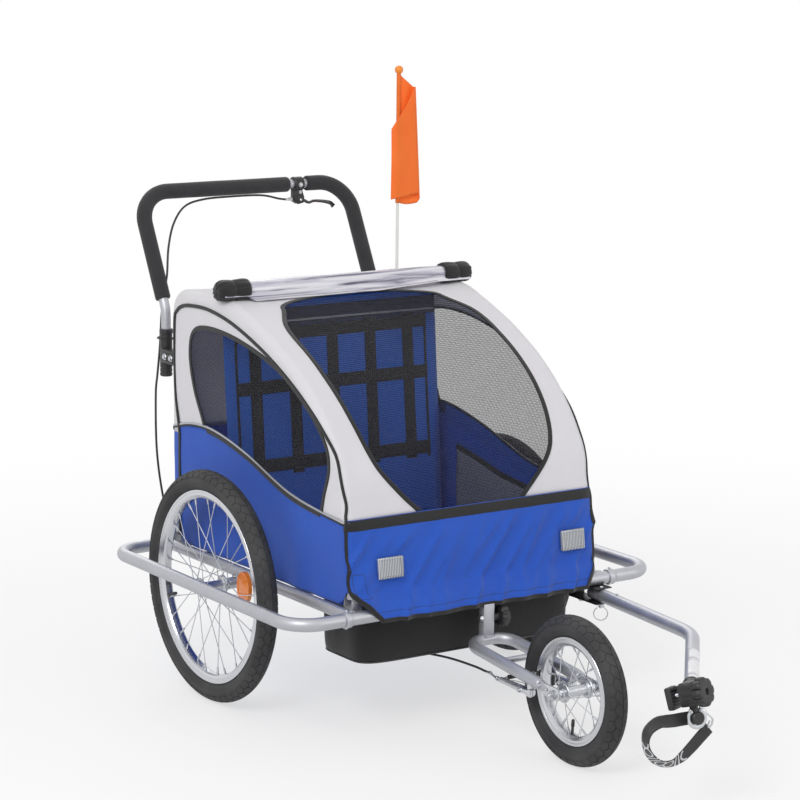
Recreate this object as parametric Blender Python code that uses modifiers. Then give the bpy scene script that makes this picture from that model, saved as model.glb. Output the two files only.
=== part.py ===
"""Two-seat child bicycle trailer with a jogging wheel, a push handle and a tow arm.

Metres, +Z up. The trailer stands on its three tyres at Z = 0, its front towards -Y.
Every length along Y is measured from the rear axle, and one parent empty carries the
whole trailer so that the origin lies below the middle of its outline.
"""

import math
from collections import namedtuple

import bmesh
import bpy
from mathutils import Matrix, Vector

# Clearances and common stock
GAP = 0.0003
FABRIC = 0.0025
CLOTH = 0.0010
SMOOTH_ANGLE = math.radians(40)

# Wheels
Wheel = namedtuple(
    "Wheel", "radius tyre_width spokes crossing steps hub_half flange_radius barrel_radius axle_radius"
)
REAR_WHEEL = Wheel(0.250, 0.045, 28, 2, 26, 0.034, 0.0210, 0.0105, 0.0063)
FRONT_WHEEL = Wheel(0.1527, 0.046, 20, 1, 22, 0.036, 0.0200, 0.0100, 0.0050)
REAR_TRACK = 0.770
WHEELBASE = 0.7687
SPOKE_RADIUS = 0.0010
SPOKE_OFFSET = 0.0020
SPOKE_SIDES = 4
FLANGE_INSET = 0.0065
FLANGE_WIDTH = 0.0036
HUB_STEPS = 12
AXLE_SIDES = 12

# Base frame
FRAME_Z = 0.272
RAIL_X = 0.315
RAIL_RADIUS = 0.0125
CROSSBAR_RADIUS = 0.0135
CROSSBAR_HALF = 0.345
FRONT_BAR_Y = -0.450
REAR_BAR_Y = 0.310
MID_BAR_Y = -0.215
MID_BAR_RADIUS = 0.0095
RECEIVER_RADIUS = 0.0125
RECEIVER_INNER_X = 0.268
RECEIVER_OUTER_X = 0.3455

# Bumper loops beside the wheels
BUMPER_X = 0.4556
BUMPER_RADIUS = 0.0140
BUMPER_BEND = 0.065
PLUG_RADIUS = 0.0098
PLUG_LENGTH = 0.045

# Cabin
BODY_HALF = 0.311
BODY_EDGE = 0.0155
TUB_BOTTOM_Z = 0.2860
HOOP_RADIUS = 0.0125
HOOP_CLEARANCE = 0.0005
BRACKET_CHEEK = 0.003
BRACKET_TOP_Z = {"rear": 0.328, "front": 0.314}
CORNER_CUT_Z = {"rear": 0.345, "front": 0.316}
SEAT_BAR_RADIUS = 0.0095
SEAT_BAR_Y = 0.150
SEAT_BAR_Z = 0.826

# Push handle
HANDLE_X = 0.2786
HANDLE_FOOT_Y = 0.3815
HANDLE_TOP_Y = 0.5082
HANDLE_TOP_Z = 1.0355
HANDLE_RADIUS = 0.0110
HANDLE_END_Z = 0.652
HANDLE_KNEE_Z = 0.785
HANDLE_BEND = 0.075
GRIP_RADIUS = 0.0175
GRIP_LOWER_Z = 0.809
GRIP_LEFT_END_X = 0.118
GRIP_RIGHT_END_X = 0.166
SOCKET_RADIUS = 0.0140
SOCKET_TOP_Z = 0.744
SOCKET_BOTTOM_Z = 0.637

# Jogging wheel yoke
LEG_X = 0.050
LEG_RADIUS = 0.0125
LEG_DROP = 0.142
YOKE_REAR_Y = -0.455
YOKE_REAR_Z = 0.200
YOKE_LEG_END_Y = -0.722
DROPOUT_THICKNESS = 0.004
POST_Y = -0.469
KNOB_Z = 0.2335

# Brake at the jogging wheel
BRAKE_PIVOT_Y = -0.690
BRAKE_ARM_Z = 0.1385
BRAKE_TIP_Y = -0.588
PAD_TRAVEL = 0.0013
PAD_HALF_LENGTH = 0.0175
LEVER_PIVOT_X = 0.150
LEVER_PIVOT_Z = 0.9985

# Tow arm and hitch
ARM_RADIUS = 0.0143
ARM_PIVOT = (0.2992, -0.4703)
ARM_TAIL = 0.036
ARM_ELBOW = (0.2627, -0.8132)
ARM_END = (0.0117, -1.1063)
ARM_BEND = 0.140
TOW_PLATE = 0.003
TOW_BRACKET_AHEAD = 0.010
TOW_BRACKET_BEHIND = 0.086
TOW_PIN_RADIUS = 0.0045
CLAMP_CENTRE = (0.0020, -1.1500, 0.2472)
CLAMP_TURN = 19.0
CLAMP_LIFT = 17.0
HITCH_KNOB_RADIUS = 0.0285
HITCH_KNOB_DEPTH = 0.020
CLAMP_BODY_DEPTH = 0.034
CLAMP_GAP = 0.016
CLAMP_JAW_DEPTH = 0.015
CLAMP_BOLT_RADIUS = 0.0038

# Rolled rain cover, flag
ROLL_Y = 0.075
ROLL_RADIUS = 0.018
ROLL_HALF = 0.3193
ROLL_CAP_RADIUS = 0.021
ROLL_CAP_INNER_X = 0.253
FLAG_X = 0.291
FLAG_POLE_RADIUS = 0.0035
FLAG_POLE_FOOT_Z = 0.7225
FLAG_POLE_TOP_Z = 1.306
FLAG_TOP_Z = 1.292
FLAG_LENGTH = 0.270
FLAG_SLEEVE_POINTS = 8

# The origin lies below the middle between the hitch knob and the handle's foam
CLAMP_AXIS = Vector(
    (
        math.sin(math.radians(CLAMP_TURN)) * math.cos(math.radians(CLAMP_LIFT)),
        -math.cos(math.radians(CLAMP_TURN)) * math.cos(math.radians(CLAMP_LIFT)),
        math.sin(math.radians(CLAMP_LIFT)),
    )
)
FRONT_REACH = (
    -CLAMP_CENTRE[1]
    - CLAMP_AXIS.y * HITCH_KNOB_DEPTH / 2
    + HITCH_KNOB_RADIUS * math.sqrt(1 - CLAMP_AXIS.y**2)
)
REAR_REACH = HANDLE_TOP_Y + GRIP_RADIUS
REAR_AXLE_Y = (FRONT_REACH - REAR_REACH) / 2

COLLECTION = "bicycle_trailer"
SIDES = {"left": -1, "right": 1}


# Scene and materials


def clear_scene():
    for obj in list(bpy.data.objects):
        bpy.data.objects.remove(obj, do_unlink=True)


def make_collection(name):
    made = bpy.data.collections.new(name)
    bpy.context.scene.collection.children.link(made)
    return made


def principled(name, colour, roughness, metallic=0.0):
    made = bpy.data.materials.new(name)
    made.use_nodes = True
    made.diffuse_color = (*colour, 1.0)
    shader = made.node_tree.nodes["Principled BSDF"]
    shader.inputs["Base Color"].default_value = (*colour, 1.0)
    shader.inputs["Roughness"].default_value = roughness
    shader.inputs["Metallic"].default_value = metallic
    return made


def make_materials():
    return {
        "frame": principled("grey_powder_coat", (0.45, 0.46, 0.48), 0.35, 0.6),
        "steel": principled("zinc_plated_steel", (0.60, 0.60, 0.60), 0.30, 1.0),
        "alloy": principled("polished_alloy", (0.75, 0.75, 0.76), 0.25, 1.0),
        "tyre": principled("tyre_rubber", (0.03, 0.03, 0.03), 0.80),
        "rubber": principled("black_rubber", (0.02, 0.02, 0.02), 0.70),
        "plastic": principled("black_plastic", (0.02, 0.02, 0.022), 0.45),
        "foam": principled("black_foam", (0.03, 0.03, 0.035), 0.90),
        "white": principled("off_white_polyester", (0.78, 0.77, 0.78), 0.85),
        "blue": principled("blue_polyester", (0.02, 0.10, 0.45), 0.80),
        "black": principled("black_polyester", (0.015, 0.015, 0.018), 0.85),
        "mesh": principled("insect_mesh", (0.05, 0.05, 0.05), 0.90),
        "clear": principled("clear_vinyl", (0.70, 0.72, 0.74), 0.15),
        "amber": principled("amber_reflector", (0.90, 0.25, 0.02), 0.20),
        "lens": principled("clear_reflector", (0.75, 0.77, 0.80), 0.15),
        "orange": principled("orange_nylon", (0.95, 0.20, 0.02), 0.70),
        "fibreglass": principled("white_fibreglass", (0.80, 0.80, 0.78), 0.40),
    }


# Shapes


def place(name, mesh, material, at=(0, 0, 0), smooth=True):
    """Adds a mesh, given in rear axle coordinates, with its origin at the point given."""
    mesh.transform(Matrix.Translation(-Vector(at)))
    mesh.materials.clear()
    mesh.materials.append(MATERIALS[material])
    if smooth:
        mesh.shade_smooth()
        mesh.set_sharp_from_angle(angle=SMOOTH_ANGLE)
    mesh.name = name
    obj = bpy.data.objects.new(name, mesh)
    TRAILER.objects.link(obj)
    obj.parent = STATION
    obj.location = at
    return obj


def finish(bm):
    """A bmesh closed into mesh data with its faces turned out."""
    bmesh.ops.remove_doubles(bm, verts=bm.verts, dist=0.000002)
    bmesh.ops.recalc_face_normals(bm, faces=bm.faces)
    mesh = bpy.data.meshes.new("shape")
    bm.to_mesh(mesh)
    bm.free()
    return mesh


def evaluated(obj, hollow=False):
    """The mesh that an object's modifiers or bevel make, in world space, and the object removed."""
    bpy.context.view_layer.update()
    graph = bpy.context.evaluated_depsgraph_get()
    mesh = bpy.data.meshes.new_from_object(obj.evaluated_get(graph))
    mesh.transform(obj.matrix_world)
    bpy.data.objects.remove(obj, do_unlink=True)
    if hollow:
        return mesh
    bm = bmesh.new()
    bm.from_mesh(mesh)
    return finish(bm)


def helper(name, data):
    obj = bpy.data.objects.new(name, data)
    obj.hide_render = True
    obj.display_type = "WIRE"
    CUTTERS.objects.link(obj)
    return obj


def combine(operation, body, tools):
    """The body after a Boolean with each tool in turn."""
    obj = helper("body", body)
    for tool in tools:
        modifier = obj.modifiers.new("combine", "BOOLEAN")
        modifier.operation = operation
        modifier.solver = "EXACT"
        modifier.object = helper("tool", tool)
    made = [modifier.object for modifier in obj.modifiers]
    mesh = evaluated(obj, hollow=True)
    for tool in made:
        bpy.data.objects.remove(tool, do_unlink=True)
    return mesh


def join(body, *tools):
    return combine("UNION", body, tools)


def cut(body, *tools):
    return combine("DIFFERENCE", body, tools)


def common(body, tool):
    return combine("INTERSECT", body, [tool])


def box(low, high, rounding=0.0, segments=2):
    """A box between two corners, its edges rounded where a radius is given."""
    low = Vector(low)
    high = Vector(high)
    size = high - low
    bm = bmesh.new()
    bmesh.ops.create_cube(bm, size=1.0)
    bmesh.ops.scale(bm, vec=size, verts=bm.verts)
    bmesh.ops.translate(bm, vec=(low + high) / 2, verts=bm.verts)
    if rounding:
        bmesh.ops.bevel(
            bm, geom=bm.edges[:], offset=rounding, segments=segments, profile=0.5, affect="EDGES"
        )
    return finish(bm)


def rod(start, end, radius, sides=12, end_radius=None):
    """A round bar or cone between two points."""
    start = Vector(start)
    run = Vector(end) - start
    bm = bmesh.new()
    bmesh.ops.create_cone(
        bm,
        cap_ends=True,
        segments=sides,
        radius1=radius,
        radius2=radius if end_radius is None else end_radius,
        depth=run.length,
    )
    turn = Vector((0, 0, 1)).rotation_difference(run).to_matrix().to_4x4()
    bmesh.ops.transform(bm, matrix=Matrix.Translation(start + run / 2) @ turn, verts=bm.verts)
    return finish(bm)


def turned(profile, steps, axis="X"):
    """A closed profile of (along, radius) points turned about the axis, starting straight down."""
    along = {"X": 0, "Y": 1, "Z": 2}[axis]
    out = 0 if axis == "Z" else 2
    mesh = bpy.data.meshes.new("profile")
    points = []
    for distance, radius in profile:
        point = [0.0, 0.0, 0.0]
        point[along] = distance
        point[out] = -radius
        points.append(point)
    count = len(points)
    edges = [(i, (i + 1) % count) for i in range(count)]
    edges = [(i, j) for i, j in edges if profile[i][1] > 0 or profile[j][1] > 0]
    mesh.from_pydata(points, edges, [])
    obj = helper("turned", mesh)
    screw = obj.modifiers.new("turn", "SCREW")
    screw.axis = axis
    screw.angle = 2 * math.pi
    screw.steps = steps
    screw.render_steps = steps
    screw.use_merge_vertices = True
    screw.merge_threshold = 0.00001
    return evaluated(obj)


def tube(points, radius, resolution=3):
    """A round tube along a path of points, with closed ends."""
    curve = bpy.data.curves.new("path", "CURVE")
    curve.dimensions = "3D"
    curve.bevel_depth = radius
    curve.bevel_resolution = resolution
    curve.use_fill_caps = True
    spline = curve.splines.new("POLY")
    spline.points.add(len(points) - 1)
    for slot, point in zip(spline.points, points):
        slot.co = (*point, 1.0)
    return evaluated(helper("tube", curve))


def rounded_path(corners, radius, steps=5):
    """Corner points joined by straight runs, with an arc at each inner corner."""
    corners = [Vector(corner) for corner in corners]
    points = [corners[0]]
    for before, corner, after in zip(corners, corners[1:], corners[2:]):
        into = (corner - before).normalized()
        turn = into.angle((after - corner).normalized())
        axis = into.cross(after - corner).normalized()
        start = corner - into * radius * math.tan(turn / 2)
        centre = start + axis.cross(into) * radius
        for i in range(steps + 1):
            points.append(centre + Matrix.Rotation(turn * i / steps, 3, axis) @ (start - centre))
    points.append(corners[-1])
    return points


def smooth_curve(points, per_span=3, closed=False):
    """Points on a Catmull-Rom curve through the points given."""
    points = [Vector(point) for point in points]
    count = len(points)
    spans = count if closed else count - 1
    made = []
    for i in range(spans):
        if closed:
            a, b, c, d = (points[(i + k) % count] for k in (-1, 0, 1, 2))
        else:
            b, c = points[i], points[i + 1]
            a = points[i - 1] if i else b * 2 - c
            d = points[i + 2] if i + 2 < count else c * 2 - b
        for k in range(per_span):
            t = k / per_span
            made.append(
                ((2 * b) + (c - a) * t + (2 * a - 5 * b + 4 * c - d) * t**2
                 + (3 * b - a - 3 * c + d) * t**3) / 2
            )
    if not closed:
        made.append(points[-1])
    return made


def offset(points, distance, closed=True):
    """A flat outline moved to the left of its direction of travel by the distance given."""
    points = [Vector(point) for point in points]
    count = len(points)
    made = []
    for i, point in enumerate(points):
        before = points[i - 1] if closed or i else None
        after = points[(i + 1) % count] if closed or i + 1 < count else None
        sides = []
        if before is not None:
            sides.append((point - before).normalized())
        if after is not None:
            sides.append((after - point).normalized())
        normals = [Vector((-side.y, side.x)) for side in sides]
        mean = sum(normals, Vector((0, 0))).normalized()
        made.append(point + mean * (distance / mean.dot(normals[0])))
    return made


def slab(outline, low, high, to_world, holes=()):
    """A flat outline with holes, extruded from low to high along its own third axis."""
    curve = bpy.data.curves.new("outline", "CURVE")
    curve.dimensions = "2D"
    curve.fill_mode = "BOTH"
    curve.extrude = (high - low) / 2
    for ring in (outline, *holes):
        spline = curve.splines.new("POLY")
        spline.use_cyclic_u = True
        spline.points.add(len(ring) - 1)
        for slot, point in zip(spline.points, ring):
            slot.co = (point[0], point[1], 0.0, 1.0)
    obj = helper("slab", curve)
    obj.matrix_world = to_world @ Matrix.Translation((0, 0, (low + high) / 2))
    return evaluated(obj)


def lofted(rings, closed_ends=True):
    """A skin over rings of points with equal counts, closed by a flat face at each end."""
    bm = bmesh.new()
    rows = [[bm.verts.new(point) for point in ring] for ring in rings]
    count = len(rows[0])
    for row, after in zip(rows, rows[1:]):
        for i in range(count):
            j = (i + 1) % count
            bm.faces.new((row[i], row[j], after[j], after[i]))
    if closed_ends:
        bm.faces.new(rows[0][::-1])
        bm.faces.new(rows[-1])
    return finish(bm)


def sheet(rows, thickness):
    """A skin over a grid of points given a thickness behind it."""
    bm = bmesh.new()
    grid = [[bm.verts.new(point) for point in row] for row in rows]
    for row, after in zip(grid, grid[1:]):
        for i in range(len(row) - 1):
            bm.faces.new((row[i], row[i + 1], after[i + 1], after[i]))
    mesh = bpy.data.meshes.new("skin")
    bm.to_mesh(mesh)
    bm.free()
    obj = helper("skin", mesh)
    solid = obj.modifiers.new("wall", "SOLIDIFY")
    solid.thickness = thickness
    solid.offset = -1
    solid.use_even_offset = True
    return evaluated(obj)


def mirrored(mesh, side):
    """The mesh as it is for the right side, and turned over for the left one."""
    if side < 0:
        mesh.transform(Matrix.Diagonal((-1, 1, 1, 1)))
        mesh.flip_normals()
    return mesh


# Frames for flat outlines: local x, y and z along the world axes named
YZ_X = Matrix(((0, 0, 1, 0), (1, 0, 0, 0), (0, 1, 0, 0), (0, 0, 0, 1)))
XZ_Y = Matrix(((1, 0, 0, 0), (0, 0, -1, 0), (0, 1, 0, 0), (0, 0, 0, 1)))
XY_Z = Matrix.Identity(4)


# Wheels


def tyre(wheel, centre):
    radius, width = wheel.radius, wheel.tyre_width
    bead = 0.26 * width
    half = [
        (0.0, radius),
        (0.30 * width, radius - 0.075 * width),
        (0.48 * width, radius - 0.32 * width),
        (0.46 * width, radius - 0.66 * width),
        (bead, radius - 0.91 * width),
        (bead, bead_radius(wheel)),
    ]
    mesh = turned(half + [(-x, r) for x, r in half[:0:-1]], wheel.steps)
    mesh.transform(Matrix.Translation(centre))
    return mesh


def bead_radius(wheel):
    return wheel.radius - 1.03 * wheel.tyre_width


def rim_inner_radius(wheel):
    return bead_radius(wheel) - 0.32 * wheel.tyre_width


def rim_half_width(wheel):
    return 0.26 * wheel.tyre_width + GAP + 0.0016


def rim(wheel, centre):
    well = bead_radius(wheel) - GAP
    inner = 0.26 * wheel.tyre_width + GAP
    outer = rim_half_width(wheel)
    top = well + 0.0048
    half = [
        (inner, well),
        (inner, top),
        (outer, top),
        (outer, well - 0.007),
        (0.55 * outer, rim_inner_radius(wheel)),
    ]
    mesh = turned(half + [(-x, r) for x, r in half[::-1]], wheel.steps)
    mesh.transform(Matrix.Translation(centre))
    return mesh


def bore_radius(shaft_radius, steps):
    """A bore of flat facets whose nearest faces clear a turning shaft."""
    return (shaft_radius + GAP) / math.cos(math.pi / steps)


def spoke_ends(wheel):
    """Pairs of hub and rim points: spokes lead and trail in turn, their heads in and out."""
    per_side = wheel.spokes // 2
    flange_x = wheel.hub_half - FLANGE_INSET
    reach = rim_inner_radius(wheel) * math.cos(math.pi / wheel.steps) - 2 * GAP
    pitch = 2 * math.pi / per_side
    for side in (-1, 1):
        for k in range(per_side):
            lead = 1 if k % 2 else -1
            start = pitch * (k + side / 4)
            end = start + lead * wheel.crossing * pitch
            hub_x = side * flange_x + lead * SPOKE_OFFSET
            rim_x = side * 0.0025
            hub_r = 0.80 * wheel.flange_radius
            yield (
                Vector((hub_x, hub_r * math.sin(start), hub_r * math.cos(start))),
                Vector((rim_x, reach * math.sin(end), reach * math.cos(end))),
            )


def spoked_hub(wheel, centre):
    """Hub shell with its two flanges, bored for the axle, and all its spokes."""
    bore = bore_radius(wheel.axle_radius, HUB_STEPS)
    outer = wheel.hub_half - FLANGE_INSET + FLANGE_WIDTH / 2
    inner = outer - FLANGE_WIDTH
    half = [
        (wheel.hub_half, bore),
        (outer, bore + 0.004),
        (outer, wheel.flange_radius),
        (inner, wheel.flange_radius),
        (inner, wheel.barrel_radius),
    ]
    hub = turned(half + [(-x, r) for x, r in half[::-1]], HUB_STEPS)
    bm = bmesh.new()
    for start, end in spoke_ends(wheel):
        part = rod(start, end, SPOKE_RADIUS, SPOKE_SIDES)
        bm.from_mesh(part)
        bpy.data.meshes.remove(part)
    spokes = bpy.data.meshes.new("spokes")
    bm.to_mesh(spokes)
    bm.free()
    mesh = join(hub, spokes)
    mesh.transform(Matrix.Translation(centre))
    return mesh


def make_rear_wheels():
    for name, side in SIDES.items():
        centre = Vector((side * REAR_TRACK / 2, 0, REAR_WHEEL.radius))
        place(f"rear_tyre_{name}", tyre(REAR_WHEEL, centre), "tyre", centre)
        place(f"rear_rim_{name}", rim(REAR_WHEEL, centre), "alloy", centre)
        place(f"rear_spokes_{name}", spoked_hub(REAR_WHEEL, centre), "steel", centre)
        place(f"spoke_reflector_{name}", spoke_reflector(centre), "amber", centre)
        place(f"rear_axle_{name}", rear_axle(centre, side), "plastic", centre)


def spoke_reflector(centre):
    """An oval reflector standing between the two planes of spokes."""
    reach = 0.136
    ring = []
    for i in range(14):
        angle = 2 * math.pi * i / 14
        ring.append((-reach + 0.024 * math.cos(angle), 0.026 + 0.034 * math.sin(angle)))
    mesh = slab(ring, -0.0045, 0.0045, YZ_X)
    mesh.transform(Matrix.Translation(centre))
    return mesh


def rear_axle(centre, side):
    """Pin with a washer against the frame and a cap outside the hub, a turned piece."""
    hub = REAR_WHEEL.hub_half
    frame_x = RECEIVER_OUTER_X - centre.x * side
    inner_x = RECEIVER_INNER_X + 0.002 - centre.x * side
    profile = [
        (inner_x, 0.0),
        (inner_x, REAR_WHEEL.axle_radius),
        (frame_x + GAP, REAR_WHEEL.axle_radius),
        (frame_x + GAP, 0.0095),
        (-hub - GAP, 0.0095),
        (-hub - GAP, REAR_WHEEL.axle_radius),
        (hub + GAP, REAR_WHEEL.axle_radius),
        (hub + GAP, 0.0105),
        (hub + 0.008, 0.0100),
        (hub + 0.011, 0.0070),
        (hub + 0.011, 0.0),
    ]
    mesh = turned(profile, AXLE_SIDES)
    mesh.transform(Matrix.Translation((REAR_TRACK / 2, 0, REAR_WHEEL.radius)))
    return mirrored(mesh, side)


# Base frame and bumpers


def hoop_path():
    """Centre line of a side hoop, inside the cabin's outline, from its rear foot to its front foot."""
    inset = FABRIC + HOOP_CLEARANCE + HOOP_RADIUS
    points = offset(body_outline()[:-1], inset, closed=False)
    foot_z = FRAME_Z + 0.030
    path = [Vector((points[0].x, foot_z))] + points[1:-1] + [Vector((points[-1].x, foot_z))]
    return path


def hoop_x():
    return BODY_HALF - FABRIC - HOOP_CLEARANCE - HOOP_RADIUS


def hoop_feet():
    path = hoop_path()
    return {"rear": path[0].x, "front": path[-1].x}


def hoop_brackets():
    """Two cheeks at each hoop foot, welded to the rail's inner top."""
    x_in = hoop_x() - HOOP_RADIUS
    x_out = BODY_HALF - FABRIC - 0.001
    for end, foot_y in hoop_feet().items():
        for way in (-1, 1):
            near = HOOP_RADIUS + GAP
            ends = sorted((foot_y + way * near, foot_y + way * (near + BRACKET_CHEEK)))
            for side in (-1, 1):
                span = sorted((side * x_in, side * x_out))
                yield box((span[0], ends[0], FRAME_Z - 0.006), (span[1], ends[1], BRACKET_TOP_Z[end]))


def base_frame():
    """Welded ladder of rails and crossbars with the receivers and brackets that it carries."""
    body = rod((-CROSSBAR_HALF, FRONT_BAR_Y, FRAME_Z), (CROSSBAR_HALF, FRONT_BAR_Y, FRAME_Z), CROSSBAR_RADIUS)
    parts = [
        rod((-CROSSBAR_HALF, REAR_BAR_Y, FRAME_Z), (CROSSBAR_HALF, REAR_BAR_Y, FRAME_Z), CROSSBAR_RADIUS),
        rod((-RAIL_X, MID_BAR_Y, FRAME_Z), (RAIL_X, MID_BAR_Y, FRAME_Z), MID_BAR_RADIUS),
    ]
    rails = []
    receivers = []
    bores = []
    for side in (-1, 1):
        x = side * RAIL_X
        rails.append(rod((x, FRONT_BAR_Y, FRAME_Z), (x, REAR_BAR_Y, FRAME_Z), RAIL_RADIUS))
        receivers.append(
            rod((side * RECEIVER_INNER_X, 0, REAR_WHEEL.radius),
                (side * RECEIVER_OUTER_X, 0, REAR_WHEEL.radius), RECEIVER_RADIUS, AXLE_SIDES)
        )
        bores.append(
            rod((side * (RECEIVER_INNER_X + 0.0015), 0, REAR_WHEEL.radius),
                (side * (RECEIVER_OUTER_X + 0.01), 0, REAR_WHEEL.radius),
                REAR_WHEEL.axle_radius + GAP, AXLE_SIDES)
        )
        for bar_y in (FRONT_BAR_Y, REAR_BAR_Y):
            bores.append(
                rod((side * (CROSSBAR_HALF - PLUG_LENGTH - 0.001), bar_y, FRAME_Z),
                    (side * (CROSSBAR_HALF + 0.01), bar_y, FRAME_Z), PLUG_RADIUS + GAP)
            )
    stub = box((-0.0099, POST_Y - 0.0042, 0.2150), (0.0099, POST_Y + 0.0090, FRAME_Z - 0.006))
    bores.append(rod((-0.02, POST_Y, KNOB_Z), (0.02, POST_Y, KNOB_Z), 0.0040, 10))
    body = join(body, *parts, *rails, *receivers, stub, *hoop_brackets())
    return cut(body, *bores, hoop(-1, GAP), hoop(1, GAP))


def bumper(side):
    """Bent tube loop outside the wheel, its swaged ends plugged into the crossbars."""
    start_x = CROSSBAR_HALF + GAP
    corners = [
        (start_x, REAR_BAR_Y, FRAME_Z),
        (BUMPER_X, REAR_BAR_Y, FRAME_Z),
        (BUMPER_X, FRONT_BAR_Y, FRAME_Z),
        (start_x, FRONT_BAR_Y, FRAME_Z),
    ]
    loop = tube(rounded_path(corners, BUMPER_BEND, 4), BUMPER_RADIUS, 2)
    plugs = [
        rod((CROSSBAR_HALF - PLUG_LENGTH, y, FRAME_Z), (CROSSBAR_HALF + 0.006, y, FRAME_Z), PLUG_RADIUS)
        for y in (FRONT_BAR_Y, REAR_BAR_Y)
    ]
    return mirrored(join(loop, *plugs), side)


# Cabin


def body_outline():
    """Outer outline of the cabin in (y, z), from the rear bottom corner over the roof to the front."""
    rear_y = 0.300
    roof = smooth_curve(
        [(0.105, 0.852), (0.013, 0.837), (-0.150, 0.772), (-0.295, 0.676), (-0.385, 0.562), (-0.409, 0.464)], 2
    )
    corner = rounded_path([(rear_y, 0.600, 0), (rear_y, 0.850, 0), (0.105, 0.852, 0)], 0.055, 3)[1:-1]
    rear = [Vector((rear_y, TUB_BOTTOM_Z))] + [Vector((point.x, point.y)) for point in corner]
    front = [Vector((-0.4265, 0.317)), Vector((-0.4275, TUB_BOTTOM_Z))]
    return rear + roof + front + [Vector((rear_y, TUB_BOTTOM_Z))]


def front_y(z):
    """Where the cabin's front slope lies at a height."""
    outline = body_outline()[:-1]
    slope = [point for point in outline if point.x < 0.106]
    for above, below in zip(slope, slope[1:]):
        if below.y <= z <= above.y:
            share = (z - below.y) / (above.y - below.y)
            return below.x + share * (above.x - below.x)
    return slope[-1].x


def roof_z(y):
    """Height of the cabin's top above a point behind its front slope."""
    outline = body_outline()[:-1]
    for ahead, behind in zip(outline[1:], outline):
        if ahead.x <= y <= behind.x and behind.y > 0.8:
            share = (y - ahead.x) / (behind.x - ahead.x)
            return ahead.y + share * (behind.y - ahead.y)
    return outline[0].y


def cabin_shell():
    """The whole fabric shell, its side edges rounded over the hoops."""
    outline = body_outline()[:-1]
    bm = bmesh.new()
    rings = [[bm.verts.new((x, p.x, p.y)) for p in outline] for x in (-BODY_HALF, BODY_HALF)]
    count = len(outline)
    for i in range(count):
        j = (i + 1) % count
        bm.faces.new((rings[0][i], rings[0][j], rings[1][j], rings[1][i]))
    bm.faces.new(rings[0][::-1])
    bm.faces.new(rings[1])
    bmesh.ops.recalc_face_normals(bm, faces=bm.faces)
    edges = [
        edge for edge in bm.edges
        if abs(edge.verts[0].co.x - edge.verts[1].co.x) < 0.001
        and max(vert.co.z for vert in edge.verts) > TUB_BOTTOM_Z + 0.001
    ]
    bmesh.ops.bevel(bm, geom=edges, offset=BODY_EDGE, segments=2, profile=0.5, affect="EDGES")
    mesh = bpy.data.meshes.new("shell")
    bm.to_mesh(mesh)
    bm.free()
    obj = helper("shell", mesh)
    wall = obj.modifiers.new("wall", "SOLIDIFY")
    wall.thickness = FABRIC
    wall.offset = -1
    wall.use_even_offset = True
    return evaluated(obj, hollow=True)


def seam_line():
    """Where the white top meets the blue tub, in (y, z) from rear to front."""
    line = smooth_curve(
        [(0.301, 0.538), (0.210, 0.558), (0.110, 0.558), (-0.023, 0.531), (-0.200, 0.478), (-0.400, 0.4565)], 2
    )
    return [Vector((0.36, 0.538))] + line + [Vector((-0.50, 0.4565))]


def half_space(shift, above):
    """A block over or under the seam line, to cut the shell with."""
    line = [point + Vector((0, shift)) for point in seam_line()]
    edge_z = 1.2 if above else 0.1
    outline = line + [Vector((-0.50, edge_z)), Vector((0.36, edge_z))]
    return slab(outline, -0.40, 0.40, YZ_X)


def side_window_outline():
    """Side window in (y, z), its lower edge running below the seam."""
    curve = smooth_curve(
        [(0.161, 0.572), (0.197, 0.640), (0.216, 0.715), (0.200, 0.766), (0.132, 0.781), (0.010, 0.772),
         (-0.140, 0.735), (-0.252, 0.678), (-0.325, 0.612), (-0.343, 0.560), (-0.326, 0.498), (-0.317, 0.462)],
        2,
    )
    return curve + [Vector((-0.312, 0.440)), Vector((0.140, 0.535))]


FRONT_WINDOW_WIDTHS = [
    (0.466, 0.134), (0.505, 0.175), (0.560, 0.219), (0.620, 0.238), (0.690, 0.247),
    (0.760, 0.249), (0.806, 0.243), (0.834, 0.205), (0.848, 0.125),
]


def front_window_outline():
    """Front window as (x, t): t runs up a plane that leans back at 45 degrees."""
    right = []
    for z, half in FRONT_WINDOW_WIDTHS:
        right.append(Vector((half, (front_y(z) + z) / math.sqrt(2))))
    right = smooth_curve(right, 2)
    return right + [Vector((-point.x, point.y)) for point in right[::-1]]


def front_window_prism(inset):
    lean = Matrix(
        (
            (1, 0, 0, 0),
            (0, math.sqrt(0.5), -math.sqrt(0.5), 0),
            (0, math.sqrt(0.5), math.sqrt(0.5), 0),
            (0, 0, 0, 1),
        )
    )
    return slab(offset(front_window_outline(), inset), 0.50, 0.76, lean)


def handle_slot_boxes():
    """Slots in the rear panel for the two arms that carry the handle sockets."""
    for side in (-1, 1):
        span = sorted((side * 0.2700, side * 0.3000))
        yield box((span[0], 0.26, 0.668), (span[1], 0.32, 0.704))


def canopy():
    """White top with its window openings, handle slots and the flag's sleeve."""
    body = cut(cabin_shell(), half_space(GAP, above=False))
    window = slab(side_window_outline(), -0.40, 0.40, YZ_X)
    body = cut(body, window, front_window_prism(0.0), *handle_slot_boxes())
    sleeve_y = flag_y()
    radius = FLAG_POLE_RADIUS + 0.003
    body = join(body, rod((FLAG_X, sleeve_y, FLAG_POLE_FOOT_Z - 0.006), (FLAG_X, sleeve_y, 0.790), radius, 12))
    bore = rod((FLAG_X, sleeve_y, FLAG_POLE_FOOT_Z - GAP), (FLAG_X, sleeve_y, 0.80), FLAG_POLE_RADIUS + GAP, 12)
    return cut(body, bore)


def flag_y():
    return 0.300 + FLAG_POLE_RADIUS + 0.0022


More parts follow.
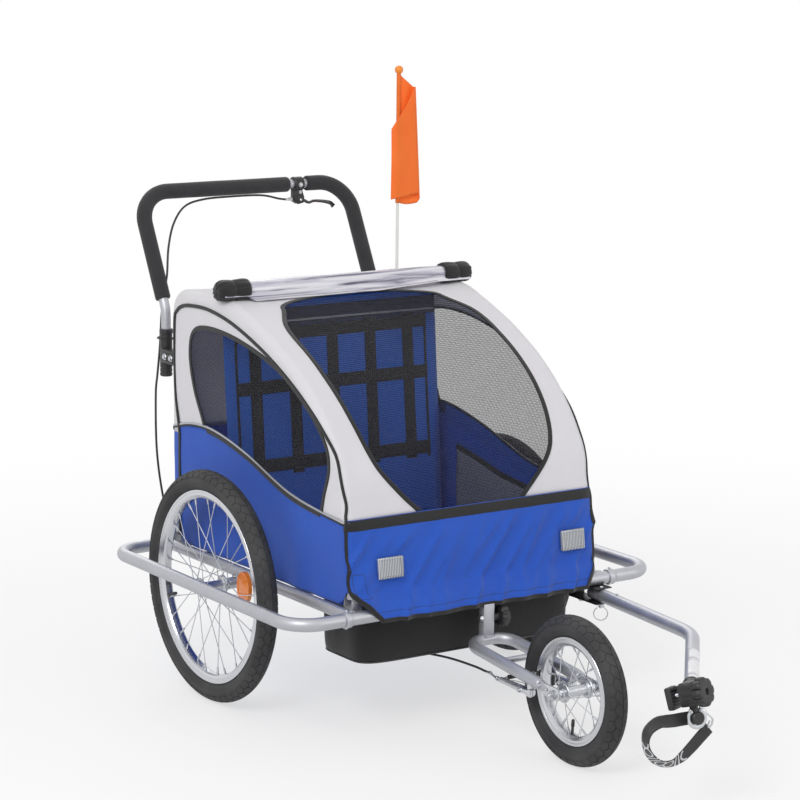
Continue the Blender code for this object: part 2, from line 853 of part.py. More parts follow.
def tub():
    """Blue lower cabin: walls and floor, cut out at the footwell and at the hoop feet."""
    body = cut(cabin_shell(), half_space(-GAP, above=True))
    x_in = hoop_x() - HOOP_RADIUS - 0.002
    cutters = [box((-0.262, -0.404, 0.27), (0.262, -0.240, 0.30))]
    for end, foot_y in hoop_feet().items():
        reach = HOOP_RADIUS + BRACKET_CHEEK + 0.0030
        for side in (-1, 1):
            span = sorted((side * x_in, side * 0.33))
            cutters.append(box((span[0], foot_y - reach, 0.27), (span[1], foot_y + reach, CORNER_CUT_Z[end])))
    return cut(body, *cutters)


def front_apron():
    """Blue flap over the cabin's front, its lower corners cut off and its hem flared over the crossbar."""
    rows = []
    levels = [
        (-0.4118, 0.4630, 0.3106),
        (-0.4212, 0.3900, 0.3112),
        (-0.4301, 0.3166, 0.3114),
        (-0.4499, 0.2973, 0.2920),
        (-0.4691, 0.2757, 0.2715),
    ]
    for y, z, half in levels:
        rows.append([(half * k / 4, y, z) for k in range(4, -5, -1)])
    return sheet(rows, FABRIC)


def front_mesh():
    """Insect mesh in the front window, following the slope of the cabin."""
    outline = offset(body_outline()[:-1], 0.0006, closed=False)
    slope = [point for point in outline if point.x < 0.11]
    rows = [[(x, point.x, point.y) for x in (0.27, -0.27)] for point in slope[:-2]]
    strip = sheet(rows, CLOTH)
    return common(strip, front_window_prism(GAP))


def side_mesh(side):
    """Insect mesh in the side window, down to the tub's edge."""
    outer = BODY_HALF - 0.0006
    panel = slab(offset(side_window_outline(), GAP), outer - CLOTH, outer, YZ_X)
    return mirrored(cut(panel, half_space(GAP, above=False)), side)


def hoop(side, clearance=0.0):
    """Side hoop, or with a clearance the space that its brackets leave for it."""
    path = [Vector((hoop_x(), point.x, point.y)) for point in hoop_path()]
    return mirrored(tube(path, HOOP_RADIUS + clearance, 2), side)


def seat_bar():
    half = hoop_x() - HOOP_RADIUS - GAP
    return rod((-half, SEAT_BAR_Y, SEAT_BAR_Z), (half, SEAT_BAR_Y, SEAT_BAR_Z), SEAT_BAR_RADIUS)


SEAT_HALF = 0.2785
SEAT_FOOT_Y = 0.088
SEAT_FOOT_Z = TUB_BOTTOM_Z + FABRIC + GAP
SEAT_THICKNESS = 0.004


def seat_lean():
    """Height direction of the seat back and the point at its foot, on its front face."""
    front_top = Vector((SEAT_BAR_Y - SEAT_BAR_RADIUS - GAP - FABRIC - 0.001, SEAT_BAR_Z))
    foot = Vector((SEAT_FOOT_Y, SEAT_FOOT_Z))
    return foot, front_top


def seat_back():
    """Fabric back rest that hangs from the seat bar by its hem and reaches down to the floor."""
    foot, top = seat_lean()
    outline = [
        (foot.x, foot.y),
        (top.x, top.y),
        (top.x + SEAT_THICKNESS, top.y),
        (foot.x + SEAT_THICKNESS, foot.y),
    ]
    panel = slab(outline, -SEAT_HALF, SEAT_HALF, YZ_X)
    hem = rod((-SEAT_HALF, SEAT_BAR_Y, SEAT_BAR_Z), (SEAT_HALF, SEAT_BAR_Y, SEAT_BAR_Z),
              SEAT_BAR_RADIUS + GAP + FABRIC)
    bore = rod((-0.3, SEAT_BAR_Y, SEAT_BAR_Z), (0.3, SEAT_BAR_Y, SEAT_BAR_Z), SEAT_BAR_RADIUS + GAP)
    return cut(join(panel, hem), bore)


STRAP_WIDTH = 0.029
STRAP_PITCH = 0.1005
STRAP_THICKNESS = 0.0016
STRAP_HEIGHTS = (0.470, 0.642, 0.757)


def seat_webbing():
    """Lattice of black straps over the back rest, one piece with open fields between them."""
    foot, top = seat_lean()
    along = (top - foot).normalized()
    length = 0.790 - foot.y
    half = 2.5 * STRAP_PITCH
    outline = [(-half, 0.16), (half, 0.16), (half, length), (-half, length)]
    levels = [0.16 - STRAP_WIDTH / 2]
    levels += [(z - foot.y) / along.y for z in STRAP_HEIGHTS]
    levels.append(length + STRAP_WIDTH / 2)
    holes = []
    for low, high in zip(levels, levels[1:]):
        for k in range(-2, 4):
            left = max((k - 1) * STRAP_PITCH + STRAP_WIDTH / 2, -half + 0.006)
            right = min(k * STRAP_PITCH - STRAP_WIDTH / 2, half - 0.006)
            if high - low > 0.04 and right > left + 0.01:
                bottom = low + STRAP_WIDTH / 2
                upper = high - STRAP_WIDTH / 2 - (0.010 if high == levels[-1] else 0)
                holes.append([(left, bottom), (right, bottom), (right, upper), (left, upper)])
    mesh = slab(outline, 0, STRAP_THICKNESS, XY_Z, holes)
    lean = math.atan2(along.x, along.y)
    mesh.transform(
        Matrix.Translation((0, foot.x - GAP / math.cos(lean), foot.y))
        @ Matrix.Rotation(-lean, 4, "X") @ XZ_Y
    )
    return mesh


def seat_pad():
    """Seat cushion on the floor: crowned top, drawn-in sides and a channel down its middle."""
    front, rear = -0.165, 0.070
    half, thick, crown = 0.262, 0.030, 0.012
    across, along = 12, 6
    low_z = SEAT_FOOT_Z
    bm = bmesh.new()
    bmesh.ops.create_grid(bm, x_segments=across, y_segments=along, size=1.0)
    for vert in bm.verts:
        u, v = vert.co.x, vert.co.y
        swell = (1 - u**4) * (1 - v**4)
        channel = 0.006 * math.exp(-((u / 0.09) ** 2))
        pull = 1 - 0.02 * (1 - abs(v)) * abs(u)
        vert.co = Vector((u * half * pull, (front + rear) / 2 + v * (rear - front) / 2,
                          low_z + thick + crown * swell - channel * swell))
    top = bm.faces[:]
    lowered = bmesh.ops.extrude_face_region(bm, geom=top)
    for item in lowered["geom"]:
        if isinstance(item, bmesh.types.BMVert):
            item.co.z = low_z
    return finish(bm)


def pocket(side):
    """Flat net pocket against the inside of the tub's side wall."""
    outline = [(0.075, SEAT_FOOT_Z), (0.080, 0.468), (0.006, 0.455), (-0.098, 0.432), (-0.205, 0.420),
               (-0.205, SEAT_FOOT_Z)]
    outer = BODY_HALF - FABRIC - GAP
    return mirrored(slab(outline, outer - 0.0015, outer, YZ_X), side)


def footwell_bag():
    """Black footwell under the floor, an open pouch with rounded corners and a sagging bottom."""
    rim_z = TUB_BOTTOM_Z - GAP
    levels = [
        (rim_z, 0.270, -0.414, -0.231, 0.012),
        (0.236, 0.269, -0.413, -0.236, 0.014),
        (0.172, 0.262, -0.406, -0.250, 0.020),
        (0.158, 0.250, -0.396, -0.262, 0.024),
        (0.150, 0.170, -0.370, -0.290, 0.024),
    ]
    rings = []
    for z, half, front, rear, radius in levels:
        corners = [(half, front), (half, rear), (-half, rear), (-half, front)]
        ring = []
        for k, (x, y) in enumerate(corners):
            sx = 1 if x > 0 else -1
            sy = -1 if y == front else 1
            start = math.atan2(sy, sx) - math.pi / 4
            for i in range(3):
                angle = start + math.pi / 2 * i / 2
                ring.append(Vector((x - sx * radius + radius * math.cos(angle),
                                    y - sy * radius + radius * math.sin(angle), z)))
        rings.append(ring)
    bm = bmesh.new()
    rows = [[bm.verts.new(point) for point in ring] for ring in rings]
    for row, after in zip(rows, rows[1:]):
        for i in range(len(row)):
            j = (i + 1) % len(row)
            bm.faces.new((row[i], row[j], after[j], after[i]))
    bm.faces.new(rows[-1])
    bmesh.ops.recalc_face_normals(bm, faces=bm.faces)
    mesh = bpy.data.meshes.new("bag")
    bm.to_mesh(mesh)
    bm.free()
    obj = helper("bag", mesh)
    wall = obj.modifiers.new("wall", "SOLIDIFY")
    wall.thickness = FABRIC
    wall.offset = -1
    wall.use_even_offset = True
    made = evaluated(obj)
    if volume(made) < 0:
        made.flip_normals()
    return made


def volume(mesh):
    bm = bmesh.new()
    bm.from_mesh(mesh)
    found = bm.calc_volume(signed=True)
    bm.free()
    return found


REFLECTOR_CENTRES = {"left": -0.210, "right": 0.256}


def front_reflector(x):
    """Rectangular reflector sewn on the front flap, leaning with it."""
    lower = Vector((-0.4301, 0.3166))
    upper = Vector((-0.4212, 0.3900))
    centre = (lower + upper) / 2
    lean = math.atan2(upper.x - lower.x, upper.y - lower.y)
    body = box((-0.031, -0.009 - GAP, -0.026), (0.031, -GAP, 0.026), 0.0025, 2)
    body.transform(Matrix.Translation((x, centre.x, centre.y)) @ Matrix.Rotation(-lean, 4, "X"))
    return body


def make_cabin():
    place("canopy", canopy(), "white")
    place("tub", tub(), "blue")
    place("front_apron", front_apron(), "blue")
    place("front_mesh", front_mesh(), "mesh")
    place("seat_top_bar", seat_bar(), "frame", (0, SEAT_BAR_Y, SEAT_BAR_Z))
    place("seat_back", seat_back(), "blue")
    place("seat_webbing", seat_webbing(), "black")
    place("seat_pad", seat_pad(), "blue")
    place("footwell_bag", footwell_bag(), "black")
    for name, side in SIDES.items():
        place(f"hoop_{name}", hoop(side), "frame")
        place(f"side_mesh_{name}", side_mesh(side), "mesh")
        place(f"side_pocket_{name}", pocket(side), "mesh")
        place(f"front_reflector_{name}", front_reflector(REFLECTOR_CENTRES[name]), "lens")


# Rain cover roll


def roll_z():
    return roof_z(ROLL_Y) + GAP + ROLL_CAP_RADIUS


def make_rain_roll():
    centre = Vector((0, ROLL_Y, roll_z()))
    roll = rod((-ROLL_HALF, *centre.yz), (ROLL_HALF, *centre.yz), ROLL_RADIUS, 16)
    place("rain_cover_roll", roll, "clear", centre)
    for name, side in SIDES.items():
        bore = ROLL_RADIUS + GAP
        end = ROLL_HALF + GAP
        profile = [
            (ROLL_CAP_INNER_X, bore),
            (end, bore),
            (end, 0.0),
            (end + 0.003, 0.0),
            (end + 0.003, ROLL_CAP_RADIUS - 0.003),
            (end, ROLL_CAP_RADIUS),
            (ROLL_CAP_INNER_X, ROLL_CAP_RADIUS),
        ]
        cap = turned(profile, 16)
        cap.transform(Matrix.Translation(centre))
        place(f"rain_roll_cap_{name}", mirrored(cap, side), "rubber", centre)


# Push handle


def handle_corners():
    """Corner points of the handle, from the left foot up, across and down."""
    return [
        (-HANDLE_X, HANDLE_FOOT_Y, HANDLE_END_Z),
        (-HANDLE_X, HANDLE_FOOT_Y, HANDLE_KNEE_Z),
        (-HANDLE_X, HANDLE_TOP_Y, HANDLE_TOP_Z),
        (HANDLE_X, HANDLE_TOP_Y, HANDLE_TOP_Z),
        (HANDLE_X, HANDLE_FOOT_Y, HANDLE_KNEE_Z),
        (HANDLE_X, HANDLE_FOOT_Y, HANDLE_END_Z),
    ]


def grip(side, end_x):
    """Foam sleeve over one leg, its corner and part of the crossbar."""
    corners = [Vector(point) for point in handle_corners()]
    knee, top = corners[1], corners[2]
    share = (GRIP_LOWER_Z - knee.z) / (top.z - knee.z)
    lower = knee.lerp(top, share)
    run = [Vector((side * HANDLE_X, point.y, point.z)) for point in (lower, top)]
    run.append(Vector((end_x, top.y, top.z)))
    path = rounded_path(run, HANDLE_BEND, 5)
    outer = tube(path, GRIP_RADIUS, 2)
    first = path[0] + (path[0] - path[1]).normalized() * 0.004
    last = path[-1] + (path[-1] - path[-2]).normalized() * 0.004
    bore = tube([first, *path[1:-1], last], HANDLE_RADIUS + GAP, 2)
    return cut(outer, bore)


def handle_socket(side):
    """Black sleeve that holds a handle leg, with an arm forward to the rear upright of the hoop."""
    x = HANDLE_X
    body = rod((x, HANDLE_FOOT_Y, SOCKET_BOTTOM_Z), (x, HANDLE_FOOT_Y, SOCKET_TOP_Z), SOCKET_RADIUS, 16)
    rear_y = hoop_feet()["rear"]
    arm = box((0.2715, rear_y + 0.004, 0.6705), (0.2985, HANDLE_FOOT_Y - 0.006, 0.7015))
    bore = rod((x, HANDLE_FOOT_Y, HANDLE_END_Z - 0.004), (x, HANDLE_FOOT_Y, SOCKET_TOP_Z + 0.01),
               HANDLE_RADIUS + GAP, 16)
    saddle = rod((hoop_x(), rear_y, 0.60), (hoop_x(), rear_y, 0.80), HOOP_RADIUS + 2 * GAP, 16)
    return mirrored(cut(join(body, arm), bore, saddle), side)


def lever_clamp():
    """Brake lever's bracket: a ring on the bar and a tapered body that reaches down to the pivot."""
    y, z = HANDLE_TOP_Y, HANDLE_TOP_Z
    low_x, high_x = GRIP_LEFT_END_X + 0.009, GRIP_RIGHT_END_X - 0.006
    ring = rod((low_x + 0.004, y, z), (high_x - 0.004, y, z), HANDLE_RADIUS + 0.0055, 16)
    outline = [(0.131, z - 0.010), (0.153, z - 0.010), (0.160, 1.004), (0.158, 0.991), (0.143, 0.988), (0.131, 0.995)]
    body = slab(outline, -y - 0.008, -y + 0.008, XZ_Y)
    barrel = rod((0.121, y, 1.0005), (0.134, y, 1.0005), 0.0042, 10)
    slot = box((0.139, y - 0.0033, 0.97), (0.17, y + 0.0033, 1.0065))
    pin_hole = rod((LEVER_PIVOT_X, y - 0.02, LEVER_PIVOT_Z), (LEVER_PIVOT_X, y + 0.02, LEVER_PIVOT_Z), 0.0022, 10)
    bore = rod((0.10, y, z), (0.18, y, z), HANDLE_RADIUS + GAP, 16)
    return cut(join(ring, body, barrel), slot, pin_hole, bore)


def brake_lever():
    """Lever blade with its curled tip, on a pin through the bracket's slot."""
    y = HANDLE_TOP_Y
    centre = smooth_curve(
        [(0.1500, 0.9985), (0.1640, 0.9950), (0.1760, 0.9900), (0.1900, 0.9935), (0.2150, 0.9925),
         (0.2380, 0.9890), (0.2470, 0.9805)], 2
    )
    upper = offset(centre, 0.0034, closed=False)
    lower = offset(centre, -0.0034, closed=False)
    blade = slab(upper + lower[::-1], -y - 0.0028, -y + 0.0028, XZ_Y)
    boss = rod((LEVER_PIVOT_X, y - 0.0028, LEVER_PIVOT_Z), (LEVER_PIVOT_X, y + 0.0028, LEVER_PIVOT_Z), 0.0055, 12)
    pin = rod((LEVER_PIVOT_X, y - 0.0085, LEVER_PIVOT_Z), (LEVER_PIVOT_X, y + 0.0085, LEVER_PIVOT_Z), 0.0018, 10)
    return join(blade, boss, pin)


def make_handle():
    path = rounded_path(handle_corners(), HANDLE_BEND, 5)
    foot = (0, HANDLE_FOOT_Y, HANDLE_END_Z)
    place("push_handle", tube(path, HANDLE_RADIUS, 2), "frame", foot)
    place("grip_left", grip(-1, GRIP_LEFT_END_X), "foam", foot)
    place("grip_right", grip(1, GRIP_RIGHT_END_X), "foam", foot)
    for name, side in SIDES.items():
        place(f"handle_socket_{name}", handle_socket(side), "plastic", (side * HANDLE_X, HANDLE_FOOT_Y, SOCKET_BOTTOM_Z))
    place("lever_clamp", lever_clamp(), "plastic", (LEVER_PIVOT_X, HANDLE_TOP_Y, HANDLE_TOP_Z))
    place("brake_lever", brake_lever(), "plastic", (LEVER_PIVOT_X, HANDLE_TOP_Y, LEVER_PIVOT_Z))


# Flag


def make_flag():
    y = flag_y()
    pole = rod((FLAG_X, y, FLAG_POLE_FOOT_Z), (FLAG_X, y, FLAG_POLE_TOP_Z), FLAG_POLE_RADIUS, 10)
    bm = bmesh.new()
    bmesh.ops.create_uvsphere(bm, u_segments=12, v_segments=8, radius=0.0085)
    bmesh.ops.translate(bm, vec=(FLAG_X, y, FLAG_POLE_TOP_Z + 0.004), verts=bm.verts)
    place("flag_pole", join(pole, finish(bm)), "fibreglass", (FLAG_X, y, FLAG_POLE_FOOT_Z))
    place("flag", flag_cloth(), "orange", (FLAG_X, y, FLAG_TOP_Z))


def flag_cloth():
    """Limp pennant: a sleeve round the pole and a hanging sheet in three deep folds."""
    y = flag_y()
    ring = FLAG_POLE_RADIUS + GAP + CLOTH
    line = []
    for i in range(FLAG_SLEEVE_POINTS):
        angle = math.radians(200 - 36 * i)
        line.append(Vector((ring * math.cos(angle), ring * math.sin(angle))))
    folds = 10
    for i in range(1, folds + 1):
        share = i / folds
        line.append(Vector((ring + 0.046 * share, -ring - 0.002 + 0.011 * math.sin(share * 3 * math.pi))))
    rows = []
    for step in range(7):
        drop = step / 6
        row = []
        for i, point in enumerate(line):
            share = max(0, i - FLAG_SLEEVE_POINTS + 1) / folds
            top = FLAG_TOP_Z - 0.012 * share
            bottom = FLAG_TOP_Z - FLAG_LENGTH + 0.030 * share + 0.012 * math.sin(share * 3 * math.pi)
            spread = 1 - 0.35 * (1 - drop) * share
            x = point.x if i < FLAG_SLEEVE_POINTS else ring + (point.x - ring) * spread
            row.append((FLAG_X + x, y + point.y, top + (bottom - top) * drop))
        rows.append(row)
    return sheet(rows, CLOTH)


# Jogging wheel, yoke and brake


def leg_z(y):
    return YOKE_REAR_Z + LEG_DROP * (y - YOKE_REAR_Y)


def front_yoke():
    """U-shaped tube round the jogging wheel, its post, brace, brake studs and slotted dropouts."""
    corners = [
        (-LEG_X, YOKE_LEG_END_Y, leg_z(YOKE_LEG_END_Y)),
        (-LEG_X, YOKE_REAR_Y, YOKE_REAR_Z),
        (LEG_X, YOKE_REAR_Y, YOKE_REAR_Z),
        (LEG_X, YOKE_LEG_END_Y, leg_z(YOKE_LEG_END_Y)),
    ]
    body = tube(rounded_path(corners, LEG_X - 0.003, 4), LEG_RADIUS, 3)
    web_y = POST_Y - 0.0045
    post = box((-0.0132, web_y - 0.003, YOKE_REAR_Z - 0.010), (0.0132, web_y, 0.264))
    parts = [post]
    for side in (-1, 1):
        span = sorted((side * 0.0102, side * 0.0132))
        parts.append(box((span[0], web_y - 0.002, YOKE_REAR_Z - 0.004), (span[1], POST_Y + 0.011, 0.2580)))
        x = side * LEG_X
        centre = Vector((0, -WHEELBASE, FRONT_WHEEL.radius))
        low = -DROPOUT_THICKNESS / 2
        high = DROPOUT_THICKNESS / 2
        outline = [
            (-0.700, leg_z(-0.700) - 0.008), (-0.700, leg_z(-0.700) + 0.007), (-0.735, leg_z(-0.735) + 0.009),
            (centre.y - 0.012, centre.z + 0.013), (centre.y - 0.018, centre.z), (centre.y - 0.010, centre.z - 0.013),
            (-0.735, centre.z - 0.010),
        ]
        parts.append(slab(outline, x + low, x + high, YZ_X))
        stud_x = side * 0.0520
        parts.append(rod((stud_x, BRAKE_PIVOT_Y, BRAKE_ARM_Z - 0.009), (stud_x, BRAKE_PIVOT_Y, 0.170), 0.0038, 12))
        parts.append(rod((stud_x, BRAKE_PIVOT_Y, BRAKE_ARM_Z + 0.0063), (stud_x, BRAKE_PIVOT_Y, 0.170), 0.0070, 12))
    brace_y = -0.585
    parts.append(rod((-LEG_X, brace_y, leg_z(brace_y)), (LEG_X, brace_y, leg_z(brace_y)), 0.0065, 10))
    bores = [rod((-0.02, POST_Y, KNOB_Z), (0.02, POST_Y, KNOB_Z), 0.0040, 10)]
    for side in (-1, 1):
        x = side * LEG_X
        bores.append(rod((x - 0.01, -WHEELBASE, FRONT_WHEEL.radius), (x + 0.01, -WHEELBASE, FRONT_WHEEL.radius),
                         FRONT_WHEEL.axle_radius + GAP, AXLE_SIDES))
    return cut(join(body, *parts), *bores)


def front_axle():
    """Axle through both dropouts with cones inside and nuts outside, a turned piece."""
    hub = FRONT_WHEEL.hub_half
    drop_in = LEG_X - DROPOUT_THICKNESS / 2
    drop_out = LEG_X + DROPOUT_THICKNESS / 2
    thin = FRONT_WHEEL.axle_radius
    half = [
        (0.0, thin),
        (hub + GAP, thin),
        (hub + GAP, 0.0075),
        (drop_in - GAP, 0.0095),
        (drop_in - GAP, thin),
        (drop_out + GAP, thin),
        (drop_out + GAP, 0.0095),
        (drop_out + 0.0090, 0.0085),
        (drop_out + 0.0092, thin - 0.0006),
        (drop_out + 0.0150, thin - 0.0006),
        (drop_out + 0.0150, 0.0),
    ]
    profile = half[::-1] + [(-x, r) for x, r in half[1:]]
    mesh = turned(profile, AXLE_SIDES)
    mesh.transform(Matrix.Translation((0, -WHEELBASE, FRONT_WHEEL.radius)))
    return mesh


def yoke_knob():
    """Round knob whose bolt passes through the yoke's post and the frame's stub."""
    bolt = rod((-0.0195, POST_Y, KNOB_Z), (0.030, POST_Y, KNOB_Z), 0.0036, 10)
    sleeve = rod((0.0132 + GAP, POST_Y, KNOB_Z), (0.029, POST_Y, KNOB_Z), 0.0065, 10)
    head = rod((-0.0185, POST_Y, KNOB_Z), (-0.0132 - GAP, POST_Y, KNOB_Z), 0.0065, 6)
    wheel = lobed_knob(0.0215, 0.0185, 0.019, 10, XZ_Y)
    wheel.transform(Matrix.Rotation(math.pi / 2, 4, "Z"))
    wheel.transform(Matrix.Translation((0.0275, POST_Y, KNOB_Z)))
    return join(bolt, sleeve, head, wheel)


def lobed_knob(tip, root, depth, lobes, frame):
    """A knob with round lobes, its back face at the frame's origin."""
    ring = []
    per_lobe = 4
    for i in range(lobes * per_lobe):
        angle = 2 * math.pi * i / (lobes * per_lobe)
        wave = (1 + math.cos(lobes * angle)) / 2
        radius = root + (tip - root) * wave
        ring.append((radius * math.cos(angle), radius * math.sin(angle)))
    return slab(ring, 0, depth, frame)


def pad_clearance():
    return PAD_TRAVEL + 0.0002


def brake_arm(side):
    """Brake arm with its boss round the stud, its pad beside the rim and, on the left, the cable's bent pipe."""
    x = 0.052
    low = BRAKE_ARM_Z - 0.0055
    high = BRAKE_ARM_Z + 0.0055
    outline = [(x - 0.0095, BRAKE_PIVOT_Y - 0.006), (x + 0.0095, BRAKE_PIVOT_Y - 0.006),
               (x + 0.0090, BRAKE_PIVOT_Y + 0.040), (x + 0.0045, BRAKE_TIP_Y), (x - 0.0065, BRAKE_TIP_Y),
               (x - 0.0080, BRAKE_PIVOT_Y + 0.045)]
    body = slab(outline, low, high, XY_Z)
    boss = rod((x, BRAKE_PIVOT_Y, BRAKE_ARM_Z - 0.0072), (x, BRAKE_PIVOT_Y, BRAKE_ARM_Z + 0.0060), 0.0098, 14)
    pad_y = BRAKE_PIVOT_Y + 0.0240
    face = rim_half_width(FRONT_WHEEL) + pad_clearance()
    pad_low = FRONT_WHEEL.radius - PAD_HALF_LENGTH
    pad_high = FRONT_WHEEL.radius + PAD_HALF_LENGTH
    pad = box((face, pad_y - 0.0040, pad_low), (face + 0.010, pad_y + 0.0040, pad_high), 0.0015, 1)
    post = rod((face + 0.006, pad_y, BRAKE_ARM_Z), (x, pad_y, BRAKE_ARM_Z), 0.0035, 10)
    tools = [boss, pad, post]
    if side < 0:
        pipe = smooth_curve(
            [(x - 0.022, BRAKE_TIP_Y + 0.0045), (x - 0.004, BRAKE_TIP_Y + 0.0045), (x - 0.002, BRAKE_TIP_Y + 0.012),
             (x - 0.006, BRAKE_TIP_Y + 0.030), (x - 0.010, BRAKE_TIP_Y + 0.046)], 3
        )
        tools.append(rod((x - 0.001, BRAKE_TIP_Y - 0.006, BRAKE_ARM_Z), (x - 0.001, BRAKE_TIP_Y + 0.009, BRAKE_ARM_Z),
                         0.0048, 10))
        tools.append(tube([(p.x, p.y, BRAKE_ARM_Z) for p in pipe], 0.0028, 2))
    body = join(body, *tools)
    bore = rod((x, BRAKE_PIVOT_Y, 0.12), (x, BRAKE_PIVOT_Y, 0.16), bore_radius(0.0038, 12), 12)
    return mirrored(cut(body, bore), side)


def make_front_wheel():
    centre = Vector((0, -WHEELBASE, FRONT_WHEEL.radius))
    place("front_tyre", tyre(FRONT_WHEEL, centre), "tyre", centre)
    place("front_rim", rim(FRONT_WHEEL, centre), "alloy", centre)
    place("front_spokes", spoked_hub(FRONT_WHEEL, centre), "steel", centre)
    place("front_axle", front_axle(), "steel", centre)
    place("front_yoke", front_yoke(), "frame", (0, YOKE_REAR_Y, YOKE_REAR_Z))
    place("yoke_knob", yoke_knob(), "plastic", (0, POST_Y, KNOB_Z))
    for name, side in SIDES.items():
        pivot = (side * 0.052, BRAKE_PIVOT_Y, BRAKE_ARM_Z)
        place(f"brake_arm_{name}", brake_arm(side), "alloy", pivot)


CABLE_RADIUS = 0.0025
CABLE_POINTS = [
    (0.1207, 0.5082, 1.0005),
    (0.1140, 0.5082, 1.0005),
    (0.095, 0.509, 1.003),
    (0.045, 0.5085, 1.0135),
    (-0.040, 0.5082, 1.0148),
    (-0.110, 0.5080, 1.0120),
    (-0.165, 0.496, 1.000),
    (-0.205, 0.476, 0.965),
    (-0.232, 0.452, 0.915),
    (-0.247, 0.432, 0.860),
    (-0.260, 0.419, 0.828),
    (-0.269, 0.4125, 0.800),
    (-0.276, 0.4070, 0.770),
    (-0.284, 0.4010, 0.700),
    (-0.292, 0.3980, 0.640),
    (-0.300, 0.3920, 0.593),
    (-0.305, 0.3800, 0.475),
    (-0.300, 0.3650, 0.377),
    (-0.290, 0.3450, 0.300),
    (-0.277, 0.334, 0.268),
    (-0.272, 0.320, 0.2515),
    (-0.262, 0.280, 0.2520),
    (-0.245, 0.180, 0.262),
    (-0.220, 0.040, 0.268),
    (-0.190, -0.120, 0.262),
    (-0.170, -0.205, 0.252),
    (-0.140, -0.232, 0.195),
    (-0.110, -0.262, 0.1465),
    (-0.085, -0.330, 0.1420),
    (-0.062, -0.420, 0.1450),
    (-0.047, -0.490, 0.1420),
    (-0.0425, -0.525, 0.1390),
    (-0.0418, -0.5413, 0.1385),
]


def brake_cable():
    """Housing from the lever under the handle's foam, down the left leg, under the floor to the brake."""
    return tube(smooth_curve(CABLE_POINTS, 2), CABLE_RADIUS, 1)


# Tow arm and hitch


def arm_z():
    return FRAME_Z - CROSSBAR_RADIUS - 2 * GAP - TOW_PLATE - ARM_RADIUS


def tow_bracket():
    """Channel bolted under the front crossbar: two plates and a web behind them, bored for the pin."""
    x, y = ARM_PIVOT
    top = FRAME_Z - CROSSBAR_RADIUS - GAP
    bottom = arm_z() - ARM_RADIUS - GAP - TOW_PLATE
    front, rear = y - TOW_BRACKET_AHEAD, y + TOW_BRACKET_BEHIND
    body = box((x - 0.021, front, bottom), (x + 0.021, rear, top), 0.0010, 1)
    opening = box((x - 0.03, front - 0.01, bottom + TOW_PLATE), (x + 0.03, rear - TOW_PLATE, top - TOW_PLATE))
    hole = rod((x, y, bottom - 0.01), (x, y, top + 0.01), TOW_PIN_RADIUS + GAP)
    return cut(body, opening, hole)


def tow_pin():
    """Pin that the arm turns on, with a collar under the bracket and a wire ring at its lower end."""
    x, y = ARM_PIVOT
    low = arm_z() - ARM_RADIUS - GAP - TOW_PLATE - GAP
    pin = rod((x, y, low - 0.010), (x, y, FRAME_Z - CROSSBAR_RADIUS + 0.002), TOW_PIN_RADIUS)
    collar = rod((x, y, low - 0.0035), (x, y, low), 0.0078)
    reach = 0.0145
    ring = [(x, y, low - 0.0065)]
    for i in range(12):
        angle = math.radians(108 + 324 * i / 11)
        across = reach * math.cos(angle)
        ring.append((x + across * 0.80, y - across * 0.60, low - 0.010 - reach * 0.70 + reach * math.sin(angle)))
    return join(pin, collar, tube(ring, 0.0012, 1))


def tow_arm():
    """Bent round tube from the bracket to the hitch, bored for the pin."""
    z = arm_z()
    pivot, elbow, end = (Vector((*point, z)) for point in (ARM_PIVOT, ARM_ELBOW, ARM_END))
    rear = pivot + (pivot - elbow).normalized() * ARM_TAIL
    body = tube(rounded_path([rear, elbow, end], ARM_BEND, 6), ARM_RADIUS, 4)
    bore = rod((pivot.x, pivot.y, z - 0.03), (pivot.x, pivot.y, z + 0.03), bore_radius(TOW_PIN_RADIUS, 12), 12)
    return cut(body, bore)


def clamp_frame():
    """Frame of the hitch clamp: its -Y runs along the screw towards the knob."""
    back = -CLAMP_AXIS
    right = Vector((0, 0, 1)).cross(CLAMP_AXIS).normalized()
    up = right.cross(back)
    turn = Matrix((right, back, up)).transposed().to_4x4()
    return Matrix.Translation(CLAMP_CENTRE) @ turn


def in_clamp(mesh):
    mesh.transform(clamp_frame())
    return mesh


def clamp_spans():
    """Along the screw: back of the knob, body, open jaw."""
    knob_back = HITCH_KNOB_DEPTH / 2
    body = (knob_back + GAP, knob_back + GAP + CLAMP_BODY_DEPTH)
    jaw = (body[1] + CLAMP_GAP, body[1] + CLAMP_GAP + CLAMP_JAW_DEPTH)
    return knob_back, body, jaw


JAW_RIGHT_X = 0.0125
RING_DROP = 0.047
RING_STUB = 0.0125


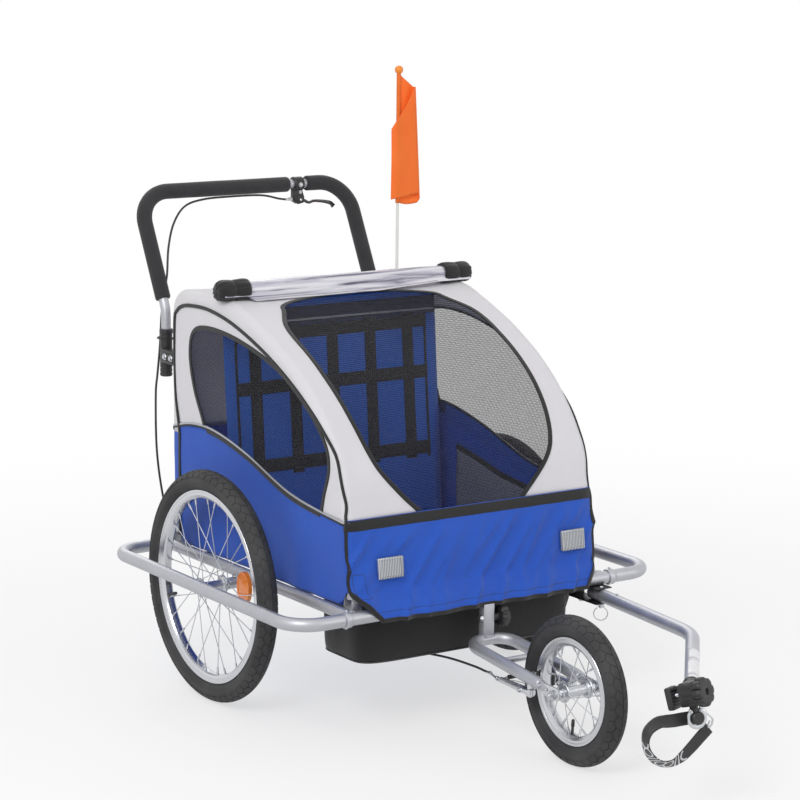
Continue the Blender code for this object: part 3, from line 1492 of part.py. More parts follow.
def hitch_body():
    """Clamp block with the sleeve for the arm's end, a nose for the ring and a bore for the screw."""
    knob_back, body_span, jaw_span = clamp_spans()
    block = in_clamp(box((-0.019, body_span[0], -0.022), (0.020, body_span[1], 0.021), 0.0030, 2))
    end = Vector((*ARM_END, arm_z()))
    along = (Vector(ARM_END) - Vector(ARM_ELBOW)).normalized().to_3d()
    sleeve = rod(end - along * 0.024, end + along * 0.014, ARM_RADIUS + 0.0035, 16)
    bore = tube([end - along * 0.05, end + along * GAP], ARM_RADIUS + GAP, 4)
    middle = (body_span[0] + body_span[1]) / 2
    nose = in_clamp(rod((0, middle - 0.010, -RING_DROP), (0, middle + 0.008, -RING_DROP), RING_STUB, 16))
    neck = in_clamp(box((-0.0115, middle - 0.007, -RING_DROP + 0.004), (-0.0035, middle + 0.007, -0.019)))
    screw = in_clamp(rod((0, 0, 0), (0, 0.10, 0), CLAMP_BOLT_RADIUS + 3 * GAP, 12))
    jaw_path = in_clamp(box((-0.030, body_span[1], -0.032), (JAW_RIGHT_X + 0.0015, 0.11, 0.025)))
    return cut(join(block, sleeve, nose, neck), bore, screw, jaw_path)


def hitch_knob():
    """Eight-lobed knob on the clamp screw."""
    knob_back, body_span, jaw_span = clamp_spans()
    wheel = lobed_knob(HITCH_KNOB_RADIUS, HITCH_KNOB_RADIUS - 0.0035, HITCH_KNOB_DEPTH, 8, XZ_Y)
    wheel.transform(Matrix.Translation((0, knob_back, 0)))
    screw = rod((0, 0, 0), (0, jaw_span[1] - 0.002, 0), CLAMP_BOLT_RADIUS, 12)
    dimple = rod((0, -knob_back - 0.01, 0), (0, -knob_back + 0.004, 0), 0.0055, 12)
    return in_clamp(cut(join(wheel, screw), dimple))


def hitch_jaw():
    """Moving jaw behind the body, threaded on the clamp screw."""
    knob_back, body_span, jaw_span = clamp_spans()
    jaw = box((-0.017, jaw_span[0], -0.026), (JAW_RIGHT_X, jaw_span[1], 0.018), 0.0040, 2)
    bore = rod((0, jaw_span[0] - 0.01, 0), (0, jaw_span[1] + 0.01, 0), CLAMP_BOLT_RADIUS + 3 * GAP, 12)
    return in_clamp(cut(jaw, bore))


def hitch_ring():
    """Flat C-shaped ring round the nose, its gap where the neck comes down."""
    knob_back, body_span, jaw_span = clamp_spans()
    middle = (body_span[0] + body_span[1]) / 2
    inner, outer = RING_STUB + GAP, RING_STUB + 0.0075
    outline = []
    for radius, turns in ((outer, range(17)), (inner, range(16, -1, -1))):
        for i in turns:
            angle = math.radians(160 + 285 * i / 16)
            outline.append((radius * math.cos(angle), radius * math.sin(angle) - RING_DROP))
    plate = slab(outline, -middle - 0.0020, -middle + 0.0030, XZ_Y)
    return in_clamp(plate)


STRAP_THICK = 0.0018
SAFETY_STRAP_PATH = [
    ((0.0275, -1.1410, 0.1715), 35),
    ((0.0090, -1.1400, 0.1570), 35),
    ((-0.0100, -1.1380, 0.1400), 30),
    ((-0.0330, -1.1360, 0.1230), 20),
    ((-0.0600, -1.1350, 0.1150), 0),
    ((-0.0900, -1.1350, 0.1230), -25),
    ((-0.1120, -1.1350, 0.1440), -50),
    ((-0.1190, -1.1330, 0.1660), -60),
    ((-0.1100, -1.1300, 0.1850), -40),
    ((-0.0850, -1.1260, 0.1950), 10),
    ((-0.0600, -1.1220, 0.1930), 30),
    ((-0.0400, -1.1180, 0.1900), 30),
]


def safety_strap():
    """Webbing loop that hangs below the hitch, its width turning along the way."""
    centres = smooth_curve([point for point, _ in SAFETY_STRAP_PATH], 2)
    turns = smooth_curve([Vector((turn, 0)) for _, turn in SAFETY_STRAP_PATH], 2)
    rows = []
    for i, point in enumerate(centres):
        ahead = centres[min(i + 1, len(centres) - 1)]
        behind = centres[max(i - 1, 0)]
        along = (ahead - behind).normalized()
        side = Vector((0, 1, 0))
        side = (side - along * side.dot(along)).normalized()
        width = Matrix.Rotation(math.radians(turns[i].x + 20), 3, along) @ side
        rows.append([point + width * (0.0125 * k) for k in (-1, 1)])
    return sheet(rows, STRAP_THICK)


def snap_hook():
    """Wire snap hook from the clamp body down to the strap's end."""
    top = clamp_frame() @ Vector((0.0165, 0.020, -0.0235))
    path = [
        top,
        top + Vector((0.003, 0.0, -0.012)),
        Vector((0.0330, -1.1420, 0.1900)),
        Vector((0.0345, -1.1420, 0.1810)),
        Vector((0.0330, -1.1416, 0.1760)),
        Vector((0.0279, -1.1411, 0.1718)),
    ]
    return tube(smooth_curve(path, 3), 0.0018, 1)


def make_tow():
    pivot = (*ARM_PIVOT, arm_z())
    place("tow_bracket", tow_bracket(), "plastic", pivot)
    place("tow_pin", tow_pin(), "steel", pivot)
    place("tow_arm", tow_arm(), "frame", pivot)
    place("hitch_body", hitch_body(), "plastic", (*ARM_END, arm_z()))
    place("hitch_knob", hitch_knob(), "plastic", CLAMP_CENTRE)
    place("hitch_jaw", hitch_jaw(), "plastic", CLAMP_CENTRE)
    place("hitch_ring", hitch_ring(), "steel", CLAMP_CENTRE)
    place("safety_strap", safety_strap(), "black", SAFETY_STRAP_PATH[0][0])
    place("snap_hook", snap_hook(), "steel", CLAMP_CENTRE)


def build():
    make_rear_wheels()
    place("base_frame", base_frame(), "frame")
    for name, side in SIDES.items():
        place(f"bumper_{name}", bumper(side), "frame")
    make_cabin()
    make_rain_roll()
    make_handle()
    make_flag()
    make_front_wheel()
    place("brake_cable", brake_cable(), "rubber")
    make_tow()


clear_scene()
TRAILER = make_collection(COLLECTION)
CUTTERS = make_collection("cutters")
MATERIALS = make_materials()
STATION = bpy.data.objects.new("rear_axle_station", None)
STATION.location = (0, REAR_AXLE_Y, 0)
TRAILER.objects.link(STATION)
build()
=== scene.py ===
"""A two-seat child bicycle trailer with its jogging wheel, push handle and tow arm."""

import math

import bmesh
import bpy
from mathutils import Matrix, Vector, noise


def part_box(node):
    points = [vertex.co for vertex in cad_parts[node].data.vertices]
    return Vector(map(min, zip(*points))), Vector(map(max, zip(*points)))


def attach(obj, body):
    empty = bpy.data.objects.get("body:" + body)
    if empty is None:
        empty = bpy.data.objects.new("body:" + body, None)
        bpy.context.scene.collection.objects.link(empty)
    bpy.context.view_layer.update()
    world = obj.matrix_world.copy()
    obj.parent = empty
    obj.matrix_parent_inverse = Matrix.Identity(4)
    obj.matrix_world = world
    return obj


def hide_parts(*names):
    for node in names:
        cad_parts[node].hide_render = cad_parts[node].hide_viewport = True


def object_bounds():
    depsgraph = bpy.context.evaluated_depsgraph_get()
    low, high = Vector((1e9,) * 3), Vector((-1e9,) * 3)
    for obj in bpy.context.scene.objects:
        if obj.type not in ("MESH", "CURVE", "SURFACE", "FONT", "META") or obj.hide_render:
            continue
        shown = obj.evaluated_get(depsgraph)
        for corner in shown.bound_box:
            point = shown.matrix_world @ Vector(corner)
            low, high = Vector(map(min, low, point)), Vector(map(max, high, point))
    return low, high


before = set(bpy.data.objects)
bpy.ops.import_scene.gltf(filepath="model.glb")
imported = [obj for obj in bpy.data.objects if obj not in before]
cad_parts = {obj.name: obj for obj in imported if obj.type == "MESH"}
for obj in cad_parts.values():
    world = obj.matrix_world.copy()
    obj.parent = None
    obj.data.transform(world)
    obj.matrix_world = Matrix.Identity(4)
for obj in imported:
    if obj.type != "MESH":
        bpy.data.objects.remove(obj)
cad_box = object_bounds()

# Camera and studio
# A long lens from the front left, a little above the roof, as in the photograph. The floor and
# the world are white to the camera, and lamps and world together light a colour about as written.
VIEW_TURN, VIEW_LIFT, VIEW_ROLL = (math.radians(angle) for angle in (-34.32, 10.57, 0.66))
VIEW_FROM = (-3.2056, -4.513, 1.6998)
VIEW_LENS = 121.57

scene = bpy.context.scene
scene.view_settings.view_transform = "Standard"
back = Vector(
    (
        math.sin(VIEW_TURN) * math.cos(VIEW_LIFT),
        -math.cos(VIEW_TURN) * math.cos(VIEW_LIFT),
        math.sin(VIEW_LIFT),
    )
)
level = Vector((math.cos(VIEW_TURN), math.sin(VIEW_TURN), 0))
upright = back.cross(level)
lens = bpy.data.cameras.new("studio_camera")
lens.lens = VIEW_LENS
lens.sensor_width = 36
lens.clip_end = 100
camera = bpy.data.objects.new("studio_camera", lens)
scene.collection.objects.link(camera)
camera.matrix_world = Matrix.Translation(VIEW_FROM) @ Matrix(
    (
        math.cos(VIEW_ROLL) * level + math.sin(VIEW_ROLL) * upright,
        math.cos(VIEW_ROLL) * upright - math.sin(VIEW_ROLL) * level,
        back,
    )
).transposed().to_4x4()
scene.camera = camera


def linear(code):
    """The linear colour of an sRGB hex value."""
    shares = [int(code[i : i + 2], 16) / 255 for i in (1, 3, 5)]
    return (*[s / 12.92 if s <= 0.04045 else ((s + 0.055) / 1.055) ** 2.4 for s in shares], 1)


def add_node(tree, kind, **settings):
    """Adds a node. Settings name its properties and inputs, in0 by number, and may be sockets."""
    made = tree.nodes.new("ShaderNode" + kind)
    for name, value in settings.items():
        if name.startswith("in") and name[2:].isdigit():
            slot = made.inputs[int(name[2:])]
        elif name.replace("_", " ") in made.inputs:
            slot = made.inputs[name.replace("_", " ")]
        else:
            setattr(made, name, value)
            continue
        if isinstance(value, bpy.types.NodeSocket):
            tree.links.new(value, slot)
        else:
            slot.default_value = value
    return made


def new_finish(name):
    """An empty material and its node tree."""
    made = bpy.data.materials.new(name)
    made.use_nodes = True
    made.node_tree.nodes.clear()
    return made, made.node_tree


def seen_directly(tree):
    """1 for the camera's rays and for those that it sends on by mirrors and clear parts, else 0."""
    rays = add_node(tree, "LightPath")
    seen = add_node(
        tree, "Math", operation="MAXIMUM", in0=rays.outputs["Is Camera Ray"],
        in1=rays.outputs["Is Glossy Ray"]
    )
    return add_node(
        tree, "Math", operation="MAXIMUM", in0=seen.outputs[0],
        in1=rays.outputs["Is Transmission Ray"]
    ).outputs[0]


# Painted white floor: plain paint to the lamps, and whiter to the eye further from the trailer
FLOOR_HALF = 30.0
floor_paint, tree = new_finish("white_floor_paint")
spot = add_node(tree, "TexCoord").outputs["Object"]
far = add_node(tree, "VectorMath", operation="LENGTH", in0=spot).outputs["Value"]
fade = add_node(
    tree, "MapRange", interpolation_type="SMOOTHSTEP", in0=far, in1=1.0, in2=3.2, in3=0.62, in4=1.0
)
share = add_node(tree, "Math", operation="MULTIPLY", in0=seen_directly(tree), in1=fade.outputs[0])
paint = add_node(tree, "BsdfDiffuse", Color=linear("#F2F2F2"))
glow = add_node(tree, "Emission", Color=(1, 1, 1, 1), Strength=1.0)
mixed = add_node(tree, "MixShader", in0=share.outputs[0], in1=paint.outputs[0], in2=glow.outputs[0])
add_node(tree, "OutputMaterial", Surface=mixed.outputs[0])

bm = bmesh.new()
bmesh.ops.create_grid(bm, x_segments=1, y_segments=1, size=FLOOR_HALF)
mesh = bpy.data.meshes.new("studio_floor")
bm.to_mesh(mesh)
bm.free()
mesh.materials.append(floor_paint)
floor = bpy.data.objects.new("studio_floor", mesh)
scene.collection.objects.link(floor)

# World: white where it is seen, and a plain soft dome to everything that it lights
DOME_STRENGTH = 0.62
world = bpy.data.worlds.new("studio_world")
scene.world = world
world.use_nodes = True
tree = world.node_tree
tree.nodes.clear()
strength = add_node(tree, "MapRange", in0=seen_directly(tree), in3=DOME_STRENGTH, in4=1.0)
sky = add_node(tree, "Background", Color=(1, 1, 1, 1), Strength=strength.outputs[0])
add_node(tree, "OutputWorld", Surface=sky.outputs[0])

for name, place, size, power in (
    ("key_lamp", (-4.2, -2.6, 4.4), 2.6, 150),
    ("fill_lamp", (3.4, -5.2, 2.6), 3.0, 45),
    ("rear_lamp", (1.5, 4.5, 4.0), 3.0, 60),
):
    data = bpy.data.lights.new(name, "AREA")
    data.size = size
    data.energy = power
    lamp = bpy.data.objects.new(name, data)
    lamp.location = place
    lamp.rotation_euler = (Vector((0, 0, 0.5)) - Vector(place)).to_track_quat("-Z", "Y").to_euler()
    scene.collection.objects.link(lamp)

# Wheels
# Two 20 inch wheels and one 12 inch wheel: wired tyres with a cut tread on polished alloy rims,
# laced with plain steel spokes to pressed steel hubs. Their lengths run from the rear axle.
tyre_low, tyre_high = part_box("rear_tyre_left")
AXLE_Y = (tyre_low.y + tyre_high.y) / 2
REAR_RADIUS = (tyre_high.z - tyre_low.z) / 2
REAR_CENTRE_X = 0.385
FRONT_CENTRE_Y = -0.7687
FRONT_RADIUS = 0.1527
SIDES = (("left", -1), ("right", 1))

# Moulded tyre rubber: dull, near black, with a fine grain and a little dust on its high places
tyre_rubber, tree = new_finish("moulded_tyre_rubber")
spot = add_node(tree, "TexCoord").outputs["Object"]
cloud = add_node(tree, "TexNoise", Vector=spot, Scale=14, Detail=6)
dust = add_node(tree, "ValToRGB", Fac=cloud.outputs["Fac"])
dust.color_ramp.elements[0].position = 0.35
dust.color_ramp.elements[0].color = linear("#2A2A2C")
dust.color_ramp.elements[1].position = 0.75
dust.color_ramp.elements[1].color = linear("#424243")
grain = add_node(tree, "TexNoise", Vector=spot, Scale=900, Detail=2)
relief = add_node(tree, "Bump", Strength=0.35, Distance=0.0004, Height=grain.outputs["Fac"])
skin = add_node(
    tree, "BsdfPrincipled", Base_Color=dust.outputs[0], Roughness=0.72, IOR=1.52,
    Normal=relief.outputs[0]
)
add_node(tree, "OutputMaterial", Surface=skin.outputs[0])


def plain_finish(name, colour, roughness, cloud, relief=None, stretch=None, **settings):
    """A solid material. A cloud of (scale, detail) mixes two colours and spreads two roughnesses,
    and the relief is (scale, detail, strength, depth)."""
    made, tree = new_finish(name)
    spot = add_node(tree, "TexCoord").outputs["Object"]
    if stretch:
        spot = add_node(tree, "VectorMath", operation="MULTIPLY", in0=spot, in1=stretch).outputs[0]
    shade = add_node(tree, "TexNoise", Vector=spot, Scale=cloud[0], Detail=cloud[1]).outputs["Fac"]
    if isinstance(colour, tuple):
        dark, light = colour
        tone = add_node(
            tree, "Mix", data_type="RGBA", in0=shade, in6=linear(dark), in7=linear(light)
        )
        settings["Base_Color"] = tone.outputs[2]
    else:
        settings["Base_Color"] = linear(colour)
    if isinstance(roughness, tuple):
        roughness = add_node(
            tree, "MapRange", in0=shade, in3=roughness[0], in4=roughness[1]
        ).outputs[0]
    if relief:
        scale, detail, strength, depth = relief
        grain = add_node(tree, "TexNoise", Vector=spot, Scale=scale, Detail=detail)
        bump = add_node(
            tree, "Bump", Strength=strength, Distance=depth, Height=grain.outputs["Fac"]
        )
        settings["Normal"] = bump.outputs[0]
    skin = add_node(tree, "BsdfPrincipled", Roughness=roughness, **settings)
    add_node(tree, "OutputMaterial", Surface=skin.outputs[0])
    return made


# Polished aluminium: bright, with fine turning marks about 0.8 mm apart, drawn coarse to show
polished_alloy = plain_finish(
    "polished_aluminium", "#CDCED2", (0.16, 0.34), (30, 4), (1200, 2, 0.08, 0.0002), Metallic=1.0
)

# Zinc plated steel: bright bluish wire and turned parts, a little uneven
zinc_steel = plain_finish("zinc_plated_steel", "#C4C6CA", (0.2, 0.42), (60, 4), Metallic=1.0)

# Black nylon: moulded, satin, with a fine spark-eroded grain of about 0.5 mm
black_nylon = plain_finish(
    "moulded_black_nylon", ("#18181A", "#262628"), 0.42, (25, 3), (1500, 3, 0.25, 0.0003), IOR=1.53
)

# Amber acrylic: a clear moulded lens over a grid of 4 mm prisms, each painted lighter in its middle
# and darker towards its edges as a painted highlight
amber_acrylic, tree = new_finish("amber_acrylic_lens")
spot = add_node(tree, "TexCoord").outputs["Object"]
cell = add_node(tree, "TexVoronoi", Vector=spot, Scale=250)
relief = add_node(tree, "Bump", Strength=0.6, Distance=0.0008, Height=cell.outputs["Distance"])
# Painted highlight: lighter amber in each prism's middle, darker towards its edges
shade = add_node(
    tree, "Mix", data_type="RGBA", in0=cell.outputs["Distance"], in6=linear("#F08A12"),
    in7=linear("#D96A04")
)
skin = add_node(
    tree, "BsdfPrincipled", Base_Color=shade.outputs[2], Roughness=0.12, IOR=1.49, Coat_Weight=0.6,
    Normal=relief.outputs[0]
)
add_node(tree, "OutputMaterial", Surface=skin.outputs[0])


def make_piece(name, bm, finish, stands_for=(), slot=None, sharp=38, body="chassis"):
    """Turns a mesh drawn in lengths from the rear axle into a piece that rides on a body. Edges
    that turn by more than sharp, in degrees, stay sharp."""
    bmesh.ops.translate(bm, vec=(0, AXLE_Y, 0), verts=bm.verts)
    mesh = bpy.data.meshes.new(name)
    bm.to_mesh(mesh)
    bm.free()
    mesh.materials.append(finish)
    mesh.shade_smooth()
    mesh.set_sharp_from_angle(angle=math.radians(sharp))
    made = bpy.data.objects.new(name, mesh)
    scene.collection.objects.link(made)
    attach(made, body)
    if stands_for:
        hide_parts(*([stands_for] if isinstance(stands_for, str) else stands_for))
    return made


def one_shape(add, *shape, **how):
    """A new mesh with one shape in it, drawn by one of the functions below."""
    bm = bmesh.new()
    add(bm, *shape, **how)
    return bm


def turn_profile(bm, profile, centre, steps, axis=(1, 0, 0), closed=True):
    """Spins a profile of (along, radius) points round an axis through the centre."""
    axis = Vector(axis).normalized()
    out = axis.orthogonal().normalized()
    ring = [bm.verts.new(axis * along + out * radius) for along, radius in profile]
    pairs = list(zip(ring, ring[1:])) + ([(ring[-1], ring[0])] if closed else [])
    edges = [bm.edges.new(pair) for pair in pairs]
    made = ring + edges
    bmesh.ops.spin(
        bm, geom=made, cent=(0, 0, 0), axis=axis, dvec=(0, 0, 0), angle=2 * math.pi, steps=steps,
        use_merge=True
    )
    shape = reached_from(ring[0])
    bmesh.ops.remove_doubles(bm, verts=shape, dist=1e-6)
    shape = reached_from(next(vert for vert in shape if vert.is_valid))
    faces = list({face for vert in shape for face in vert.link_faces})
    bmesh.ops.recalc_face_normals(bm, faces=faces)
    bmesh.ops.translate(bm, vec=centre, verts=shape)


def reached_from(vert):
    """All the points of the shape that a point belongs to."""
    found = {vert}
    edge = [vert]
    while edge:
        near = edge.pop()
        for link in near.link_edges:
            other = link.other_vert(near)
            if other not in found:
                found.add(other)
                edge.append(other)
    return list(found)


def add_bar(bm, start, end, radius, end_radius=None, sides=20):
    """A round bar or cone between two points."""
    start, end = Vector(start), Vector(end)
    run = end - start
    turn = Vector((0, 0, 1)).rotation_difference(run).to_matrix().to_4x4()
    bmesh.ops.create_cone(
        bm,
        cap_ends=True,
        segments=sides,
        radius1=radius,
        radius2=radius if end_radius is None else end_radius,
        depth=run.length,
        matrix=Matrix.Translation((start + end) / 2) @ turn,
    )


def tyre_point(section, round_part, angle, lift):
    """A point of a tyre: degrees round its section and radians round the wheel."""
    radius, width = section
    across = math.radians(round_part)
    out = radius - width / 2 + (width / 2 + lift) * math.cos(across)
    return Vector(
        ((width / 2 + lift) * math.sin(across), out * math.sin(angle), out * math.cos(angle))
    )


# One pitch of the tread: an arrow lug beside the middle and a scalloped one on the shoulder,
# with points of (degrees round the section, share of the pitch)
TREAD_DEPTH = 0.0013
TREAD_PITCH = 0.0262
CENTRE_LUG = ((1.5, 0.04), (27, 0.33), (42.5, 0.8), (27, 1.27), (1.5, 0.98))
SHOULDER_LUG = ((47, -0.17), (32, 0.3), (47, 0.77), (73, 0.68), (67, 0.3), (73, -0.08))


def make_tyre(name, section, centre, body, stands_for):
    """A tyre carcass with rows of lugs on it."""
    radius, width = section
    carcass = radius, width - 2 * TREAD_DEPTH
    start = radius - TREAD_DEPTH - carcass[1] / 2
    profile = []
    for k in range(-18, 19):
        across = math.radians(k * 8.2)
        profile.append(
            (carcass[1] / 2 * math.sin(across), start + carcass[1] / 2 * math.cos(across))
        )
    profile += [(0.24 * width, radius - 1.03 * width), (-0.24 * width, radius - 1.03 * width)]
    bm = bmesh.new()
    turn_profile(bm, profile, (0, 0, 0), 96)
    for side in (-1, 1):
        for share in (0.6, 0.66):
            ridge = math.radians(180 * share)
            hoop = start + carcass[1] / 2 * math.cos(ridge)
            line = side * carcass[1] / 2 * math.sin(ridge)
            turn_profile(
                bm,
                [
                    (line - 0.0005, hoop), (line, hoop - 0.0008), (line + 0.0005, hoop),
                    (line + side * 0.0004, hoop + 0.0008)
                ],
                (0, 0, 0), 96,
            )
    count = round(2 * math.pi * radius / TREAD_PITCH)
    for side in (-1, 1):
        for shape in (CENTRE_LUG, SHOULDER_LUG):
            lug = bmesh.new()
            corners = [lug.verts.new((across, share, 0)) for across, share in shape]
            lug.faces.new(corners)
            bmesh.ops.triangulate(lug, faces=lug.faces[:])
            bmesh.ops.subdivide_edges(lug, edges=lug.edges[:], cuts=1, use_grid_fill=True)
            top = lug.faces[:]
            raised = bmesh.ops.extrude_face_region(lug, geom=top)
            for part in raised["geom"]:
                if isinstance(part, bmesh.types.BMVert):
                    part.co.z = 1
            for vert in lug.verts:
                angle = (vert.co.y + (0.5 if side > 0 else 0)) * 2 * math.pi / count
                lift = 0.0 if vert.co.z else -TREAD_DEPTH - 0.0006
                vert.co = tyre_point(section, side * vert.co.x, angle, lift)
            bmesh.ops.recalc_face_normals(lug, faces=lug.faces)
            one = bpy.data.meshes.new("lug")
            lug.to_mesh(one)
            lug.free()
            for k in range(count):
                before = len(bm.verts)
                bm.from_mesh(one)
                bm.verts.ensure_lookup_table()
                turn = Matrix.Rotation(2 * math.pi * k / count, 4, "X")
                bmesh.ops.transform(bm, matrix=turn, verts=bm.verts[before:])
            bpy.data.meshes.remove(one)
    bmesh.ops.translate(bm, vec=centre, verts=bm.verts)
    make_piece(name, bm, tyre_rubber, stands_for, "tyre", 30, body=body)


SPOKE_RADIUS = 0.001
HUB_FLANGE_INSET = 0.0065


def spoke_ends(count, crossing, hub_half, flange_radius, reach):
    """Pairs of hub and rim points: spokes lead and trail in turn, their heads in and out."""
    per_side = count // 2
    pitch = 2 * math.pi / per_side
    for side in (-1, 1):
        for k in range(per_side):
            lead = 1 if k % 2 else -1
            start = pitch * (k + side / 4)
            end = start + lead * crossing * pitch
            hub_x = side * (hub_half - HUB_FLANGE_INSET) + lead * 0.002
            hub_r = 0.82 * flange_radius
            yield (
                Vector((hub_x, hub_r * math.sin(start), hub_r * math.cos(start))),
                Vector((side * 0.0025, reach * math.sin(end), reach * math.cos(end))),
            )


def make_wheel(tag, node_tag, section, centre, body, spokes, crossing, hub):
    """Tyre, rim with its valve, and hub with its spokes and nipples."""
    radius, width = section
    hub_half, flange_radius, barrel_radius, axle_radius = hub
    make_tyre(f"tyre_{tag}", section, centre, body, f"{node_tag[0]}_tyre{node_tag[1]}")

    well = radius - 1.03 * width - 0.0003
    outer = 0.26 * width + 0.0019
    inner_radius = well - 0.32 * width
    bm = bmesh.new()
    half = [
        (outer - 0.0019, well),
        (outer - 0.0019, well + 0.004),
        (outer - 0.001, well + 0.005),
        (outer, well + 0.0042),
        (outer, well - 0.0005),
        (outer - 0.0006, well - 0.0012),
        (outer - 0.0003, well - 0.007),
        (0.78 * outer, inner_radius + 0.0025),
        (0.52 * outer, inner_radius + 0.0004),
        (0.2 * outer, inner_radius),
    ]
    turn_profile(bm, half + [(-x, r) for x, r in half[::-1]], (0, 0, 0), 96)
    bmesh.ops.translate(bm, vec=centre, verts=bm.verts)
    make_piece(
        f"rim_{tag}", bm, polished_alloy, f"{node_tag[0]}_rim{node_tag[1]}", "alloy", 25, body=body
    )

    bm = bmesh.new()
    flange_x = hub_half - HUB_FLANGE_INSET
    half = [
        (hub_half, axle_radius + 0.0006),
        (hub_half, axle_radius + 0.003),
        (flange_x + 0.003, axle_radius + 0.0045),
        (flange_x + 0.002, flange_radius - 0.006),
        (flange_x + 0.0016, flange_radius - 0.0005),
        (flange_x + 0.001, flange_radius),
        (flange_x - 0.001, flange_radius),
        (flange_x - 0.0016, flange_radius - 0.0005),
        (flange_x - 0.0018, barrel_radius + 0.004),
        (flange_x - 0.0045, barrel_radius + 0.0008),
        (flange_x - 0.009, barrel_radius),
    ]
    turn_profile(bm, half + [(-x, r) for x, r in half[::-1]], (0, 0, 0), 40)
    reach = inner_radius - 0.0004
    for start, end in spoke_ends(spokes, crossing, hub_half, flange_radius, reach):
        along = (end - start).normalized()
        add_bar(bm, start, end, SPOKE_RADIUS, sides=8)
        add_bar(bm, end - along * 0.013, end + along * 0.0015, 0.0021, 0.0026, sides=8)
        lead = 1 if abs(start.x) > flange_x else -1
        side = 1 if start.x > 0 else -1
        out = Vector((side * lead, 0, 0))
        add_bar(bm, start - out * 0.001, start + out * 0.0016, 0.0022, 0.0014, sides=8)
    bmesh.ops.translate(bm, vec=centre, verts=bm.verts)
    make_piece(
        f"spokes_{tag}", bm, zinc_steel, f"{node_tag[0]}_spokes{node_tag[1]}", "steel", body=body
    )

    # Black rubber valve stem with its cap, through the rim
    valve_angle = math.radians(108 if tag.startswith("rear") else 176)
    bm = bmesh.new()
    profile = [
        (0, 0), (0, 0.003), (0.018, 0.0028), (0.0185, 0.0036), (0.021, 0.0038),
        (0.031, 0.0034), (0.033, 0.0022), (0.0335, 0),
    ]
    inward = Vector((0, -math.sin(valve_angle), -math.cos(valve_angle)))
    turn_profile(bm, profile, -inward * (inner_radius + 0.003), 16, inward, closed=False)
    bmesh.ops.translate(bm, vec=centre, verts=bm.verts)
    make_piece(f"valve_{tag}", bm, black_nylon, slot="rubber", body=body)


REAR_SECTION = (REAR_RADIUS, 0.045)
REAR_HUB = (0.034, 0.021, 0.0105, 0.0063)
for name, side in SIDES:
    centre = Vector((side * REAR_CENTRE_X, 0, REAR_RADIUS))
    body = f"wheel_{name}"
    make_wheel(f"rear_{name}", ("rear", f"_{name}"), REAR_SECTION, centre, body, 28, 2, REAR_HUB)

    # Oval amber reflector with a raised border, held between the two planes of spokes
    bm = bmesh.new()
    made = bmesh.ops.create_circle(bm, cap_ends=True, segments=48, radius=1.0)
    bmesh.ops.scale(bm, vec=(0.024, 0.034, 1), verts=bm.verts)
    raised = bmesh.ops.extrude_face_region(bm, geom=bm.faces[:])
    tops = [part for part in raised["geom"] if isinstance(part, bmesh.types.BMVert)]
    bmesh.ops.translate(bm, vec=(0, 0, 0.009), verts=tops)
    bmesh.ops.recalc_face_normals(bm, faces=bm.faces)
    ends = [face for face in bm.faces if len(face.verts) > 8]
    for depth, width in ((0.0, 0.003), (-0.0012, 0.0006), (0.001, 0.009)):
        bmesh.ops.inset_region(bm, faces=ends, thickness=width, depth=depth, use_even_offset=True)
    turn = Matrix(((0, 0, 1, -0.0045), (1, 0, 0, -0.136), (0, 1, 0, 0.026), (0, 0, 0, 1)))
    bmesh.ops.transform(bm, matrix=Matrix.Translation(centre) @ turn, verts=bm.verts)
    make_piece(
        f"reflector_rear_{name}", bm, amber_acrylic, f"spoke_reflector_{name}", "amber", 30,
        body=body
    )

    # Quick release pin through the hub: steel, with a turned washer and a black push cap
    profile = [
        (-0.116, 0), (-0.116, 0.005), (-0.1145, 0.0063), (-0.0392, 0.0063), (-0.0392, 0.0095),
        (-0.0345, 0.0095), (-0.0345, 0.0063), (0.0343, 0.0063), (0.0343, 0.0098), (0.0375, 0.0105),
        (0.042, 0.01), (0.043, 0.0085), (0.045, 0.007), (0.0452, 0),
    ]
    make_piece(
        f"axle_rear_{name}",
        one_shape(
            turn_profile, [(side * along, out) for along, out in profile], centre, 32, closed=False
        ),
        zinc_steel, f"rear_axle_{name}", "steel", 30
    )
    cap = [(0.042, 0), (0.042, 0.0062), (0.046, 0.0062), (0.047, 0.005), (0.0472, 0)]
    make_piece(
        f"axle_cap_rear_{name}",
        one_shape(
            turn_profile, [(side * along, out) for along, out in cap], centre, 24, closed=False
        ),
        black_nylon, slot="plastic"
    )

FRONT_SECTION = (FRONT_RADIUS, 0.046)
FRONT_HUB = (0.036, 0.02, 0.01, 0.005)
FRONT_CENTRE = Vector((0, FRONT_CENTRE_Y, FRONT_RADIUS))
make_wheel("jogging", ("front", ""), FRONT_SECTION, FRONT_CENTRE, "jogging_wheel", 20, 1, FRONT_HUB)

# Base frame and bumper loops
# A welded ladder of 25 mm aluminium tubes under the cabin, and a bent tube loop outside each
# wheel, its swaged ends pushed into the crossbars and held by spring buttons and ring pins.
FRAME_Z = 0.272
RAIL_X = 0.315
RAIL_RADIUS = 0.0125
CROSSBAR_RADIUS = 0.0135
CROSSBAR_HALF = 0.345
FRONT_BAR_Y, REAR_BAR_Y, MID_BAR_Y = -0.45, 0.31, -0.215
BUMPER_X = 0.4556
BUMPER_RADIUS = 0.014
BUMPER_BEND = 0.065
HOOP_X, HOOP_FRONT_Y, HOOP_REAR_Y = 0.2955, -0.412, 0.2845

# Clear anodised aluminium tube: silver, drawn, so faint streaks run over it, and a little smeared
silver_tube = plain_finish(
    "clear_anodised_aluminium_tube", ("#AEAFB5", "#C2C3C8"), (0.38, 0.54), (18, 5),
    (700, 2, 0.06, 0.0002), Metallic=0.82
)


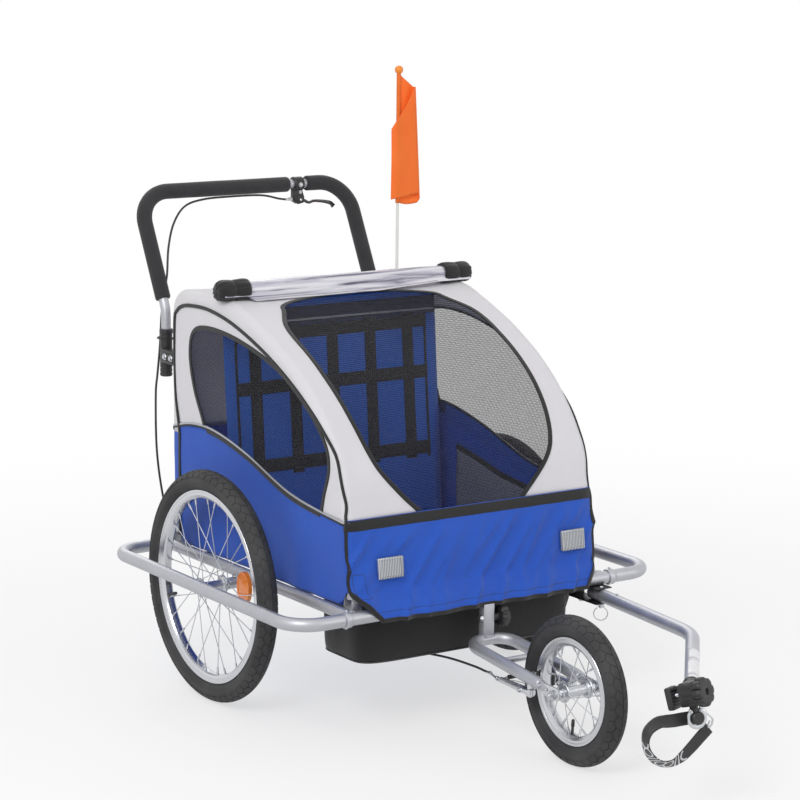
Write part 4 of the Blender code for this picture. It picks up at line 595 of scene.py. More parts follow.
def rounded_path(corners, radius, steps):
    """Corner points joined by straight runs, with an arc at each inner corner."""
    corners = [Vector(corner) for corner in corners]
    points = [corners[0]]
    for before, corner, after in zip(corners, corners[1:], corners[2:]):
        into = (corner - before).normalized()
        turn = into.angle((after - corner).normalized())
        axis = into.cross(after - corner).normalized()
        start = corner - into * radius * math.tan(turn / 2)
        centre = start + axis.cross(into) * radius
        for i in range(steps + 1):
            points.append(centre + Matrix.Rotation(turn * i / steps, 3, axis) @ (start - centre))
    return points + [corners[-1]]


def smooth_curve(points, per_span):
    """Points on a Catmull-Rom curve through the points given."""
    points = [Vector(point) for point in points]
    count = len(points)
    made = []
    for i in range(count - 1):
        b, c = points[i], points[i + 1]
        a = points[i - 1] if i else b * 2 - c
        d = points[i + 2] if i + 2 < count else c * 2 - b
        for k in range(per_span):
            t = k / per_span
            made.append(
                (
                    2 * b + (c - a) * t + (2 * a - 5 * b + 4 * c - d) * t**2
                    + (3 * b - a - 3 * c + d) * t**3
                ) / 2
            )
    return made + [points[-1]]


def add_tube(bm, points, radius, roundness, closed=False, radii=None):
    """A round tube along a path, made as a curve with a bevel and added to the mesh."""
    curve = bpy.data.curves.new("path", "CURVE")
    curve.dimensions = "3D"
    curve.bevel_depth = radius
    curve.bevel_resolution = roundness
    curve.use_fill_caps = True
    spline = curve.splines.new("POLY")
    spline.points.add(len(points) - 1)
    for k, point in enumerate(points):
        spline.points[k].co = (*point, 1)
        spline.points[k].radius = radii[k] if radii else 1
    spline.use_cyclic_u = closed
    holder = bpy.data.objects.new("path", curve)
    scene.collection.objects.link(holder)
    bpy.context.view_layer.update()
    mesh = bpy.data.meshes.new_from_object(
        holder.evaluated_get(bpy.context.evaluated_depsgraph_get())
    )
    bpy.data.objects.remove(holder)
    shape = bmesh.new()
    shape.from_mesh(mesh)
    bmesh.ops.remove_doubles(shape, verts=shape.verts, dist=1e-6)
    bmesh.ops.recalc_face_normals(shape, faces=shape.faces)
    shape.to_mesh(mesh)
    shape.free()
    bm.from_mesh(mesh)
    bpy.data.meshes.remove(mesh)


def add_block(bm, low, high, rounding, segments):
    """A block between two corners, its edges rounded."""
    low, high = Vector(low), Vector(high)
    made = bmesh.ops.create_cube(bm, size=1.0)["verts"]
    bmesh.ops.scale(bm, vec=high - low, verts=made)
    bmesh.ops.translate(bm, vec=(low + high) / 2, verts=made)
    edges = list({edge for vert in made for edge in vert.link_edges})
    bmesh.ops.bevel(
        bm, geom=edges, offset=rounding, segments=segments, profile=0.5, affect="EDGES", material=-1
    )


def add_weld(bm, centre, axis, radius, bead=0.0022):
    """A weld bead round a tube's end."""
    axis = Vector(axis).normalized()
    side = axis.orthogonal().normalized()
    other = axis.cross(side)
    points, radii = [], []
    for k in range(40):
        angle = 2 * math.pi * k / 40
        points.append(Vector(centre) + (side * math.cos(angle) + other * math.sin(angle)) * radius)
        radii.append(1.0 + 0.18 * math.sin(k * 2.6))
    add_tube(bm, points, bead, 2, closed=True, radii=radii)


def add_bolt(bm, centre, axis, head=0.0055, height=0.0035, washer=0.0075):
    """A hexagon head on a washer, standing out along the axis."""
    centre, axis = Vector(centre), Vector(axis).normalized()
    add_bar(bm, centre, centre + axis * 0.0012, washer, sides=20)
    add_bar(bm, centre + axis * 0.0012, centre + axis * (0.0012 + height), head, sides=6)
    add_bar(
        bm, centre + axis * (0.0012 + height), centre + axis * (0.0018 + height), head * 0.82,
        head * 0.66, sides=16
    )


bm = bmesh.new()
for bar_y in (FRONT_BAR_Y, REAR_BAR_Y):
    for side in (-1, 1):
        sleeve = [
            (side * x, r)
            for x, r in (
                (0.292, 0.0101), (0.292, CROSSBAR_RADIUS), (CROSSBAR_HALF, CROSSBAR_RADIUS),
                (CROSSBAR_HALF, 0.0101)
            )
        ]
        turn_profile(bm, sleeve, (0, bar_y, FRAME_Z), 28)
        collar = [
            (side * x, r)
            for x, r in (
                (0.328, 0.0132), (0.328, 0.0162), (0.3292, 0.0168), (0.3418, 0.0168),
                (0.343, 0.0162), (0.343, 0.0132)
            )
        ]
        turn_profile(bm, collar, (0, bar_y, FRAME_Z), 28)
        add_weld(
            bm, (side * RAIL_X, bar_y - math.copysign(0.0118, bar_y), FRAME_Z), (0, 1, 0), 0.0122
        )
    add_bar(bm, (-0.2925, bar_y, FRAME_Z), (0.2925, bar_y, FRAME_Z), CROSSBAR_RADIUS, sides=28)
add_bar(bm, (-RAIL_X, MID_BAR_Y, FRAME_Z), (RAIL_X, MID_BAR_Y, FRAME_Z), 0.0095, sides=24)
for side in (-1, 1):
    x = side * RAIL_X
    add_bar(
        bm, (x, FRONT_BAR_Y + 0.006, FRAME_Z), (x, REAR_BAR_Y - 0.006, FRAME_Z), RAIL_RADIUS,
        sides=28
    )
    add_weld(bm, (side * (RAIL_X - 0.0105), MID_BAR_Y, FRAME_Z), (1, 0, 0), 0.0093)
    receiver = [
        (side * along, out)
        for along, out in (
            (0.268, 0.0), (0.268, 0.011), (0.2695, 0.0125), (0.344, 0.0125), (0.3455, 0.011),
            (0.3455, 0.0066), (0.29, 0.0066), (0.29, 0.0)
        )
    ]
    turn_profile(bm, receiver, (0, 0, REAR_RADIUS), 28, closed=False)
    add_weld(bm, (x - side * 0.012, 0, FRAME_Z - 0.0115), (1, 0, 0), 0.009, 0.0018)
    add_weld(bm, (x + side * 0.012, 0, FRAME_Z - 0.0115), (1, 0, 0), 0.009, 0.0018)
    for foot_y, top in ((HOOP_FRONT_Y, 0.314), (HOOP_REAR_Y, 0.328)):
        for way in (-1, 1):
            near = foot_y + way * 0.013
            span = sorted((near, near + way * 0.0028))
            ends = sorted((side * 0.283, side * 0.3075))
            add_block(bm, (ends[0], span[0], FRAME_Z - 0.004), (ends[1], span[1], top), 0.001, 2)
            add_bolt(bm, (side * HOOP_X, foot_y + way * 0.0158, top - 0.014), (0, way, 0))
add_block(bm, (-0.0099, -0.4732, 0.215), (0.0099, -0.46, FRAME_Z - 0.006), 0.0012, 2)
make_piece("frame_ladder", bm, silver_tube, "base_frame", "frame", 30)

for name, side in SIDES:
    start_x = CROSSBAR_HALF + 0.0004
    corners = [
        (side * start_x, REAR_BAR_Y, FRAME_Z),
        (side * BUMPER_X, REAR_BAR_Y, FRAME_Z),
        (side * BUMPER_X, FRONT_BAR_Y, FRAME_Z),
        (side * start_x, FRONT_BAR_Y, FRAME_Z),
    ]
    bm = bmesh.new()
    add_tube(bm, rounded_path(corners, BUMPER_BEND, 14), BUMPER_RADIUS, 8)
    for bar_y in (FRONT_BAR_Y, REAR_BAR_Y):
        add_bar(
            bm, (side * 0.301, bar_y, FRAME_Z), (side * 0.352, bar_y, FRAME_Z), 0.0097, sides=24
        )
    make_piece(f"bumper_loop_{name}", bm, silver_tube, f"bumper_{name}", "frame")

    # Spring button and ring pin that hold the loop in its sleeve
    bm = bmesh.new()
    for bar_y in (FRONT_BAR_Y, REAR_BAR_Y):
        button = [(0, 0), (0, 0.003), (0.0032, 0.003), (0.0044, 0.002), (0.0047, 0)]
        turn_profile(
            bm, button, (side * 0.3355, bar_y, FRAME_Z + 0.0164), 16, (0, 0, 1), closed=False
        )
        add_bar(
            bm, (side * 0.3355, bar_y, FRAME_Z - 0.0185), (side * 0.3355, bar_y, FRAME_Z - 0.016),
            0.0028, sides=12
        )
    make_piece(f"bumper_pins_{name}", bm, zinc_steel, slot="steel")

# Cabin hoops and seat bar
# Two bent tube hoops carry the fabric and a bar across them carries the seat; they stand in the
# frame's brackets on bolts, and the fabric is pulled over them and laced below.
BODY_HALF = 0.311
BODY_EDGE = 0.0155
TUB_BOTTOM_Z = 0.286
ROOF_LINE = smooth_curve(
    [
        (0.105, 0.852), (0.013, 0.837), (-0.15, 0.772), (-0.295, 0.676), (-0.385, 0.562),
        (-0.409, 0.464)
    ],
    9
)
REAR_CORNER = rounded_path([(0.3, 0.6, 0), (0.3, 0.85, 0), (0.105, 0.852, 0)], 0.055, 10)[1:-1]
OUTLINE = [Vector((0.3, TUB_BOTTOM_Z)), Vector((0.3, 0.538)), Vector((0.3, 0.66))]
OUTLINE += [point.to_2d() for point in REAR_CORNER] + ROOF_LINE
OUTLINE += [Vector((-0.4265, 0.317)), Vector((-0.4275, TUB_BOTTOM_Z))]
REACH = [0.0]
for near, far in zip(OUTLINE, OUTLINE[1:]):
    REACH.append(REACH[-1] + (far - near).length)


def on_outline(distance):
    """Point and inward direction of the cabin's outline at a distance along it from the rear."""
    distance = min(max(distance, 0.0), REACH[-1])
    k = next(i for i in range(len(REACH) - 1) if distance <= REACH[i + 1])
    share = (distance - REACH[k]) / (REACH[k + 1] - REACH[k])
    point = OUTLINE[k].lerp(OUTLINE[k + 1], share)
    ways = []
    for j in (max(k - 1, 0), k, min(k + 1, len(OUTLINE) - 2)):
        way = (OUTLINE[j + 1] - OUTLINE[j]).normalized()
        ways.append(Vector((-way.y, way.x)))
    inward = (
        ways[0].lerp(ways[1], 0.5 + share) if share < 0.5 else ways[1].lerp(ways[2], share - 0.5)
    )
    return point, inward.normalized()


def reach_at(height, front=True):
    """Distance along the outline at a height on the front slope or the rear wall."""
    spans = list(zip(OUTLINE, OUTLINE[1:], REACH, REACH[1:]))
    for a, b, low, high in reversed(spans) if front else spans:
        if min(a.y, b.y) <= height <= max(a.y, b.y) and abs(a.y - b.y) > 1e-9:
            return low + (high - low) * (height - a.y) / (b.y - a.y)
    return REACH[-1]


for name, side in SIDES:
    path = []
    for k in range(91):
        point, inward = on_outline(0.016 + (REACH[-1] - 0.032) * k / 90)
        middle = point + inward * 0.0155
        path.append((side * HOOP_X, middle.x, max(middle.y, 0.302)))
    make_piece(
        f"cabin_hoop_{name}", one_shape(add_tube, path, RAIL_RADIUS, 6), silver_tube,
        f"hoop_{name}", "frame"
    )

profile = [
    (-0.2826, 0), (-0.2826, 0.0088), (-0.2815, 0.0095), (0.2815, 0.0095), (0.2826, 0.0088),
    (0.2826, 0)
]
make_piece(
    "seat_cross_bar", one_shape(turn_profile, profile, (0, 0.15, 0.826), 28, closed=False),
    silver_tube, "seat_top_bar", "frame"
)

# Canopy
# Off-white coated polyester, cut in a roof and front panel and two side panels, sewn with black
# piping over the hoops. Black binding edges the windows. It is pulled tight, and a little slack.
THREAD = 420.0


def cloth_finish(name, dark, light, roughness, weave=0.35, sheen=0.25, through=None):
    """Woven polyester: a plain weave of 1.5 mm threads, drawn coarse to show, and uneven dye.
    Light may come through."""
    made, tree = new_finish(name)
    spot = add_node(tree, "TexCoord").outputs["Object"]
    cloud = add_node(tree, "TexNoise", Vector=spot, Scale=9, Detail=5, Roughness=0.6)
    tone = add_node(
        tree, "Mix", data_type="RGBA", in0=cloud.outputs["Fac"], in6=linear(dark), in7=linear(light)
    )
    warp = add_node(
        tree, "TexWave", Vector=spot, Scale=THREAD, Distortion=0.6, wave_type="BANDS",
        bands_direction="Z"
    )
    weft = add_node(
        tree, "TexWave", Vector=spot, Scale=THREAD, Distortion=0.6, wave_type="BANDS",
        bands_direction="DIAGONAL"
    )
    threads = add_node(
        tree, "Math", operation="MAXIMUM", in0=warp.outputs["Fac"], in1=weft.outputs["Fac"]
    )
    relief = add_node(tree, "Bump", Strength=weave, Distance=0.0003, Height=threads.outputs[0])
    soft = add_node(tree, "TexNoise", Vector=spot, Scale=38, Detail=3)
    ripple = add_node(
        tree, "Bump", Strength=0.22, Distance=0.003, Height=soft.outputs["Fac"],
        Normal=relief.outputs[0]
    )
    skin = add_node(
        tree, "BsdfPrincipled", Base_Color=tone.outputs[2], Roughness=roughness, Sheen_Weight=sheen,
        Sheen_Roughness=0.5, Normal=ripple.outputs[0],
    )
    if not through:
        add_node(tree, "OutputMaterial", Surface=skin.outputs[0])
        return made
    glow = add_node(tree, "BsdfTranslucent", Color=linear(through))
    mixed = add_node(tree, "MixShader", in0=0.2, in1=skin.outputs[0], in2=glow.outputs[0])
    add_node(tree, "OutputMaterial", Surface=mixed.outputs[0])
    return made


white_polyester = cloth_finish(
    "off_white_polyester", "#E7E5E9", "#F0EEF1", 0.72, sheen=0.1, through="#F2F1F4"
)
blue_polyester = cloth_finish("royal_blue_polyester", "#1552C0", "#1C60D2", 0.66, through="#3F7DF0")
black_binding = cloth_finish("black_polyester_binding", "#0B0B0D", "#151517", 0.8)


def thicken(piece, thickness):
    """Gives a piece that is drawn as one sheet its thickness, half to each side."""
    wall = piece.modifiers.new("cloth", "SOLIDIFY")
    wall.thickness = thickness
    wall.offset = 0
    return piece


def make_cloth(name, across, along, place, finish, thickness=0.0012, merge=True, **fixing):
    """A panel of cloth: a grid laid where place(u, v) says, given a thickness behind it."""
    bm = bmesh.new()
    bmesh.ops.create_grid(bm, x_segments=across, y_segments=along, size=0.5)
    for vert in bm.verts:
        vert.co = Vector(place(vert.co.x + 0.5, vert.co.y + 0.5))
    if merge:
        bmesh.ops.remove_doubles(bm, verts=bm.verts, dist=0.00002)
    bmesh.ops.recalc_face_normals(bm, faces=bm.faces)
    return thicken(make_piece(name, bm, finish, **fixing), thickness)


PIPING = smooth_curve(
    [
        (0.263, 0.534), (0.281, 0.628), (0.284, 0.775), (0.272, 0.802), (0.248, 0.815),
        (0.205, 0.821), (0.132, 0.821), (0.035, 0.804), (-0.075, 0.769), (-0.17, 0.728),
        (-0.252, 0.683), (-0.317, 0.637), (-0.368, 0.583), (-0.398, 0.507), (-0.403, 0.462),
    ],
    8,
)
CANOPY_START = reach_at(0.53, front=False)
CANOPY_END = reach_at(0.455)


def gap_to(line, point):
    """Distance of a point from a line of points."""
    best = 1.0
    for a, b in zip(line, line[1:]):
        run = b - a
        share = min(1.0, max(0.0, (point - a).dot(run) / max(run.length_squared, 1e-12)))
        best = min(best, (a + run * share - point).length)
    return best


def edge_drop(point):
    """How far the side's cloth turns in at a point near the rounded edge."""
    rim = gap_to(OUTLINE[2:-2], point)
    if rim >= BODY_EDGE:
        return 0.0
    return BODY_EDGE - math.sqrt(max(0.0, BODY_EDGE**2 - (BODY_EDGE - rim) ** 2))


def inset_at(distance):
    """How far inside the outline the side piping runs there."""
    return gap_to(PIPING, on_outline(distance)[0])


def on_shell(distance, girth, side):
    """Point of the cabin's skin. Girth is 0 where the side turns into the edge, and grows over
    the roof."""
    point, inward = on_outline(distance)
    flat_x = BODY_HALF - BODY_EDGE
    arc = BODY_EDGE * math.pi / 2
    if girth < 0:
        x, depth = BODY_HALF, BODY_EDGE - girth
    elif girth < arc:
        tilt = girth / BODY_EDGE
        x, depth = flat_x + BODY_EDGE * math.cos(tilt), BODY_EDGE * (1 - math.sin(tilt))
    else:
        x, depth = flat_x - (girth - arc), 0.0
    spot = point + inward * depth
    return Vector((side * x, spot.x, spot.y))


def edge_girth(distance):
    """Girth of the piping."""
    inset = inset_at(distance)
    if inset >= BODY_EDGE:
        return BODY_EDGE - inset
    return BODY_EDGE * math.asin(1 - inset / BODY_EDGE)


WINDOW_HALVES = smooth_curve(
    [
        (0.455, 0.124), (0.466, 0.134), (0.505, 0.175), (0.56, 0.219), (0.62, 0.238), (0.69, 0.247),
        (0.76, 0.249), (0.806, 0.243), (0.834, 0.205),
    ],
    6,
)
WINDOW_TOP_Z = 0.8475


def window_half(distance):
    """Half width of the front window at a place on the slope, 0 behind its top edge."""
    point = on_outline(distance)[0]
    if point.x > 0.1 or point.y > WINDOW_TOP_Z or point.y < 0.4:
        return 0.0
    for low, high in zip(WINDOW_HALVES, WINDOW_HALVES[1:]):
        if low.x <= point.y <= high.x:
            share = (point.y - low.x) / (high.x - low.x)
            return low.y + share * (high.y - low.y)
    if point.y < WINDOW_HALVES[0].x:
        return WINDOW_HALVES[0].y
    share = (point.y - 0.834) / (WINDOW_TOP_Z - 0.834)
    return 0.205 * math.sqrt(max(0.0, 1 - share**2.2))


def slack(point, scale, depth):
    """Gentle slackness of stretched cloth."""
    return depth * noise.noise(Vector(point) * scale)


def cloth_lift(spot):
    """How far the roof's cloth stands off its even shape: it sags a little between the hoops."""
    middle = math.sin(min(1.0, max(0.0, BODY_HALF - BODY_EDGE - abs(spot.x)) / 0.1) * math.pi / 2)
    return slack(spot, 7.0, 0.0018) + slack(spot, 22.0, 0.0006) - 0.0028 * middle


TOP_START = reach_at(WINDOW_TOP_Z)
STATIONS = [CANOPY_START + (TOP_START - CANOPY_START) * k / 52 for k in range(52)]
STATIONS += [TOP_START + (CANOPY_END - TOP_START) * (k / 64) ** 1.35 for k in range(65)]
CROSS = 26


def roof_point(side):
    """Where a point of the roof and front panel lies: u inwards from the piping, v along it."""

    def place(u, v):
        distance = STATIONS[round(v * (len(STATIONS) - 1))]
        start = edge_girth(distance)
        arc = BODY_EDGE * math.pi / 2
        half = window_half(distance)
        end = arc + BODY_HALF - BODY_EDGE - half
        bend = 0.36
        girth = (
            start + (arc + 0.006 - start) * u / bend
            if u < bend
            else arc + 0.006 + (end - arc - 0.006) * (u - bend) / (1 - bend)
        )
        spot = on_shell(distance, girth, side)
        inward = on_outline(distance)[1]
        return spot - Vector((0, inward.x, inward.y)) * cloth_lift(spot)

    return place


bm = bmesh.new()
for side in (-1, 1):
    place = roof_point(side)
    made = bmesh.ops.create_grid(
        bm, x_segments=CROSS, y_segments=len(STATIONS) - 1, size=0.5
    )["verts"]
    for vert in made:
        vert.co = place(vert.co.x + 0.5, vert.co.y + 0.5)
bmesh.ops.remove_doubles(bm, verts=bm.verts, dist=0.00002)
bmesh.ops.recalc_face_normals(bm, faces=bm.faces)
roof = make_piece("canopy_roof", bm, white_polyester, "canopy", "white_fabric", 60)
thicken(roof, 0.0012)

SEAM = smooth_curve(
    [
        (0.301, 0.538), (0.21, 0.558), (0.11, 0.558), (-0.023, 0.531), (-0.2, 0.478),
        (-0.4, 0.4565), (-0.44, 0.4565),
    ],
    10,
)


def seam_z(y):
    """Height of the seam between the white top and the blue tub."""
    for ahead, behind in zip(SEAM, SEAM[1:]):
        if behind.x <= y <= ahead.x:
            return ahead.y + (behind.y - ahead.y) * (ahead.x - y) / (ahead.x - behind.x)
    return SEAM[0].y if y > SEAM[0].x else SEAM[-1].y


WINDOW = smooth_curve(
    [
        (0.15, 0.535), (0.161, 0.572), (0.197, 0.64), (0.216, 0.715), (0.2, 0.766), (0.132, 0.781),
        (0.01, 0.772), (-0.14, 0.735), (-0.252, 0.678), (-0.325, 0.612), (-0.343, 0.56),
        (-0.326, 0.498), (-0.314, 0.445),
    ],
    8,
)


def along(line, share):
    """Point of a line of points at a share of its length."""
    lengths = [(b - a).length for a, b in zip(line, line[1:])]
    left = share * sum(lengths)
    for k, length in enumerate(lengths):
        if left <= length or k == len(lengths) - 1:
            return line[k].lerp(line[k + 1], min(1.0, left / length))
        left -= length


def side_x(y, z):
    """How far out the side's cloth stands."""
    return BODY_HALF + slack((0.3, y, z), 8.0, 0.0016) - 0.0004


OUTER_LINE = [Vector((0.268, 0.515))] + PIPING + [Vector((-0.407, 0.44))]
for name, side in SIDES:

    def white_point(u, v):
        outer = along(OUTER_LINE, v)
        inner = along(WINDOW, v)
        spot = outer.lerp(inner, u)
        spot.y = max(spot.y, seam_z(spot.x) - 0.003)
        tuck = 0.002 * min(1.0, max(0.0, (seam_z(spot.x) + 0.006 - spot.y) / 0.004))
        return side * (side_x(*spot) - edge_drop(spot) - tuck), spot.x, spot.y

    panel = make_cloth(
        f"canopy_side_{name}", 10, 110, white_point, white_polyester, slot="white_fabric"
    )


def add_strip(bm, rows):
    """A closed strip between rows of points, each row one section of it."""
    made = bmesh.ops.create_grid(
        bm, x_segments=len(rows) - 1, y_segments=len(rows[0]), size=0.5
    )["verts"]
    count = len(rows[0])
    for vert in made:
        k = round((vert.co.x + 0.5) * (len(rows) - 1))
        j = round((vert.co.y + 0.5) * count) % count
        vert.co = rows[k][j]
    bmesh.ops.remove_doubles(bm, verts=made, dist=1e-6)
    shape = [vert for vert in made if vert.is_valid]
    open_edges = [edge for edge in {e for v in shape for e in v.link_edges} if edge.is_boundary]
    bmesh.ops.holes_fill(bm, edges=open_edges, sides=count)
    bmesh.ops.recalc_face_normals(
        bm, faces=list({face for vert in shape for face in vert.link_faces})
    )


def tape_rows(line, outward, width, height, both=False):
    """Sections of a flat tape with soft edges along a line of points. Outward is where it faces."""
    half = width / 2
    section = [
        (-half, -0.2), (-half, 0.45), (-0.8 * half, 0.85), (0, 1.0), (0.8 * half, 0.85),
        (half, 0.45), (half, -0.2)
    ]
    if both:
        section = [
            (-half, 0), (-0.8 * half, 0.85), (0, 1), (0.8 * half, 0.85), (half, 0),
            (0.8 * half, -0.85), (0, -1), (-0.8 * half, -0.85)
        ]
    rows = []
    for k, point in enumerate(line):
        run = (line[min(k + 1, len(line) - 1)] - line[max(k - 1, 0)]).normalized()
        out = Vector(outward(point) if callable(outward) else outward)
        out = (out - run * out.dot(run)).normalized()
        across = run.cross(out)
        rows.append([point + across * a + out * (height * b) for a, b in section])
    return rows


# Black piping along the side seams, and black binding round the side windows
def resampled(line, step):
    """A line of points taken again at even steps."""
    total = sum((b - a).length for a, b in zip(line, line[1:]))
    count = max(2, round(total / step))
    return [along(line, k / count) for k in range(count + 1)]


for name, side in SIDES:
    bm = bmesh.new()
    path = []
    for point in resampled(
        [Vector((0.263, 0.532))] + PIPING[1:-1]
        + [Vector((-0.4035, 0.466)), Vector((-0.4075, 0.44))],
        0.008
    ):
        path.append(Vector((side * (BODY_HALF + 0.0008 - edge_drop(point)), point.x, point.y)))
    add_strip(bm, tape_rows(path, (side, 0, 0), 0.0078, 0.0028))
    stem = [Vector((side * (BODY_HALF + 0.0008), 0.263, 0.532 - 0.232 * k / 24)) for k in range(25)]
    add_strip(bm, tape_rows(stem, (side, 0, 0), 0.009, 0.0026))
    make_piece(f"canopy_piping_{name}", bm, black_binding, slot="black_fabric")

    shown = [point for point in resampled(WINDOW, 0.004) if point.y > seam_z(point.x) + 0.001][::2]
    path = [Vector((side * (side_x(*point) + 0.0004), point.x, point.y)) for point in shown]
    make_piece(
        f"side_window_binding_{name}",
        one_shape(add_strip, tape_rows(path, (side, 0, 0), 0.0098, 0.0024)), black_binding,
        slot="black_fabric"
    )

# Front window binding: black tape along the opening's edge
edge = []
steps = 150
for k in range(steps + 1):
    distance = CANOPY_END - 0.002 - (CANOPY_END - 0.002 - TOP_START) * (1 - (1 - k / steps) ** 1.6)
    half = window_half(distance)
    if half > 0:
        edge.append((half, distance))
edge = [Vector((half, distance)) for half, distance in edge] + [
    Vector((-half, distance)) for half, distance in reversed(edge)
]
edge = resampled(edge, 0.009)


def slope_spot(point, proud=0.0006):
    """A flat place on the slope, as (x, distance), in space."""
    spot, inward = on_outline(point.y)
    base = Vector((point.x, spot.x, spot.y))
    return base - Vector((0, inward.x, inward.y)) * (proud + cloth_lift(base))


def slope_out(point):
    """Outward direction of the slope at a point in space."""
    best = min(
        range(len(OUTLINE) - 1), key=lambda i: (OUTLINE[i] - Vector((point.y, point.z))).length
    )
    inward = on_outline(REACH[best])[1]
    return (0, -inward.x, -inward.y)


make_piece(
    "front_window_binding",
    one_shape(
        add_strip, tape_rows([slope_spot(point) for point in edge], slope_out, 0.0098, 0.0024)
    ),
    black_binding, slot="black_fabric"
)

# Windows
# Black knitted insect mesh sewn behind the openings of the front and the sides.


def net_finish(name, thread, hole, jitter, rim, cover, slanting=False):
    """Knitted net: see-through holes, a length apart, between threads. It is laid out over the
    height and y, or the height and x + y where the cloth runs across too."""
    made, tree = new_finish(name)
    parts = add_node(tree, "SeparateXYZ", in0=add_node(tree, "TexCoord").outputs["Object"])
    run = parts.outputs[1]
    if slanting:
        run = add_node(tree, "Math", operation="ADD", in0=parts.outputs[0], in1=run).outputs[0]
    flat = add_node(tree, "CombineXYZ", in0=run, in1=parts.outputs[2])
    holes = add_node(
        tree, "TexVoronoi", voronoi_dimensions="2D", Vector=flat.outputs[0], Scale=1 / hole,
        Randomness=jitter
    )
    shut = add_node(
        tree, "MapRange", in0=holes.outputs["Distance"], in1=rim[0], in2=rim[1], in3=cover[0],
        in4=cover[1]
    )
    cord = add_node(tree, "BsdfPrincipled", Base_Color=linear(thread), Roughness=0.85)
    clear = add_node(tree, "BsdfTransparent", Color=(1, 1, 1, 1))
    mixed = add_node(
        tree, "MixShader", in0=shut.outputs[0], in1=clear.outputs[0], in2=cord.outputs[0]
    )
    add_node(tree, "OutputMaterial", Surface=mixed.outputs[0])
    return made


# Black net: 1 mm holes in rows, drawn about three times too large so that they show
insect_mesh = net_finish(
    "black_knitted_mesh", "#2C2C31", 0.003, 0.08, (0.3, 0.5), (0.06, 0.46), slanting=True
)


def front_mesh_point(u, v):
    distance = TOP_START + 0.0005 + (CANOPY_END - TOP_START - 0.001) * v**1.35
    half = max(window_half(distance), 0.0004)
    return slope_spot(Vector(((2 * u - 1) * half, distance)), -0.0016)


front_screen = make_cloth(
    "front_window_mesh", 24, 48, front_mesh_point, insect_mesh, 0.0006, stands_for="front_mesh",
    slot="mesh"
)

for name, side in SIDES:
    middle = Vector((-0.04, 0.63))
    rim_line = resampled(
        WINDOW + [Vector((-0.2, 0.462)), Vector((-0.02, 0.512)), Vector((0.1, 0.538)), WINDOW[0]],
        0.01
    )

    def side_mesh_point(u, v):
        spot = middle.lerp(along(rim_line, u), v)
        return side * (BODY_HALF - 0.0022), spot.x, spot.y

    screen = make_cloth(
        f"side_window_mesh_{name}", 96, 8, side_mesh_point, insect_mesh, 0.0006,
        stands_for=f"side_mesh_{name}", slot="mesh"
    )

# Tub
# Royal blue coated polyester: the cabin's lower walls and floor, sewn to the white top along the
# side seam and laced under the rails. Black seams run down behind the wheels and along the edge.
def front_at(z):
    """Where the tub's front wall lies at a height."""
    if z < 0.317:
        return -0.4275 + 0.001 * (z - TUB_BOTTOM_Z) / (0.317 - TUB_BOTTOM_Z)
    return -0.4265 + 0.0175 * (z - 0.317) / 0.147


def wall_ring():
    """Places round the tub from the middle of its rear: (x, y share, outward x, outward y)."""
    flat = BODY_HALF - BODY_EDGE
    half = [(flat * k / 8, 0.0, 0.0, 1.0) for k in range(9)]
    for k in range(1, 7):
        turn = math.pi / 2 * k / 6
        half.append(
            (
                flat + BODY_EDGE * math.sin(turn), -BODY_EDGE * (1 - math.cos(turn)),
                math.sin(turn), math.cos(turn)
            )
        )
    half += [(BODY_HALF, -k / 44, 1.0, 0.0) for k in range(1, 44)]
    for k in range(0, 7):
        turn = math.pi / 2 * k / 6
        half.append(
            (
                flat + BODY_EDGE * math.cos(turn), 2 + BODY_EDGE * (1 - math.sin(turn)),
                math.cos(turn), -math.sin(turn)
            )
        )
    half += [(flat * (1 - k / 8), 2.0, 0.0, -1.0) for k in range(1, 9)]
    return half + [(-x, y, -out_x, out_y) for x, y, out_x, out_y in half[-2:0:-1]]


RING = wall_ring()


def wall_spot(place, z):
    """Point of the tub's wall at a place of the ring and a height, before it slackens."""
    x, share, out_x, out_y = place
    front = front_at(z)
    if share >= 2:
        y = front + (share - 2)
    elif abs(x) == BODY_HALF and out_y == 0.0:
        y = 0.3 - BODY_EDGE + (front + 2 * BODY_EDGE - 0.3) * -share
    else:
        y = 0.3 + share
    return Vector((x - 0.0008 * out_x, y - 0.0008 * out_y, z)), Vector((out_x, out_y, 0))


def wall_foot(x, y):
    """Height of the tub's lower edge, cut away round the feet of the hoops."""
    foot = TUB_BOTTOM_Z
    for foot_y, cut in ((HOOP_FRONT_Y, 0.316), (HOOP_REAR_Y, 0.345)):
        away = max(max(0.0, 0.281 - abs(x)) / 0.012, max(0.0, abs(y - foot_y) - 0.0185) / 0.012)
        share = max(0.0, 1 - away)
        foot += (cut - TUB_BOTTOM_Z) * share * share * (3 - 2 * share)
    return foot


def wall_lift(spot, out):
    """How far the tub's cloth stands off: slack between seams, and pulls where it is laced."""
    low = max(0.0, 1 - (spot.z - TUB_BOTTOM_Z) / 0.1)
    pull = (
        0.0016 * low * low * math.sin(
            spot.y * 2 * math.pi / 0.085 + 1.3 * noise.noise(spot * 9)
        ) * abs(out.x)
    )
    return max(-0.001, slack(spot, 6.0, 0.003) + slack(spot, 17.0, 0.001) + pull)


